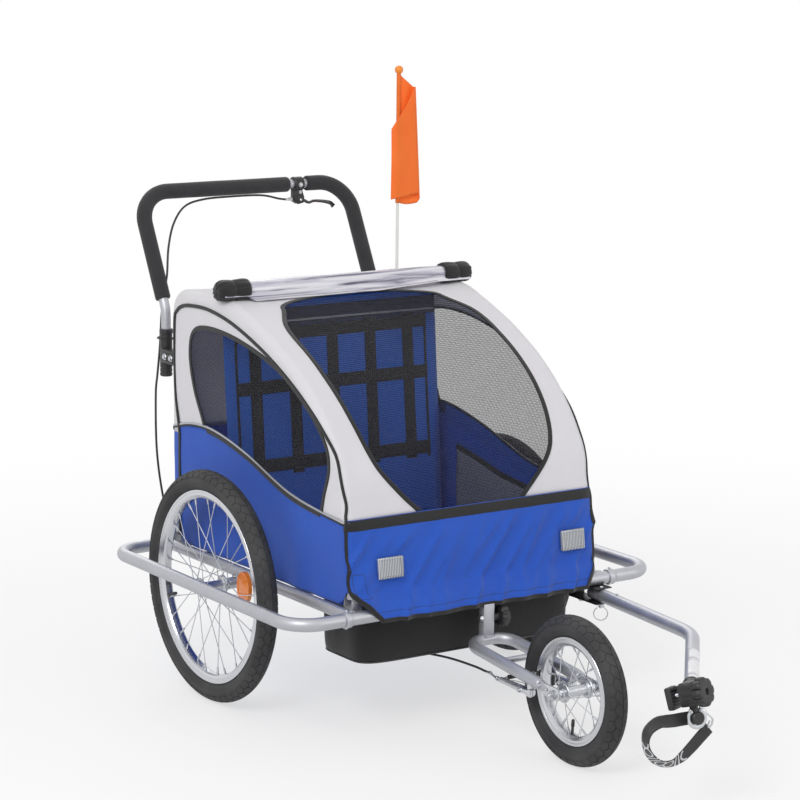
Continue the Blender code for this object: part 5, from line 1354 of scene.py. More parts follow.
LEVELS = 26
bm = bmesh.new()
made = bmesh.ops.create_grid(bm, x_segments=len(RING), y_segments=LEVELS, size=0.5)["verts"]
for vert in made:
    k = round((vert.co.x + 0.5) * len(RING)) % len(RING)
    share = vert.co.y + 0.5
    base, out = wall_spot(RING[k], 0.4)
    low = wall_foot(base.x, base.y)
    high = seam_z(base.y) - 0.0004
    spot, out = wall_spot(RING[k], low + (high - low) * share)
    vert.co = spot + out * wall_lift(spot, out)
bmesh.ops.remove_doubles(bm, verts=bm.verts, dist=0.00002)
bmesh.ops.recalc_face_normals(bm, faces=bm.faces)
walls = make_piece("tub_walls", bm, blue_polyester, "tub", "blue_fabric", 60)
thicken(walls, 0.0014)

FLOOR_X = (
    [-0.3085, -0.281, -0.262] + [-0.262 + 0.524 * k / 12 for k in range(1, 12)]
    + [0.262, 0.281, 0.3085]
)
FLOOR_Y = [-0.424, -0.404, -0.391] + [-0.391 + 0.151 * k / 4 for k in range(1, 4)]
FLOOR_Y += [-0.24 + 0.502 * k / 12 for k in range(13)] + [0.297]
bm = bmesh.new()
bmesh.ops.create_grid(bm, x_segments=len(FLOOR_X) - 1, y_segments=len(FLOOR_Y) - 1, size=0.5)
for vert in bm.verts:
    x = FLOOR_X[round((vert.co.x + 0.5) * (len(FLOOR_X) - 1))]
    y = FLOOR_Y[round((vert.co.y + 0.5) * (len(FLOOR_Y) - 1))]
    vert.co = (x, y, TUB_BOTTOM_Z + 0.001 + slack((x, y, 0), 9.0, 0.0008))
gone = []
for face in bm.faces:
    x, y, _ = face.calc_center_median()
    if (abs(x) < 0.262 and -0.404 < y < -0.24) or (abs(x) > 0.281 and (y < -0.391 or y > 0.262)):
        gone.append(face)
bmesh.ops.delete(bm, geom=gone, context="FACES")
bmesh.ops.recalc_face_normals(bm, faces=bm.faces)
floor_cloth = make_piece("tub_floor", bm, blue_polyester, slot="blue_fabric")
thicken(floor_cloth, 0.0014)

# Side seam: black piping with a narrow reflective tape above it, round the rear too
reflective_tape = plain_finish(
    "silver_reflective_tape", ("#A3A5AC", "#C0C2C8"), 0.38, (600, 2), Metallic=0.35
)


def ring_out(point):
    """Outward direction of the cabin's walls at a point in space."""
    flat = BODY_HALF - BODY_EDGE
    over = Vector((max(0.0, abs(point.x) - flat) * math.copysign(1, point.x), 0, 0))
    if point.y > 0.3 - BODY_EDGE:
        over.y = point.y - (0.3 - BODY_EDGE)
    elif point.y < front_at(point.z) + BODY_EDGE:
        over.y = point.y - (front_at(point.z) + BODY_EDGE)
    return over.normalized() if over.length > 1e-5 else Vector((1, 0, 0))


def ring_line(height, start, stop):
    """A line round the walls between two places of the ring, at a height that depends on y."""
    line = []
    for place in RING[start:stop]:
        base, out = wall_spot(place, 0.45)
        z = height(base.y)
        base, out = wall_spot(place, z)
        line.append(base + out * (max(0.0, wall_lift(base, out)) + 0.0008))
    return line


SIDE_PLACES = {"right": (7, 66), "left": (len(RING) - 65, len(RING) - 6)}
bm = bmesh.new()
tape = bmesh.new()
for name, (start, stop) in SIDE_PLACES.items():
    add_strip(
        bm,
        tape_rows(ring_line(lambda y: seam_z(y) - 0.0016, start, stop), ring_out, 0.0042, 0.0026)
    )
    start, stop = (start, stop - 3) if name == "right" else (start + 3, stop)
    add_strip(
        tape,
        tape_rows(ring_line(lambda y: seam_z(y) + 0.0024, start, stop), ring_out, 0.0044, 0.002)
    )
rear = (
    ring_line(lambda y: seam_z(y) - 0.003, len(RING) - 11, None)
    + ring_line(lambda y: seam_z(y) - 0.003, 0, 12)
)
add_strip(bm, tape_rows(rear, ring_out, 0.01, 0.003))
make_piece("side_seam_piping", bm, black_binding, slot="black_fabric")
make_piece("side_seam_reflective_line", tape, reflective_tape, slot="lens")

# Front apron
# A blue flap sewn under the front window and let down over the front crossbar; it is bound in
# black, hangs in soft slanting folds and carries the two front reflectors.
APRON = smooth_curve(
    [
        (-0.4116, 0.464, 0.3104), (-0.4212, 0.39, 0.3108), (-0.429, 0.325, 0.3112),
        (-0.4375, 0.308, 0.303), (-0.454, 0.295, 0.2895), (-0.4735, 0.264, 0.26),
    ],
    10,
)
REFLECTORS = {"left": -0.216, "right": 0.25}


def apron_fold(x, z):
    """Slanting folds, pressed flat round the reflectors and along the top."""
    across = 0.8 * x - 0.6 * (z - 0.38)
    down = 0.6 * x + 0.8 * (z - 0.38)
    wave = noise.noise(Vector((across * 21, down * 2.8, 4.1)))
    fold = 0.0098 * max(0.0, 1 - 2.2 * abs(wave)) ** 1.6 - 0.001
    fold += 0.0024 * noise.noise(Vector((across * 7, down * 5, 9.3)))
    calm = min(1.0, max(0.0, (0.442 - z) / 0.03))
    for centre in REFLECTORS.values():
        near = max(abs(x - centre) / 0.031, abs(z - 0.3595) / 0.0225)
        calm *= min(1.0, max(0.0, (near - 1.0) / 0.9))
    return fold * calm


def apron_point(u, v, proud=0.0):
    """Point of the apron: u across it, v down it."""
    row = v * (len(APRON) - 1)
    k = min(int(row), len(APRON) - 2)
    y, z, half = APRON[k].lerp(APRON[k + 1], row - k)
    x = (2 * u - 1) * half
    wrap = 0.006 * max(0.0, (abs(x) - 0.285) / 0.026) ** 2
    return Vector((x, y + wrap - proud - apron_fold(x, z), z))


apron = make_cloth(
    "front_apron_cloth", 150, 64, apron_point, blue_polyester, 0.0014, stands_for="front_apron",
    slot="blue_fabric"
)

bm = bmesh.new()
edge = [apron_point(0, k / 40) for k in range(2, 40)] + [apron_point(k / 90, 1) for k in range(91)]
edge += [apron_point(1, 1 - k / 40) for k in range(1, 39)]
add_strip(bm, tape_rows(edge, (0, -0.95, -0.3), 0.0105, 0.0018, both=True))
band = [apron_point(k / 60, 0.032, 0.0006) for k in range(61)]
add_strip(bm, tape_rows(band, (0, -0.99, 0.13), 0.0225, 0.0018, both=True))
make_piece("front_apron_binding", bm, black_binding, slot="black_fabric")

# Stitching: a line of navy thread above the hem, and a sewn square at the left corner
navy_thread = cloth_finish("navy_sewing_thread", "#14357C", "#1B4191", 0.6)
grey_thread = cloth_finish("grey_sewing_thread", "#8D8D93", "#A2A2A8", 0.6)
bm = bmesh.new()
add_strip(
    bm,
    tape_rows([apron_point(k / 120, 0.905, 0.0007) for k in range(121)], (0, -1, 0), 0.0017, 0.0005)
)
square = [(0.012, 0.3), (0.052, 0.3), (0.052, 0.62), (0.012, 0.62), (0.012, 0.3)]
for (u0, v0), (u1, v1) in zip(square, square[1:]):
    add_strip(
        bm,
        tape_rows(
            [
                apron_point(u0 + (u1 - u0) * k / 10, v0 + (v1 - v0) * k / 10, 0.0008)
                for k in range(11)
            ],
            (0, -1, 0), 0.0016, 0.0005
        ),
    )
make_piece("front_apron_stitches", bm, navy_thread, slot="blue_fabric")

# Front reflectors: clear ribbed acrylic on a foil, in a moulded frame, sewn on through its rim; the
# ribs are painted dark in their grooves and light on their crests, as painted shade and highlight
clear_lens, tree = new_finish("clear_ribbed_acrylic")
spot = add_node(tree, "TexCoord").outputs["Object"]
# Ribs 4 mm apart
ribs = add_node(
    tree, "TexWave", Vector=spot, Scale=0.314 / 0.004, Distortion=0.0, bands_direction="X"
)
relief = add_node(tree, "Bump", Strength=0.8, Distance=0.0012, Height=ribs.outputs["Fac"])
# Painted shade and highlight: dark grey in the rib grooves, pale on the crests
tone = add_node(
    tree, "Mix", data_type="RGBA", in0=ribs.outputs["Fac"], in6=linear("#6E7278"),
    in7=linear("#D2D5D9")
)
skin = add_node(
    tree, "BsdfPrincipled", Base_Color=tone.outputs[2], Metallic=0.55, Roughness=0.16,
    Coat_Weight=0.8, Normal=relief.outputs[0]
)
add_node(tree, "OutputMaterial", Surface=skin.outputs[0])
for name, x in REFLECTORS.items():
    lean = math.atan2(0.0089, 0.0734)
    seat = Matrix.Translation((x, -0.4248, 0.3595)) @ Matrix.Rotation(-lean, 4, "X")
    bm = bmesh.new()
    add_block(bm, (-0.031, -0.009, -0.0225), (0.031, -0.0003, 0.0225), 0.0034, 4)
    front = [f for f in bm.faces if f.normal.y < -0.99 and f.calc_area() > 0.001]
    bmesh.ops.inset_region(bm, faces=front, thickness=0.003, depth=0.0)
    bmesh.ops.inset_region(bm, faces=front, thickness=0.0008, depth=-0.0012)
    bmesh.ops.transform(bm, matrix=seat, verts=bm.verts)
    make_piece(
        f"front_reflector_lens_{name}", bm, clear_lens, f"front_reflector_{name}", "lens", 30
    )

# Footwell
# A black coated bag sewn into the floor, where the children's feet hang; piping stiffens its
# lower edges and it sags a little between them.
BAG_LEVELS = [
    (0.2857, 0.27, -0.414, -0.231), (0.273, 0.2702, -0.414, -0.2314),
    (0.26, 0.2706, -0.4141, -0.2318), (0.248, 0.271, -0.4141, -0.2322),
    (0.236, 0.2713, -0.4142, -0.2327), (0.223, 0.2716, -0.4142, -0.2332),
    (0.21, 0.2718, -0.4142, -0.2338), (0.197, 0.2718, -0.414, -0.2344),
    (0.185, 0.2714, -0.4136, -0.235), (0.174, 0.2706, -0.413, -0.2358),
    (0.165, 0.2694, -0.412, -0.2368), (0.159, 0.2676, -0.4106, -0.2384),
    (0.155, 0.264, -0.4076, -0.2418), (0.1525, 0.257, -0.402, -0.248),
    (0.1508, 0.238, -0.388, -0.264), (0.1496, 0.17, -0.36, -0.3), (0.149, 0.07, -0.338, -0.322),
]


def bag_ring(level, count):
    """Points round the bag at a level: a rectangle with rounded corners."""
    z, half, front, rear = level
    centre = (front + rear) / 2
    depth = (rear - front) / 2
    points = []
    for k in range(count):
        turn = 2 * math.pi * (k + 0.5) / count
        cos_t, sin_t = math.cos(turn), math.sin(turn)
        stretch = 1 / max(abs(cos_t) ** 7 + abs(sin_t) ** 7, 1e-9) ** (1 / 7)
        x, y = half * cos_t * stretch, centre + depth * sin_t * stretch
        x = max(-half, min(half, x))
        points.append(Vector((x, y, z)))
    return points


bm = bmesh.new()
columns = 96
made = bmesh.ops.create_grid(
    bm, x_segments=columns, y_segments=len(BAG_LEVELS) - 1, size=0.5
)["verts"]
rings = [bag_ring(level, columns) for level in BAG_LEVELS]
for vert in made:
    k = round((vert.co.x + 0.5) * columns) % columns
    j = round((vert.co.y + 0.5) * (len(BAG_LEVELS) - 1))
    spot = rings[j][k]
    out = Vector((spot.x / 0.27, (spot.y + 0.3225) / 0.09, 0)).normalized()
    vert.co = spot - out * (0.0012 + 0.0022 * abs(noise.noise(spot * 14)) * min(1, j / 3))
bmesh.ops.remove_doubles(bm, verts=bm.verts, dist=0.00002)
bottom = [edge for edge in bm.edges if edge.is_boundary and edge.verts[0].co.z < 0.16]
bmesh.ops.holes_fill(bm, edges=bottom, sides=columns)
bmesh.ops.recalc_face_normals(bm, faces=bm.faces)
bag = make_piece("footwell_bag_cloth", bm, black_binding, "footwell_bag", "black_fabric", 50)
thicken(bag, 0.0014)

line = bag_ring((0.1575, 0.2664, -0.4098, -0.2392), 120)
make_piece(
    "footwell_bag_piping", one_shape(add_tube, line, 0.0019, 2, closed=True), black_nylon,
    slot="black_fabric"
)

# Seat
# The back rest is a blue sheet hung from the seat bar by its hem, with a lattice of black
# webbing sewn on it and a navy band with a reflective line along its top. A foam cushion in a
# blue cover lies on the floor.
SEAT_FOOT = Vector((0.088, 0.2888))
SEAT_TOP = Vector((0.1367, 0.826))
SEAT_RUN = (SEAT_TOP - SEAT_FOOT).normalized()
SEAT_HALF = 0.2785
BAR_CENTRE = Vector((0.15, 0.826))
seat_profile = [SEAT_FOOT.lerp(SEAT_TOP, k / 40) + Vector((0.0012, 0)) for k in range(40)]
for k in range(19):
    turn = math.radians(180 - 15 * k)
    seat_profile.append(BAR_CENTRE + 0.011 * Vector((math.cos(turn), math.sin(turn))))
seat_profile += [BAR_CENTRE + Vector((-0.006, -0.014)), BAR_CENTRE + Vector((-0.0088, -0.022))]


def seat_sag(x, z):
    """How far the back rest has stretched backwards."""
    low = max(0.0, min(1.0, (z - SEAT_FOOT.y) / (SEAT_TOP.y - SEAT_FOOT.y)))
    return (
        0.0022 * math.sin(low * math.pi) * (1 - (x / SEAT_HALF) ** 2)
        + slack((x, 0.1, z), 9.0, 0.001)
    )


def seat_point(u, v):
    at = seat_profile[round(v * (len(seat_profile) - 1))]
    x = (2 * u - 1) * SEAT_HALF
    sag = seat_sag(x, at.y) if v < 0.64 else 0.0
    return x, at.x + sag, at.y


# The seat's blue is drawn lighter than the cloth's own blue: painted light that stands in for the
# light the canopy keeps from the seat and its cushion
seat_blue_with_painted_light = cloth_finish("seat_blue_polyester", "#2F74E6", "#3A82F2", 0.66, through="#6AA2FF")
seat_cloth = make_cloth(
    "seat_back_cloth", 28, len(seat_profile) - 1, seat_point, seat_blue_with_painted_light, 0.0014,
    stands_for="seat_back", slot="blue_fabric"
)


def seat_line(x0, z0, x1, z1, proud=0.0, count=24):
    """A line over the back rest's front between two places."""
    line = []
    for k in range(count + 1):
        x, z = x0 + (x1 - x0) * k / count, z0 + (z1 - z0) * k / count
        share = (z - SEAT_FOOT.y) / (SEAT_TOP.y - SEAT_FOOT.y)
        y = SEAT_FOOT.x + (SEAT_TOP.x - SEAT_FOOT.x) * share + seat_sag(x, z)
        line.append(Vector((x, y - proud, z)))
    return line


SEAT_OUT = (0, -SEAT_RUN.y, SEAT_RUN.x)
PITCH = 0.1005
black_webbing = cloth_finish("black_polypropylene_webbing", "#101012", "#1A1A1C", 0.62, weave=0.6)
bm = bmesh.new()
for k in range(-2, 3):
    add_strip(
        bm, tape_rows(seat_line(k * PITCH, 0.4475, k * PITCH, 0.788), SEAT_OUT, 0.029, 0.0013)
    )
for z in (0.47, 0.642, 0.757):
    add_strip(bm, tape_rows(seat_line(-0.251, z, 0.251, z, 0.0009, 40), SEAT_OUT, 0.029, 0.0014))
for side in (-1, 1):
    add_strip(
        bm,
        tape_rows(seat_line(side * 0.2485, 0.4475, side * 0.2485, 0.788), SEAT_OUT, 0.006, 0.0012)
    )
make_piece("seat_straps", bm, black_webbing, "seat_webbing", "black_fabric")

navy_polyester = cloth_finish("navy_polyester", "#141B3C", "#1B2450", 0.7)
make_piece(
    "seat_top_band",
    one_shape(
        add_strip,
        tape_rows(seat_line(-0.276, 0.7925, 0.276, 0.7925, 0.0012, 40), SEAT_OUT, 0.04, 0.0012)
    ),
    navy_polyester, slot="blue_fabric"
)
make_piece(
    "seat_reflective_line",
    one_shape(
        add_strip,
        tape_rows(seat_line(-0.272, 0.783, 0.272, 0.783, 0.0026, 40), SEAT_OUT, 0.004, 0.0006)
    ),
    reflective_tape, slot="lens"
)

bm = bmesh.new()
bmesh.ops.create_cube(bm, size=2.0)
bmesh.ops.subdivide_edges(bm, edges=bm.edges[:], cuts=15, use_grid_fill=True)
for vert in bm.verts:
    u, v, w = vert.co
    full = math.sqrt(max(0.0, (1 - u**4) * (1 - v**4)))
    thick = 0.0085 + 0.0115 * full
    rise = 0.001 * noise.noise(Vector((u * 5, v * 3, 0.3)))
    channel = 0.005 * math.exp(-((u / 0.07) ** 2)) * full * (w > 0)
    x = u * 0.262 * (1 - 0.01 * w * w)
    y = -0.0475 + v * 0.1175 * (1 - 0.02 * w * w)
    vert.co = (x, y, 0.3095 + w * thick + (rise - channel) * max(0.0, w))
bmesh.ops.recalc_face_normals(bm, faces=bm.faces)
# The cushion's cover takes the same lightened blue, with its painted light
cushion = make_piece("seat_cushion", bm, seat_blue_with_painted_light, "seat_pad", "blue_fabric", 60)
line = []
for k in range(120):
    turn = 2 * math.pi * (k + 0.5) / 120
    cos_t, sin_t = math.cos(turn), math.sin(turn)
    stretch = 1 / (abs(cos_t) ** 12 + abs(sin_t) ** 12) ** (1 / 12)
    line.append((0.2622 * cos_t * stretch, -0.0475 + 0.1178 * sin_t * stretch, 0.3095))
make_piece(
    "seat_cushion_piping", one_shape(add_tube, line, 0.0022, 2, closed=True), black_binding,
    slot="black_fabric"
)

# Net pockets inside the walls
# Their net is grey, with holes of about 4 mm
POCKET_TOP = [(0.08, 0.468), (0.006, 0.455), (-0.098, 0.432), (-0.205, 0.42)]
grey_net = net_finish("grey_knitted_net", "#A2A3A9", 0.004, 0.4, (0.24, 0.4), (0.25, 0.9))
for name, side in SIDES:

    def pocket_point(u, v):
        y = 0.078 - 0.283 * u
        for (rear_y, rear_z), (front_y, front_z) in zip(POCKET_TOP, POCKET_TOP[1:]):
            if front_y <= y <= rear_y:
                top = rear_z + (front_z - rear_z) * (rear_y - y) / (rear_y - front_y)
        bulge = 0.0012 * math.sin(u * math.pi) * math.sin(v * math.pi / 2) * (
            1 + math.sin(u * 14) * 0.4
        )
        return side * (0.307 - bulge), y, 0.289 + (top - 0.289) * v

    net = make_cloth(
        f"pocket_net_{name}", 24, 12, pocket_point, grey_net, 0.0006,
        stands_for=f"side_pocket_{name}", slot="mesh"
    )
    rim_line = [
        Vector(pocket_point(k / 40, 1.0)) - Vector((side * 0.0002, 0, 0)) for k in range(41)
    ]
    make_piece(
        f"pocket_binding_{name}",
        one_shape(add_strip, tape_rows(rim_line, (-side, 0, 0), 0.014, 0.001, both=True)),
        black_binding, slot="black_fabric"
    )
    # Blue facing inside the window's lower edge
    facing = []
    for k in range(41):
        y = 0.125 - 0.43 * k / 40
        facing.append(Vector((side * 0.3084, y, seam_z(y) - 0.02)))
    make_piece(
        f"window_facing_{name}",
        one_shape(add_strip, tape_rows(facing, (-side, 0, 0), 0.034, 0.0006, both=True)),
        blue_polyester, slot="blue_fabric"
    )
    # Binding along the window's lower edge, outside
    ledge = []
    for k in range(61):
        y = 0.143 - 0.457 * k / 60
        ledge.append(Vector((side * (BODY_HALF + 0.0004), y, seam_z(y) - 0.005)))
    make_piece(
        f"window_sill_binding_{name}",
        one_shape(add_strip, tape_rows(ledge, (side, 0, 0), 0.0105, 0.0026)), black_binding,
        slot="black_fabric"
    )

# Rain cover roll
# A clear film cover, rolled up above the front window and held at both ends by black gathered
# caps. Its last turn hangs down in front and is sewn to the roof.
ROLL_Y, ROLL_Z = 0.075, 0.869
ROLL_HALF = 0.3193
ROLL_OUTER, ROLL_CORE = 0.0186, 0.0092
ROLL_TURNS = 7

# Clear PVC film in many layers: glossy and milky, with painted dark streaks that stand in for dark
# reflections, and painted shade in its creases
clear_film, tree = new_finish("rolled_clear_pvc_film")
spot = add_node(tree, "TexCoord").outputs["Object"]
# Creases run along the roll, about 12 mm wide and 0.25 m long
drawn = add_node(tree, "VectorMath", operation="MULTIPLY", in0=spot, in1=(4.0, 85.0, 85.0))
crease = add_node(tree, "TexNoise", Vector=drawn.outputs[0], Scale=1.0, Detail=4, Distortion=0.8)
# Painted shade and reflection: the film is painted dark grey-lilac where the creases sink and pale
# where they rise
tone = add_node(tree, "ValToRGB", Fac=crease.outputs["Fac"])
tone.color_ramp.elements[0].position = 0.36
tone.color_ramp.elements[0].color = linear("#77758A")
tone.color_ramp.elements[1].position = 0.6
tone.color_ramp.elements[1].color = linear("#F1EFF5")
middle = tone.color_ramp.elements.new(0.45)
middle.color = linear("#CBC8D6")
relief = add_node(tree, "Bump", Strength=0.45, Distance=0.0012, Height=crease.outputs["Fac"])
skin = add_node(
    tree, "BsdfPrincipled", Base_Color=tone.outputs[0], Roughness=0.13, IOR=1.53, Coat_Weight=0.5,
    Normal=relief.outputs[0]
)
clear = add_node(tree, "BsdfTransparent", Color=(1, 1, 1, 1))
mixed = add_node(tree, "MixShader", in0=0.8, in1=clear.outputs[0], in2=skin.outputs[0])
add_node(tree, "OutputMaterial", Surface=mixed.outputs[0])


def roof_height(y):
    """Height of the roof's skin at a place along it."""
    for a, b in zip(OUTLINE, OUTLINE[1:]):
        if b.x < y <= a.x and a.y > 0.6:
            return a.y + (b.y - a.y) * (a.x - y) / (a.x - b.x)
    return WINDOW_TOP_Z


def film_point(u, v):
    """Point of the rolled film: u along the roll, v from its core to its sewn edge."""
    x = (2 * u - 1) * ROLL_HALF
    share = min(1.0, v / 0.94)
    turn = math.radians(196) - 2 * math.pi * ROLL_TURNS * (1 - share)
    radius = ROLL_CORE + (ROLL_OUTER - ROLL_CORE) * share
    way = Vector((math.cos(turn), math.sin(turn)))
    crush = 0.0016 * noise.noise(Vector((x * 5 + turn * 0.25, way.x * 1.1, way.y * 1.1)))
    crush += 0.0007 * noise.noise(Vector((x * 17, way.x * 2.6, way.y * 2.6)))
    radius += crush * (0.4 + 0.6 * share)
    y, z = ROLL_Y + radius * way.x, ROLL_Z + radius * way.y
    if share == 1.0:
        down = (v - 0.94) / 0.06
        short = min(1.0, max(0.25, (0.27 - x) / 0.2)) * min(1.0, max(0.0, (0.262 + x) / 0.012))
        foot_y = 0.052 - 0.006 * short
        foot_z = roof_height(foot_y) + 0.0018 + 0.01 * (1 - short)
        y += (foot_y - y) * down
        z += (foot_z - z) * down + 0.0012 * math.sin(down * math.pi) * noise.noise(
            Vector((x * 9, 0, 0))
        )
    return x, y, max(z, roof_height(y) + 0.0006)


film = make_cloth(
    "rain_cover_film", 96, 24 * ROLL_TURNS, film_point, clear_film, 0.0004, False,
    stands_for="rain_cover_roll", slot="clear"
)
line = [
    Vector(film_point(0.1 + 0.76 * k / 80, 0.985)) + Vector((0, -0.0005, 0.0002)) for k in range(81)
]
make_piece(
    "rain_cover_stitches", one_shape(add_strip, tape_rows(line, (0, -0.8, 0.6), 0.0014, 0.0004)),
    grey_thread, slot="white_fabric"
)

CAP_PROFILE = [
    (0.3183, 0), (0.3183, 0.0188), (0.2545, 0.019), (0.252, 0.0205), (0.2535, 0.0228),
    (0.26, 0.0241), (0.27, 0.0244), (0.28, 0.0238), (0.289, 0.0229), (0.2905, 0.0221),
    (0.292, 0.0229), (0.301, 0.0238), (0.312, 0.0238), (0.32, 0.0226), (0.3255, 0.0195),
    (0.328, 0.014), (0.3288, 0.007), (0.329, 0),
]
for name, side in SIDES:
    bm = bmesh.new()
    turn_profile(
        bm, [(side * along_roll, out) for along_roll, out in CAP_PROFILE], (0, 0, 0), 96,
        closed=False
    )
    for vert in bm.verts:
        out = Vector((vert.co.y, vert.co.z))
        if out.length > 0.0195 or abs(vert.co.x) > 0.3195:
            angle = math.atan2(out.y, out.x)
            gather = noise.noise(
                Vector((math.cos(angle) * 5.2, math.sin(angle) * 5.2, abs(vert.co.x) * 16 + side))
            )
            fine = noise.noise(
                Vector((math.cos(angle) * 11, math.sin(angle) * 11, abs(vert.co.x) * 22))
            )
            out *= 1 + 0.07 * gather + 0.03 * fine
            vert.co.y, vert.co.z = out.x, out.y
            vert.co.x += side * 0.0014 * gather
        vert.co.y += ROLL_Y
        vert.co.z = max(vert.co.z + ROLL_Z, roof_height(vert.co.y) + 0.0008)
    make_piece(
        f"rain_roll_cover_cap_{name}", bm, black_binding, f"rain_roll_cap_{name}", "rubber", 50
    )

# Push handle
# One bent aluminium tube over the rear of the cabin, pushed into two black sockets clamped to the
# hoops. Two sleeves of closed-cell foam cover it, and the brake lever sits in the gap between.
HANDLE_X, LEG_Y = 0.2786, 0.3815
BAR_Y, BAR_Z = 0.5082, 1.0355
HANDLE_CORNERS = [
    Vector((-HANDLE_X, LEG_Y, 0.652)), Vector((-HANDLE_X, LEG_Y, 0.785)),
    Vector((-HANDLE_X, BAR_Y, BAR_Z)), Vector((HANDLE_X, BAR_Y, BAR_Z)),
    Vector((HANDLE_X, LEG_Y, 0.785)), Vector((HANDLE_X, LEG_Y, 0.652)),
]
HANDLE_BEND = 0.075
make_piece(
    "push_handle_tube",
    one_shape(add_tube, rounded_path(HANDLE_CORNERS, HANDLE_BEND, 14), 0.011, 6), silver_tube,
    "push_handle", "frame"
)

# Closed-cell foam: dull black, with open skin cells of about 0.6 mm, drawn twice that to show
foam_sleeve, tree = new_finish("closed_cell_foam")
spot = add_node(tree, "TexCoord").outputs["Object"]
cloud = add_node(tree, "TexNoise", Vector=spot, Scale=26, Detail=5)
shade = add_node(
    tree, "Mix", data_type="RGBA", in0=cloud.outputs["Fac"], in6=linear("#242426"),
    in7=linear("#333336")
)
cell = add_node(tree, "TexVoronoi", Vector=spot, Scale=850)
relief = add_node(tree, "Bump", Strength=0.7, Distance=0.0004, Height=cell.outputs["Distance"])
soft = add_node(
    tree, "Bump", Strength=0.3, Distance=0.003, Height=cloud.outputs["Fac"],
    Normal=relief.outputs[0]
)
skin = add_node(
    tree, "BsdfPrincipled", Base_Color=shade.outputs[2], Roughness=0.88, Sheen_Weight=0.15,
    Normal=soft.outputs[0]
)
add_node(tree, "OutputMaterial", Surface=skin.outputs[0])

FOAM_FOOT_Z = 0.809
for name, side, end_x in (("left", -1, 0.118), ("right", 1, 0.166)):
    knee, top = HANDLE_CORNERS[1], HANDLE_CORNERS[2]
    lower = knee.lerp(top, (FOAM_FOOT_Z - knee.z) / (top.z - knee.z))
    run = [
        Vector((side * HANDLE_X, lower.y, lower.z)), Vector((side * HANDLE_X, top.y, top.z)),
        Vector((end_x, top.y, top.z))
    ]
    path = rounded_path(run, HANDLE_BEND, 16)
    straight = [path[-2].lerp(path[-1], k / 12) for k in range(13)][1:-1]
    first, last = (path[1] - path[0]).normalized(), (path[-1] - path[-2]).normalized()
    path = [path[0], path[0] + first * 0.0012, path[0] + first * 0.004] + path[1:-1] + straight + [
        path[-1] - last * 0.004, path[-1] - last * 0.0012, path[-1]
    ]
    radii = [1 + 0.012 * noise.noise(point * 21) for point in path]
    radii[0] = radii[-1] = 0.8
    radii[1] = radii[-2] = 0.93
    make_piece(
        f"foam_sleeve_{name}", one_shape(add_tube, path, 0.0175, 7, radii=radii), foam_sleeve,
        f"grip_{name}", "foam"
    )

for name, side in SIDES:
    # Socket: a moulded sleeve with a collar, and an arm forward to the hoop through the cover
    x = side * HANDLE_X
    bm = bmesh.new()
    sleeve = [
        (0.637, 0), (0.637, 0.012), (0.639, 0.014), (0.644, 0.014), (0.645, 0.0132),
        (0.648, 0.0132), (0.649, 0.014), (0.653, 0.014), (0.654, 0.0132), (0.657, 0.0132),
        (0.658, 0.014), (0.733, 0.0138), (0.734, 0.0152), (0.7425, 0.0152), (0.744, 0.0142),
        (0.744, 0.0113), (0.65, 0.0113), (0.65, 0),
    ]
    turn_profile(bm, sleeve, (x, LEG_Y, 0), 40, (0, 0, 1), closed=False)
    add_block(
        bm, (x - 0.0135 + side * 0.0064, 0.286, 0.6705),
        (x + 0.0135 + side * 0.0064, 0.3755, 0.7015), 0.003, 3
    )
    for z in (0.6775, 0.6945):
        add_block(
            bm, (x - 0.015 + side * 0.0064, 0.308, z - 0.0012),
            (x + 0.015 + side * 0.0064, 0.366, z + 0.0012), 0.0008, 2
        )
    make_piece(
        f"handle_socket_sleeve_{name}", bm, black_nylon, f"handle_socket_{name}", "plastic", 30
    )
    bm = bmesh.new()
    add_bolt(bm, (x + side * 0.0199, 0.325, 0.686), (side, 0, 0))
    add_bolt(bm, (x + side * 0.0199, 0.352, 0.686), (side, 0, 0))
    turn_profile(
        bm, [(0, 0), (0, 0.004), (0.003, 0.004), (0.0042, 0.0028), (0.0046, 0)], (x, 0.395, 0.722),
        16, (0, 1, 0), closed=False
    )
    make_piece(f"handle_socket_bolts_{name}", bm, zinc_steel, slot="steel")

# Brake lever
# A hinged clamp of black nylon round the bar, with an alloy lever lacquered black, and a steel
# barrel that takes up the slack of the cable.


def add_plate(bm, outline, lift, rounding):
    """A plate: a flat outline, thickened by a vector, with its edges rounded."""
    corners = [bm.verts.new(point) for point in outline]
    raised = bmesh.ops.extrude_face_region(bm, geom=[bm.faces.new(corners)])
    tops = [part for part in raised["geom"] if isinstance(part, bmesh.types.BMVert)]
    bmesh.ops.translate(bm, vec=lift, verts=tops)
    shape = corners + tops
    bmesh.ops.recalc_face_normals(
        bm, faces=list({face for vert in shape for face in vert.link_faces})
    )
    if rounding:
        edges = [
            e
            for e in {
                edge for vert in shape for edge in vert.link_edges
            } if e.calc_face_angle(0) > 0.5
        ]
        bmesh.ops.bevel(
            bm, geom=edges, offset=rounding, segments=2, profile=0.5, affect="EDGES", material=-1
        )


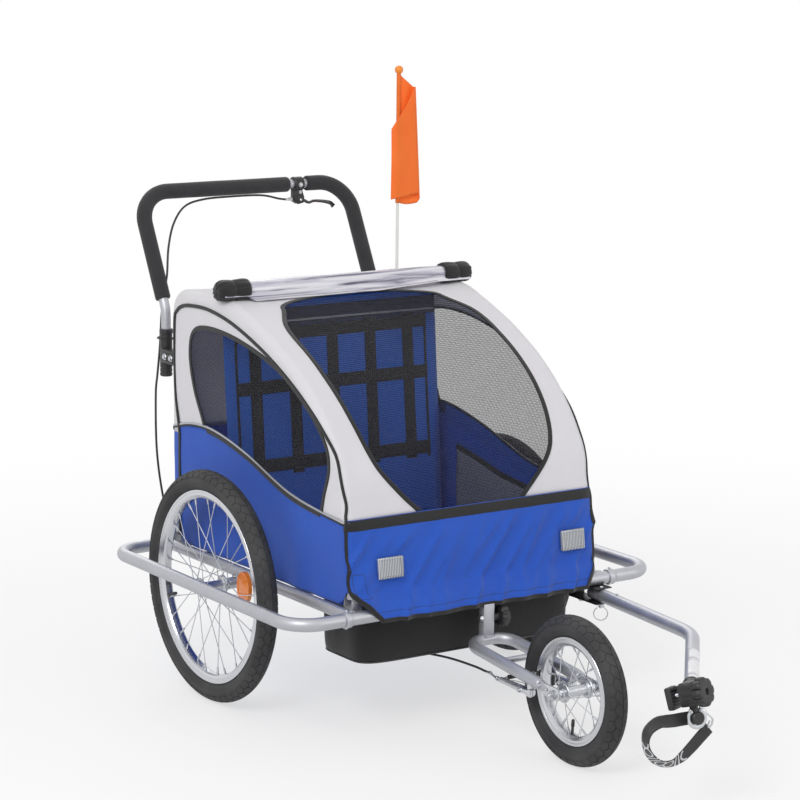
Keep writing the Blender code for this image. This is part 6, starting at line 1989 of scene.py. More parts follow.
bm = bmesh.new()
ring = [
    (0.131, 0.0113), (0.131, 0.0152), (0.1325, 0.0166), (0.1425, 0.0166), (0.143, 0.016),
    (0.144, 0.016)
]
ring += [(0.1445, 0.0166), (0.1545, 0.0166), (0.156, 0.0152), (0.156, 0.0113)]
turn_profile(bm, ring, (0, BAR_Y, BAR_Z), 40)
for low_y, high_y in ((-0.008, -0.0035), (0.0035, 0.008)):
    cheek = [
        (0.139, 1.008), (0.1588, 1.008), (0.16, 1.004), (0.158, 0.991), (0.143, 0.988),
        (0.139, 0.99)
    ]
    add_plate(bm, [(x, BAR_Y + low_y, z) for x, z in cheek], (0, high_y - low_y, 0), 0.0012)
shoulder = [
    (0.131, 0.995), (0.1395, 0.99), (0.1395, 1.007), (0.159, 1.007), (0.153, 1.024), (0.131, 1.024)
]
add_plate(bm, [(x, BAR_Y - 0.008, z) for x, z in shoulder], (0, 0.016, 0), 0.0014)
make_piece("lever_clamp_body", bm, black_nylon, "lever_clamp", "plastic", 30)

bm = bmesh.new()
barrel = [
    (0.1195, 0), (0.1195, 0.003), (0.1205, 0.0042), (0.1225, 0.0042), (0.123, 0.0036),
    (0.124, 0.0036), (0.1245, 0.0042)
]
barrel += [
    (0.1265, 0.0042), (0.127, 0.0036), (0.128, 0.0036), (0.1285, 0.0046), (0.1305, 0.0046),
    (0.1305, 0.003), (0.136, 0.003), (0.136, 0)
]
turn_profile(bm, barrel, (0, BAR_Y, 1.0005), 20, closed=False)
turn_profile(
    bm, [(0.112, 0), (0.112, 0.0029), (0.1125, 0.0032), (0.12, 0.0032), (0.12, 0)],
    (0, BAR_Y, 1.0005), 16, closed=False
)
add_bolt(bm, (0.1437, BAR_Y - 0.0163, BAR_Z - 0.001), (0, -1, 0), 0.0042, 0.0036, 0.0056)
add_bolt(bm, (0.1475, BAR_Y - 0.008, 1.0165), (0, -1, 0), 0.003, 0.0024, 0.0042)
make_piece("lever_barrel", bm, zinc_steel, slot="steel", sharp=30)

# Black lacquered alloy: smooth and glossy, with a faint orange peel of 2 mm
black_lacquer = plain_finish(
    "black_lacquered_alloy", "#1A1A1C", (0.24, 0.4), (70, 3), (480, 1, 0.1, 0.0003), Coat_Weight=0.5
)

LEVER_PIVOT = (0.15, BAR_Y, 0.9985)
LEVER_LINE = smooth_curve(
    [
        (0.15, 0, 0.9985), (0.164, 0, 0.995), (0.176, 0, 0.99), (0.19, 0, 0.993),
        (0.215, 0, 0.9908), (0.236, 0, 0.986), (0.2455, 0, 0.9775),
    ],
    5,
)
edges_of_blade = ([], [])
for k, point in enumerate(LEVER_LINE):
    run = (LEVER_LINE[min(k + 1, len(LEVER_LINE) - 1)] - LEVER_LINE[max(k - 1, 0)]).normalized()
    share = k / (len(LEVER_LINE) - 1)
    half = (
        0.0046 - 0.0014 * math.sin(math.pi * min(1.0, share / 0.8)) + (0.001 if share > 0.96 else 0)
    )
    for bucket, way in zip(edges_of_blade, (1, -1)):
        bucket.append(
            point + Vector((-run.z, 0, run.x)) * way * half + Vector((0, BAR_Y - 0.0028, 0))
        )
bm = bmesh.new()
add_plate(bm, edges_of_blade[0] + edges_of_blade[1][::-1], (0, 0.0056, 0), 0.0014)
turn_profile(
    bm,
    [
        (-0.0031, 0), (-0.0031, 0.0048), (-0.0024, 0.0056), (0.0024, 0.0056), (0.0031, 0.0048),
        (0.0031, 0)
    ],
    LEVER_PIVOT, 24, (0, 1, 0), closed=False,
)
make_piece("lever_blade", bm, black_lacquer, "brake_lever", "plastic", 35, body="lever")
pin = [
    (-0.0096, 0), (-0.0096, 0.0024), (-0.0088, 0.0032), (-0.0082, 0.0032), (-0.0082, 0.0018),
    (0.0082, 0.0018), (0.0082, 0.003)
]
make_piece(
    "lever_pin",
    one_shape(
        turn_profile, pin + [(0.009, 0.003), (0.0096, 0.0022), (0.0096, 0)], LEVER_PIVOT, 20,
        (0, 1, 0), closed=False
    ),
    zinc_steel, slot="steel", body="lever"
)

# Brake cable
# A steel wire in a black plastic housing of 5 mm, from the lever down the left leg of the handle,
# under the floor and up to the front brake. It is tied to the frame on its way.
CABLE_POINTS = [
    (0.1207, 0.5082, 1.0005), (0.114, 0.5082, 1.0005), (0.095, 0.509, 1.003),
    (0.045, 0.5085, 1.0135), (-0.04, 0.5082, 1.0148), (-0.11, 0.508, 1.012), (-0.165, 0.496, 1.0),
    (-0.205, 0.476, 0.965), (-0.232, 0.452, 0.915), (-0.247, 0.432, 0.86), (-0.26, 0.419, 0.828),
    (-0.269, 0.4125, 0.8), (-0.276, 0.407, 0.77), (-0.284, 0.401, 0.7), (-0.292, 0.398, 0.64),
    (-0.3, 0.392, 0.593), (-0.305, 0.38, 0.475), (-0.3, 0.365, 0.377), (-0.29, 0.345, 0.3),
    (-0.277, 0.334, 0.268), (-0.272, 0.32, 0.2515), (-0.262, 0.28, 0.252), (-0.245, 0.18, 0.262),
    (-0.22, 0.04, 0.268), (-0.19, -0.12, 0.262), (-0.17, -0.205, 0.252), (-0.14, -0.232, 0.195),
    (-0.11, -0.262, 0.1465), (-0.085, -0.33, 0.142), (-0.062, -0.42, 0.145), (-0.047, -0.49, 0.142),
    (-0.0425, -0.525, 0.139), (-0.0418, -0.5413, 0.1385),
]

# Black PVC housing: smooth, a little glossy, with faint wear every few centimetres
cable_housing = plain_finish(
    "black_pvc_cable_housing", ("#161617", "#29292B"), (0.28, 0.5), (40, 4), IOR=1.54
)
route = smooth_curve(CABLE_POINTS, 6)
make_piece(
    "brake_cable_housing", one_shape(add_tube, route, 0.0025, 3), cable_housing, "brake_cable",
    "rubber"
)

bm = bmesh.new()
for place, tie_axis, tie_reach in (
    ((-0.2795, 0.3862, 0.722), (0, 0, 1), (0.0154, 0.0194)),
    ((-0.269, REAR_BAR_Y + 0.0022, FRAME_Z - 0.0085), (1, 0, 0), (0.019, 0.0215)),
    ((-0.1745, MID_BAR_Y + 0.004, FRAME_Z - 0.0085), (1, 0, 0), (0.015, 0.0185)),
):
    axis = Vector(tie_axis)
    side_a = Vector((1, 0, 0)) if axis.z else Vector((0, 1, 0))
    side_b = Vector((0, 1, 0)) if axis.z else Vector((0, 0, 1))
    loop = []
    for k in range(33):
        turn = 2 * math.pi * k / 32
        loop.append(
            Vector(place) + side_a * tie_reach[0] * math.cos(turn)
            + side_b * tie_reach[1] * math.sin(turn)
        )
    add_strip(
        bm,
        tape_rows(
            loop, lambda point, place=place: (point - Vector(place)), 0.0036, 0.0011, both=True
        )
    )
    head = loop[28]
    add_block(
        bm, head - Vector((0.0026, 0.0026, 0.0026)), head + Vector((0.0026, 0.0026, 0.0026)),
        0.0006, 2
    )
make_piece("cable_ties", bm, black_nylon, slot="plastic")

# Flag
# A limp orange nylon pennant, its sleeve pulled over a white fibreglass pole that stands in a
# cloth pocket at the rear corner. A ball closes the pole's end.
POLE_X, POLE_Y, POLE_RADIUS = 0.291, 0.3057, 0.0035
FLAG_TOP_Z, FLAG_BOTTOM_Z = 1.2995, 1.003
BALL_RADIUS = 0.0098

# White fibreglass: glossy resin with faint fibres along it, 0.5 mm wide
white_fibreglass = plain_finish(
    "white_fibreglass_rod", ("#D9D8D4", "#EFEEEB"), 0.32, (1.0, 2), stretch=(900.0, 900.0, 14.0),
    IOR=1.55
)
pole = [(0.7225, 0), (0.7225, 0.003), (0.7245, POLE_RADIUS), (1.305, POLE_RADIUS), (1.305, 0)]
make_piece(
    "flag_rod", one_shape(turn_profile, pole, (POLE_X, POLE_Y, 0), 20, (0, 0, 1), closed=False),
    white_fibreglass, "flag_pole", "fibreglass", body="pennant"
)

# Orange plastic ball
orange_plastic = plain_finish(
    "moulded_orange_plastic", ("#EE7F1E", "#F79A3A"), 0.35, (120, 3), IOR=1.5
)
profile = [(-0.0105, 0), (-0.0105, 0.0046), (-0.0075, 0.0046)]
profile += (
    [
        (BALL_RADIUS * math.sin(math.radians(a)), BALL_RADIUS * math.cos(math.radians(a)))
        for a in range(-54, 90, 9)
    ]
    + [(BALL_RADIUS, 0)]
)
make_piece(
    "flag_ball",
    one_shape(turn_profile, profile, (POLE_X, POLE_Y, 1.3085), 28, (0, 0, 1), closed=False),
    orange_plastic, slot="orange", body="pennant"
)

# Orange nylon: a thin ripstop that light comes through, with a thread grid of 5 mm
orange_nylon, tree = new_finish("orange_nylon_cloth")
spot = add_node(tree, "TexCoord").outputs["Object"]
cloud = add_node(tree, "TexNoise", Vector=spot, Scale=14, Detail=4)
tone = add_node(
    tree, "Mix", data_type="RGBA", in0=cloud.outputs["Fac"], in6=linear("#F97A26"),
    in7=linear("#FF983E")
)
threads = add_node(tree, "TexWave", Vector=spot, Scale=THREAD, Distortion=0.5, bands_direction="Z")
relief = add_node(tree, "Bump", Strength=0.25, Distance=0.0002, Height=threads.outputs["Fac"])
skin = add_node(
    tree, "BsdfPrincipled", Base_Color=tone.outputs[2], Roughness=0.55, Sheen_Weight=0.2,
    Normal=relief.outputs[0]
)
through = add_node(tree, "BsdfTranslucent", Color=linear("#FF9A40"))
mixed = add_node(tree, "MixShader", in0=0.38, in1=skin.outputs[0], in2=through.outputs[0])
add_node(tree, "OutputMaterial", Surface=mixed.outputs[0])

FLAG_RIGHT = Vector((0.9, -0.436, 0))
FLAG_AHEAD = Vector((-0.436, -0.9, 0))
FLAG_FOLD = 0.0052
SLEEVE_SHARE = 0.16


def flag_point(u, v):
    """Point of the pennant: u from the sleeve to the free edge, v from its top to its bottom."""
    if u < SLEEVE_SHARE:
        turn = math.radians(-14 - 332 * (1 - u / SLEEVE_SHARE))
        right, ahead = 0.005 * math.cos(turn), -0.005 * math.sin(turn)
        top, bottom = FLAG_TOP_Z, FLAG_BOTTOM_Z
    else:
        share = (u - SLEEVE_SHARE) / (1 - SLEEVE_SHARE)
        reach = 0.034 + 0.012 * v
        length = 2 * reach + math.pi * FLAG_FOLD + 0.017
        run = 0.0048 + share * (length - 0.0048)
        wave = 0.0026 * math.sin(run * 120 + 2.0 * v) * min(1.0, share * 5)
        if run < reach:
            right, ahead = run, -0.0012 - 0.0026 * min(1.0, share * 4) + wave * 0.6
            top = FLAG_TOP_Z - 0.03 * run / reach
            bottom = FLAG_BOTTOM_Z - 0.004 * math.sin(run / reach * math.pi)
        elif run < reach + math.pi * FLAG_FOLD:
            turn = (run - reach) / FLAG_FOLD
            right, ahead = (
                reach + FLAG_FOLD * math.sin(turn),
                -0.0038 + FLAG_FOLD * (1 - math.cos(turn)) + wave * 0.6
            )
            top, bottom = FLAG_TOP_Z - 0.03, FLAG_BOTTOM_Z + 0.022 * turn / math.pi
        else:
            back_run = run - reach - math.pi * FLAG_FOLD
            past = back_run / (reach + 0.017)
            right, ahead = reach - back_run, -0.0038 + 2 * FLAG_FOLD + 0.0016 + wave
            drape = past**0.8
            top = FLAG_TOP_Z - 0.03 - 0.096 * drape
            bottom = 1.025 - 0.014 * past
    z = top + (bottom - top) * v
    limp = 0.0016 * noise.noise(Vector((right * 30, z * 9, 2.0))) if u > SLEEVE_SHARE else 0
    spot = Vector((POLE_X, POLE_Y, z)) + FLAG_RIGHT * right + FLAG_AHEAD * (ahead + limp)
    return spot


bm = bmesh.new()
bmesh.ops.create_grid(bm, x_segments=110, y_segments=44, size=0.5)
for vert in bm.verts:
    vert.co = flag_point(vert.co.x + 0.5, vert.co.y + 0.5)
bmesh.ops.recalc_face_normals(bm, faces=bm.faces)
pennant_cloth = make_piece("flag_cloth", bm, orange_nylon, "flag", "orange", 60, body="pennant")
thicken(pennant_cloth, 0.0005)

# Pocket for the pole: an off-white sleeve with a black rim, sewn to the cover's rear corner
pocket = [
    (0.7165, 0), (0.7165, 0.0056), (0.7195, 0.0068), (0.79, 0.0066), (0.79, 0.0041),
    (0.7195, 0.0041), (0.7195, 0)
]
make_piece(
    "flag_pole_pocket",
    one_shape(turn_profile, pocket, (POLE_X, POLE_Y, 0), 24, (0, 0, 1), closed=False),
    white_polyester, slot="white_fabric"
)
make_piece(
    "flag_pole_pocket_rim",
    one_shape(
        turn_profile, [(0.785, 0.004), (0.785, 0.0075), (0.795, 0.0073), (0.795, 0.004)],
        (POLE_X, POLE_Y, 0), 24, (0, 0, 1)
    ),
    black_binding, slot="rubber", sharp=30
)

# Jogging wheel yoke
# A bent aluminium tube round the small wheel, with a post that stands in front of the frame's
# stub, a brace, and plates at its ends that take the axle. A knob on a bolt holds it.
LEG_X, YOKE_REAR_Y, LEG_END_Y = 0.05, -0.468, -0.722
BRACE_Y = -0.585
STUD_X, STUD_Y = 0.052, -0.69


def leg_height(y):
    """Height of the yoke's legs along their run."""
    return 0.187 + 0.101 * (y - YOKE_REAR_Y)


bm = bmesh.new()
corners = [
    (-LEG_X, LEG_END_Y, leg_height(LEG_END_Y)), (-LEG_X, YOKE_REAR_Y, leg_height(YOKE_REAR_Y)),
    (LEG_X, YOKE_REAR_Y, leg_height(YOKE_REAR_Y)), (LEG_X, LEG_END_Y, leg_height(LEG_END_Y)),
]
path = rounded_path(corners, 0.04, 14)
ahead = (path[0] - path[1]).normalized()
tip_a, tip_b = path[0], path[-1]
path = [tip_a, tip_a - ahead * 0.003, tip_a - ahead * 0.012] + path[1:-1] + [
    tip_b - ahead * 0.012, tip_b - ahead * 0.003, tip_b
]
radii = [1.0] * len(path)
radii[0] = radii[-1] = 0.7
radii[1] = radii[-2] = 0.9
add_tube(bm, path, 0.0125, 7, radii=radii)
for side in (-1, 1):
    x = side * LEG_X
    # Flattened end of the leg, riveted over the plate
    tongue = [
        (-0.708, 0.0105), (-0.728, 0.0098), (-0.741, 0.006), (-0.744, 0.0), (-0.74, -0.0065),
        (-0.726, -0.0105), (-0.708, -0.011)
    ]
    add_plate(bm, [(x - 0.0042, y, leg_height(y) + dz) for y, dz in tongue], (0.0084, 0, 0), 0.0022)
    add_weld(bm, (x - side * 0.0115, BRACE_Y, leg_height(BRACE_Y)), (1, 0, 0), 0.0066, 0.0016)
add_bar(
    bm, (-LEG_X + 0.008, BRACE_Y, leg_height(BRACE_Y)),
    (LEG_X - 0.008, BRACE_Y, leg_height(BRACE_Y)), 0.0065, sides=24
)
# Post: a folded channel welded on the tube's bend
add_block(bm, (-0.0132, -0.4765, 0.179), (0.0132, -0.4735, 0.264), 0.001, 2)
for side in (-1, 1):
    add_block(
        bm, (side * 0.0118 - 0.0014, -0.4755, 0.188), (side * 0.0118 + 0.0014, -0.458, 0.2575),
        0.001, 2
    )
add_weld(bm, (0, -0.4745, 0.1945), (0, 0.35, 1), 0.0115, 0.0018)
make_piece("yoke_tube", bm, silver_tube, "front_yoke", "frame", 30)

bm = bmesh.new()
axle_y, axle_z = FRONT_CENTRE_Y, FRONT_RADIUS
for side in (-1, 1):
    x = side * LEG_X
    plate = [
        (-0.708, leg_height(-0.708) - 0.008), (-0.708, leg_height(-0.708) + 0.007),
        (-0.735, leg_height(-0.735) + 0.0085), (axle_y - 0.006, axle_z + 0.0145),
        (axle_y - 0.014, axle_z + 0.009), (axle_y - 0.0165, axle_z),
        (axle_y - 0.013, axle_z - 0.009), (axle_y - 0.0045, axle_z - 0.013),
        (axle_y + 0.006, axle_z - 0.0125), (-0.74, axle_z - 0.0095),
        (-0.725, leg_height(-0.725) - 0.0105),
    ]
    add_plate(bm, [(x - 0.0021 + side * 0.0006, y, z) for y, z in plate], (0.0042, 0, 0), 0.0009)
    # Brake stud under the leg
    turn_profile(
        bm,
        [
            (0.1295, 0), (0.1295, 0.0034), (0.1305, 0.0038), (0.145, 0.0038), (0.145, 0.007),
            (0.156, 0.007), (0.16, 0.0062), (0.164, 0.0062), (0.164, 0)
        ],
        (side * STUD_X, STUD_Y, 0), 24, (0, 0, 1), closed=False,
    )
make_piece("yoke_plates", bm, polished_alloy, slot="alloy", sharp=30)

bm = bmesh.new()
for side in (-1, 1):
    x = side * (LEG_X + 0.0042)
    add_bolt(bm, (x, -0.7235, leg_height(-0.7235)), (side, 0, 0), 0.0034, 0.0024, 0.0048)
    add_bolt(bm, (side * (LEG_X + 0.0035), -0.744, 0.1575), (side, 0, 0), 0.0026, 0.0018, 0.0036)
add_bolt(bm, (0.024, BRACE_Y, leg_height(BRACE_Y) + 0.006), (0, -0.3, 1), 0.0048, 0.004, 0.0066)
make_piece("yoke_bolts", bm, zinc_steel, slot="steel", sharp=30)

# Axle with its cones inside the plates, and washers and nuts outside
bm = bmesh.new()
half = [
    (0.0, 0.005), (0.0363, 0.005), (0.0363, 0.0078), (0.0395, 0.009), (0.044, 0.009),
    (0.0445, 0.0082), (0.046, 0.0082), (0.0462, 0.0095)
]
half += [
    (0.0476, 0.0095), (0.0476, 0.005), (0.0524, 0.005), (0.0524, 0.0104), (0.054, 0.0104),
    (0.0541, 0.0048)
]
thread = []
for k in range(13):
    thread += [(0.06 + 0.0006 * k, 0.0044), (0.0603 + 0.0006 * k, 0.004)]
half += [(0.0542, 0.0046), (0.0598, 0.0046)] + thread + [(0.0682, 0.0036), (0.0682, 0)]
turn_profile(bm, half[::-1] + [(-x, r) for x, r in half[1:]], (0, axle_y, axle_z), 32, closed=False)
for side in (-1, 1):
    add_bar(bm, (side * 0.0541, axle_y, axle_z), (side * 0.0608, axle_y, axle_z), 0.0092, sides=6)
    add_bar(
        bm, (side * 0.0608, axle_y, axle_z), (side * 0.0614, axle_y, axle_z), 0.0078, 0.0068,
        sides=24
    )
    add_bar(bm, (side * 0.0405, axle_y, axle_z), (side * 0.0436, axle_y, axle_z), 0.01, sides=6)
make_piece("front_axle_and_nuts", bm, zinc_steel, "front_axle", "steel", 30)

# Knob: a round moulded grip on the bolt through post and stub
KNOB_Y, KNOB_Z, KNOB_RADIUS = -0.469, 0.2335, 0.0218


def knob_ring(x, share):
    """One ring of the knob's surface; the widest ones are fluted."""
    ring = []
    for k in range(120):
        turn = 2 * math.pi * k / 120
        reach = KNOB_RADIUS * share + (0.0014 * math.cos(12 * turn) if share > 0.9 else 0)
        ring.append((x, KNOB_Y + reach * math.cos(turn), KNOB_Z + reach * math.sin(turn)))
    return ring


KNOB_RINGS = [
    (0.0278, 0.3), (0.0278, 0.86), (0.0295, 0.97), (0.032, 1.0), (0.042, 1.0), (0.0448, 0.96),
    (0.0462, 0.86), (0.0455, 0.62), (0.0448, 0.56), (0.0448, 0.2)
]
bm = bmesh.new()
add_strip(bm, [knob_ring(*ring) for ring in KNOB_RINGS])
add_bar(bm, (0.014, KNOB_Y, KNOB_Z), (0.0285, KNOB_Y, KNOB_Z), 0.0068, 0.0088, sides=24)
make_piece("yoke_knob_grip", bm, black_nylon, "yoke_knob", "plastic", 35, body="wheel_knob")
bm = bmesh.new()
add_bar(bm, (-0.02, KNOB_Y, KNOB_Z), (0.029, KNOB_Y, KNOB_Z), 0.0036, sides=16)
add_bar(bm, (-0.0188, KNOB_Y, KNOB_Z), (-0.0148, KNOB_Y, KNOB_Z), 0.0066, sides=6)
add_bar(bm, (-0.0148, KNOB_Y, KNOB_Z), (-0.0135, KNOB_Y, KNOB_Z), 0.008, sides=24)
add_bar(bm, (0.0446, KNOB_Y, KNOB_Z), (0.0458, KNOB_Y, KNOB_Z), 0.005, 0.0044, sides=6)
make_piece("yoke_knob_bolt", bm, zinc_steel, slot="steel", sharp=30, body="wheel_knob")

# Rim brake
# Two forged alloy arms on studs under the yoke, each with a rubber shoe beside the rim. The wire
# comes through a bent pipe and a rubber bellows and is clamped on the far arm.
ARM_Z = 0.1385
WIRE_Y = -0.5835
for name, side in SIDES:
    body = f"brake_{name}"
    bm = bmesh.new()
    outline = [
        (0.044, -0.6985), (0.06, -0.6985), (0.0622, -0.69), (0.0618, -0.674), (0.06, -0.648),
        (0.0575, -0.618), (0.0562, -0.598), (0.0562, -0.588), (0.054, -0.5845), (0.048, -0.5845),
        (0.0457, -0.588), (0.045, -0.605), (0.0442, -0.642), (0.0432, -0.674), (0.042, -0.69),
    ]
    add_plate(bm, [(side * x, y, ARM_Z - 0.0052) for x, y in outline], (0, 0, 0.0104), 0.0024)
    boss = [
        (0.1314, 0.004), (0.1314, 0.0085), (0.1326, 0.0098), (0.1438, 0.0098), (0.1447, 0.0088),
        (0.1447, 0.004)
    ]
    turn_profile(bm, boss, (side * STUD_X, STUD_Y, 0), 32, (0, 0, 1))
    # Slot bolt of the shoe: shank, dished washers and nut
    shoe_y = -0.666
    washers = [
        (0.025, 0), (0.025, 0.0036), (0.0345, 0.0036), (0.0345, 0.0068), (0.0375, 0.0074),
        (0.04, 0.0074), (0.041, 0.006), (0.044, 0.006), (0.044, 0)
    ]
    turn_profile(bm, [(side * x, r) for x, r in washers], (0, shoe_y, ARM_Z), 24, closed=False)
    make_piece(
        f"brake_arm_{name}_forging", bm, polished_alloy, f"brake_arm_{name}", "alloy", 30, body=body
    )

    bm = bmesh.new()
    add_block(
        bm, (side * 0.0199 - 0.0041, -0.6705, 0.1345), (side * 0.0199 + 0.0041, -0.6615, 0.171),
        0.0016, 3
    )
    for z in (0.145, 0.155, 0.164):
        add_block(
            bm, (side * 0.01615 - 0.00065, -0.6706, z - 0.0045),
            (side * 0.01615 + 0.00065, -0.6614, z + 0.002), 0.0004, 1
        )
    make_piece(f"brake_shoe_{name}", bm, tyre_rubber, slot="rubber", body=body)
    bm = bmesh.new()
    add_block(
        bm, (side * 0.025 - 0.0012, -0.6712, 0.135), (side * 0.025 + 0.0012, -0.6608, 0.1705),
        0.0008, 2
    )
    add_bolt(bm, (side * 0.0605, shoe_y, ARM_Z), (side, 0, 0), 0.0046, 0.004, 0.006)
    add_bolt(bm, (side * STUD_X, STUD_Y, 0.1314), (0, 0, -1), 0.0042, 0.0022, 0.008)
    # Return spring along the inside of the arm
    spring = smooth_curve(
        [
            (side * 0.06, -0.696, 0.1462), (side * 0.043, -0.6985, 0.1462),
            (side * 0.04, -0.685, 0.1462), (side * 0.0395, -0.65, 0.145),
            (side * 0.0402, -0.616, 0.142), (side * 0.044, -0.614, 0.1405)
        ],
        6,
    )
    add_tube(bm, spring, 0.0009, 2)
    make_piece(f"brake_fittings_{name}", bm, zinc_steel, slot="steel", sharp=30, body=body)

# Bent pipe, wire and bellows between the arms' ends; they move with the left arm
bm = bmesh.new()
pipe = smooth_curve(
    [
        (-0.029, WIRE_Y, ARM_Z), (-0.04, WIRE_Y, ARM_Z), (-0.048, -0.5828, ARM_Z),
        (-0.0512, -0.576, ARM_Z), (-0.049, -0.564, ARM_Z), (-0.045, -0.552, ARM_Z),
        (-0.042, -0.543, ARM_Z)
    ],
    6,
)
add_tube(bm, pipe, 0.0024, 4)
turn_profile(
    bm,
    [(0, 0.0024), (0, 0.0044), (0.001, 0.005), (0.0048, 0.005), (0.0058, 0.0042), (0.0058, 0.0024)],
    (-0.051, -0.58, ARM_Z), 24, (0, 1, 0)
)
add_bar(bm, (-0.0295, WIRE_Y, ARM_Z), (0.072, WIRE_Y, ARM_Z), 0.0008, sides=8)
way = Vector((0.003, 0.009, 0)).normalized()
turn_profile(
    bm, [(0, 0), (0, 0.003), (0.0008, 0.0036), (0.009, 0.0036), (0.0096, 0.003), (0.0096, 0)],
    Vector((-0.0425, -0.545, ARM_Z)), 20, way, closed=False
)
make_piece("brake_wire_and_pipe", bm, zinc_steel, slot="steel", sharp=30, body="brake_left")
bellows = [(-0.03, 0), (-0.03, 0.0036)]
for k in range(8):
    bellows += [
        (-0.0292 + 0.005 * k, 0.0032), (-0.027 + 0.005 * k, 0.0052 - 0.0002 * k),
        (-0.026 + 0.005 * k, 0.0052 - 0.0002 * k)
    ]
bellows += [(0.0118, 0.0026), (0.014, 0.0022), (0.014, 0)]
make_piece(
    "brake_bellows", one_shape(turn_profile, bellows, (0, WIRE_Y, ARM_Z), 24, closed=False),
    black_nylon, slot="rubber", body="brake_left"
)
bm = bmesh.new()
add_bolt(bm, (0.0505, -0.5915, ARM_Z - 0.005), (0, 0, -1), 0.0042, 0.0044, 0.0066)
add_bolt(bm, (0.0505, -0.5915, ARM_Z + 0.005), (0, 0, 1), 0.0034, 0.0016, 0.0058)
make_piece("brake_wire_clamp", bm, zinc_steel, slot="steel", sharp=30, body="brake_right")
# Ferrule at the end of the housing
end, before = Vector(CABLE_POINTS[-1]), Vector(CABLE_POINTS[-2])
make_piece(
    "brake_cable_ferrule",
    one_shape(
        turn_profile,
        [(0, 0.0024), (0, 0.0031), (0.01, 0.0031), (0.0108, 0.0028), (0.0108, 0.0024)], end, 20,
        before - end
    ),
    zinc_steel, slot="steel"
)

# Tow arm
# A bent aluminium tube that turns on a pin in a black steel channel, bolted under the front
# crossbar. The pin is pulled out by its wire ring to let the arm swing.
PIVOT_X, PIVOT_Y, ARM_HEIGHT = 0.2992, -0.4703, 0.2406
ARM_ELBOW, ARM_END = Vector((0.2627, -0.8132, ARM_HEIGHT)), Vector((0.0117, -1.1063, ARM_HEIGHT))
pivot = Vector((PIVOT_X, PIVOT_Y, ARM_HEIGHT))

# Black powder coat over steel, with a fine orange peel of 1 mm
black_powder_coat = plain_finish(
    "black_powder_coated_steel", ("#161618", "#232325"), 0.4, (45, 3), (900, 1, 0.2, 0.0003)
)

bm = bmesh.new()
low_x, high_x = PIVOT_X - 0.021, PIVOT_X + 0.021
add_block(bm, (low_x, -0.4803, 0.223), (high_x, -0.3843, 0.2259), 0.001, 2)
add_block(bm, (low_x, -0.4803, 0.2553), (high_x, -0.3843, 0.2582), 0.001, 2)
add_block(bm, (low_x, -0.3873, 0.2235), (high_x, -0.3843, 0.2577), 0.001, 2)
make_piece("tow_channel", bm, black_powder_coat, "tow_bracket", "plastic", 30)
bm = bmesh.new()
for x in (PIVOT_X - 0.0125, PIVOT_X + 0.0125):
    add_bolt(bm, (x, -0.418, 0.223), (0, 0, -1), 0.005, 0.0034, 0.0072)
make_piece("tow_channel_bolts", bm, zinc_steel, slot="steel", sharp=30)

bm = bmesh.new()
pin = [
    (0.2127, 0), (0.2127, 0.0036), (0.2137, 0.0045), (0.2192, 0.0045), (0.2192, 0.007),
    (0.22, 0.0078), (0.2219, 0.0078), (0.2226, 0.007)
]
pin += [(0.2226, 0.0045), (0.259, 0.0045), (0.2605, 0.0036), (0.2605, 0)]
turn_profile(bm, pin, (PIVOT_X, PIVOT_Y, 0), 28, (0, 0, 1), closed=False)
ring = [
    Vector((PIVOT_X - 0.0052, PIVOT_Y + 0.0039, 0.2162)), Vector((PIVOT_X, PIVOT_Y, 0.2162)),
    Vector((PIVOT_X + 0.0048, PIVOT_Y - 0.0036, 0.216))
]
for k in range(13):
    turn = math.radians(62 - 304 * k / 12)
    across = 0.0148 * math.cos(turn)
    ring.append(
        Vector((PIVOT_X + across * 0.8, PIVOT_Y - across * 0.6, 0.2 + 0.0148 * math.sin(turn)))
    )
add_tube(bm, smooth_curve(ring, 4), 0.0012, 3)
make_piece("tow_pull_pin", bm, zinc_steel, "tow_pin", "steel", 30, body="arm_pin")

rear = pivot + (pivot - ARM_ELBOW).normalized() * 0.036
path = rounded_path([rear, ARM_ELBOW, ARM_END], 0.14, 20)
before = (path[1] - path[0]).normalized()
path = [path[0], path[0] + before * 0.0012] + path[1:]
make_piece(
    "tow_arm_tube", one_shape(add_tube, path, 0.0143, 9, radii=[0.93] + [1.0] * (len(path) - 1)),
    silver_tube, "tow_arm", "frame", body="arm"
)
button = [(0, 0), (0, 0.0034), (0.0034, 0.0034), (0.0048, 0.0022), (0.0052, 0)]
make_piece(
    "tow_arm_button",
    one_shape(
        turn_profile, button, pivot + before * 0.062 + Vector((0, 0, 0.013)), 18, (0, 0, 1),
        closed=False
    ),
    zinc_steel, slot="steel", body="arm"
)

# Bare white foil labels near the arm's end
label_foil = plain_finish(
    "white_polyester_foil", ("#DCDCE0", "#EDEDF0"), 0.35, (60, 3), Coat_Weight=0.3
)
arm_way = (ARM_END - ARM_ELBOW).normalized()
bm = bmesh.new()
for start, stop, spread in ((-0.232, -0.17, 96), (-0.166, -0.058, 110), (-0.054, -0.029, 100)):
    made = bmesh.ops.create_grid(bm, x_segments=20, y_segments=4, size=0.5)["verts"]
    aside = Vector((-arm_way.y, arm_way.x, 0))
    for vert in made:
        turn = math.radians(-112 + spread * vert.co.x)
        place = ARM_END + arm_way * (start + (stop - start) * (vert.co.y + 0.5))
        vert.co = place + (aside * math.cos(turn) + Vector((0, 0, math.sin(turn)))) * -0.01445
bmesh.ops.recalc_face_normals(bm, faces=bm.faces)
labels = make_piece("tow_arm_labels", bm, label_foil, slot="lens", body="arm")
thicken(labels, 0.0002)

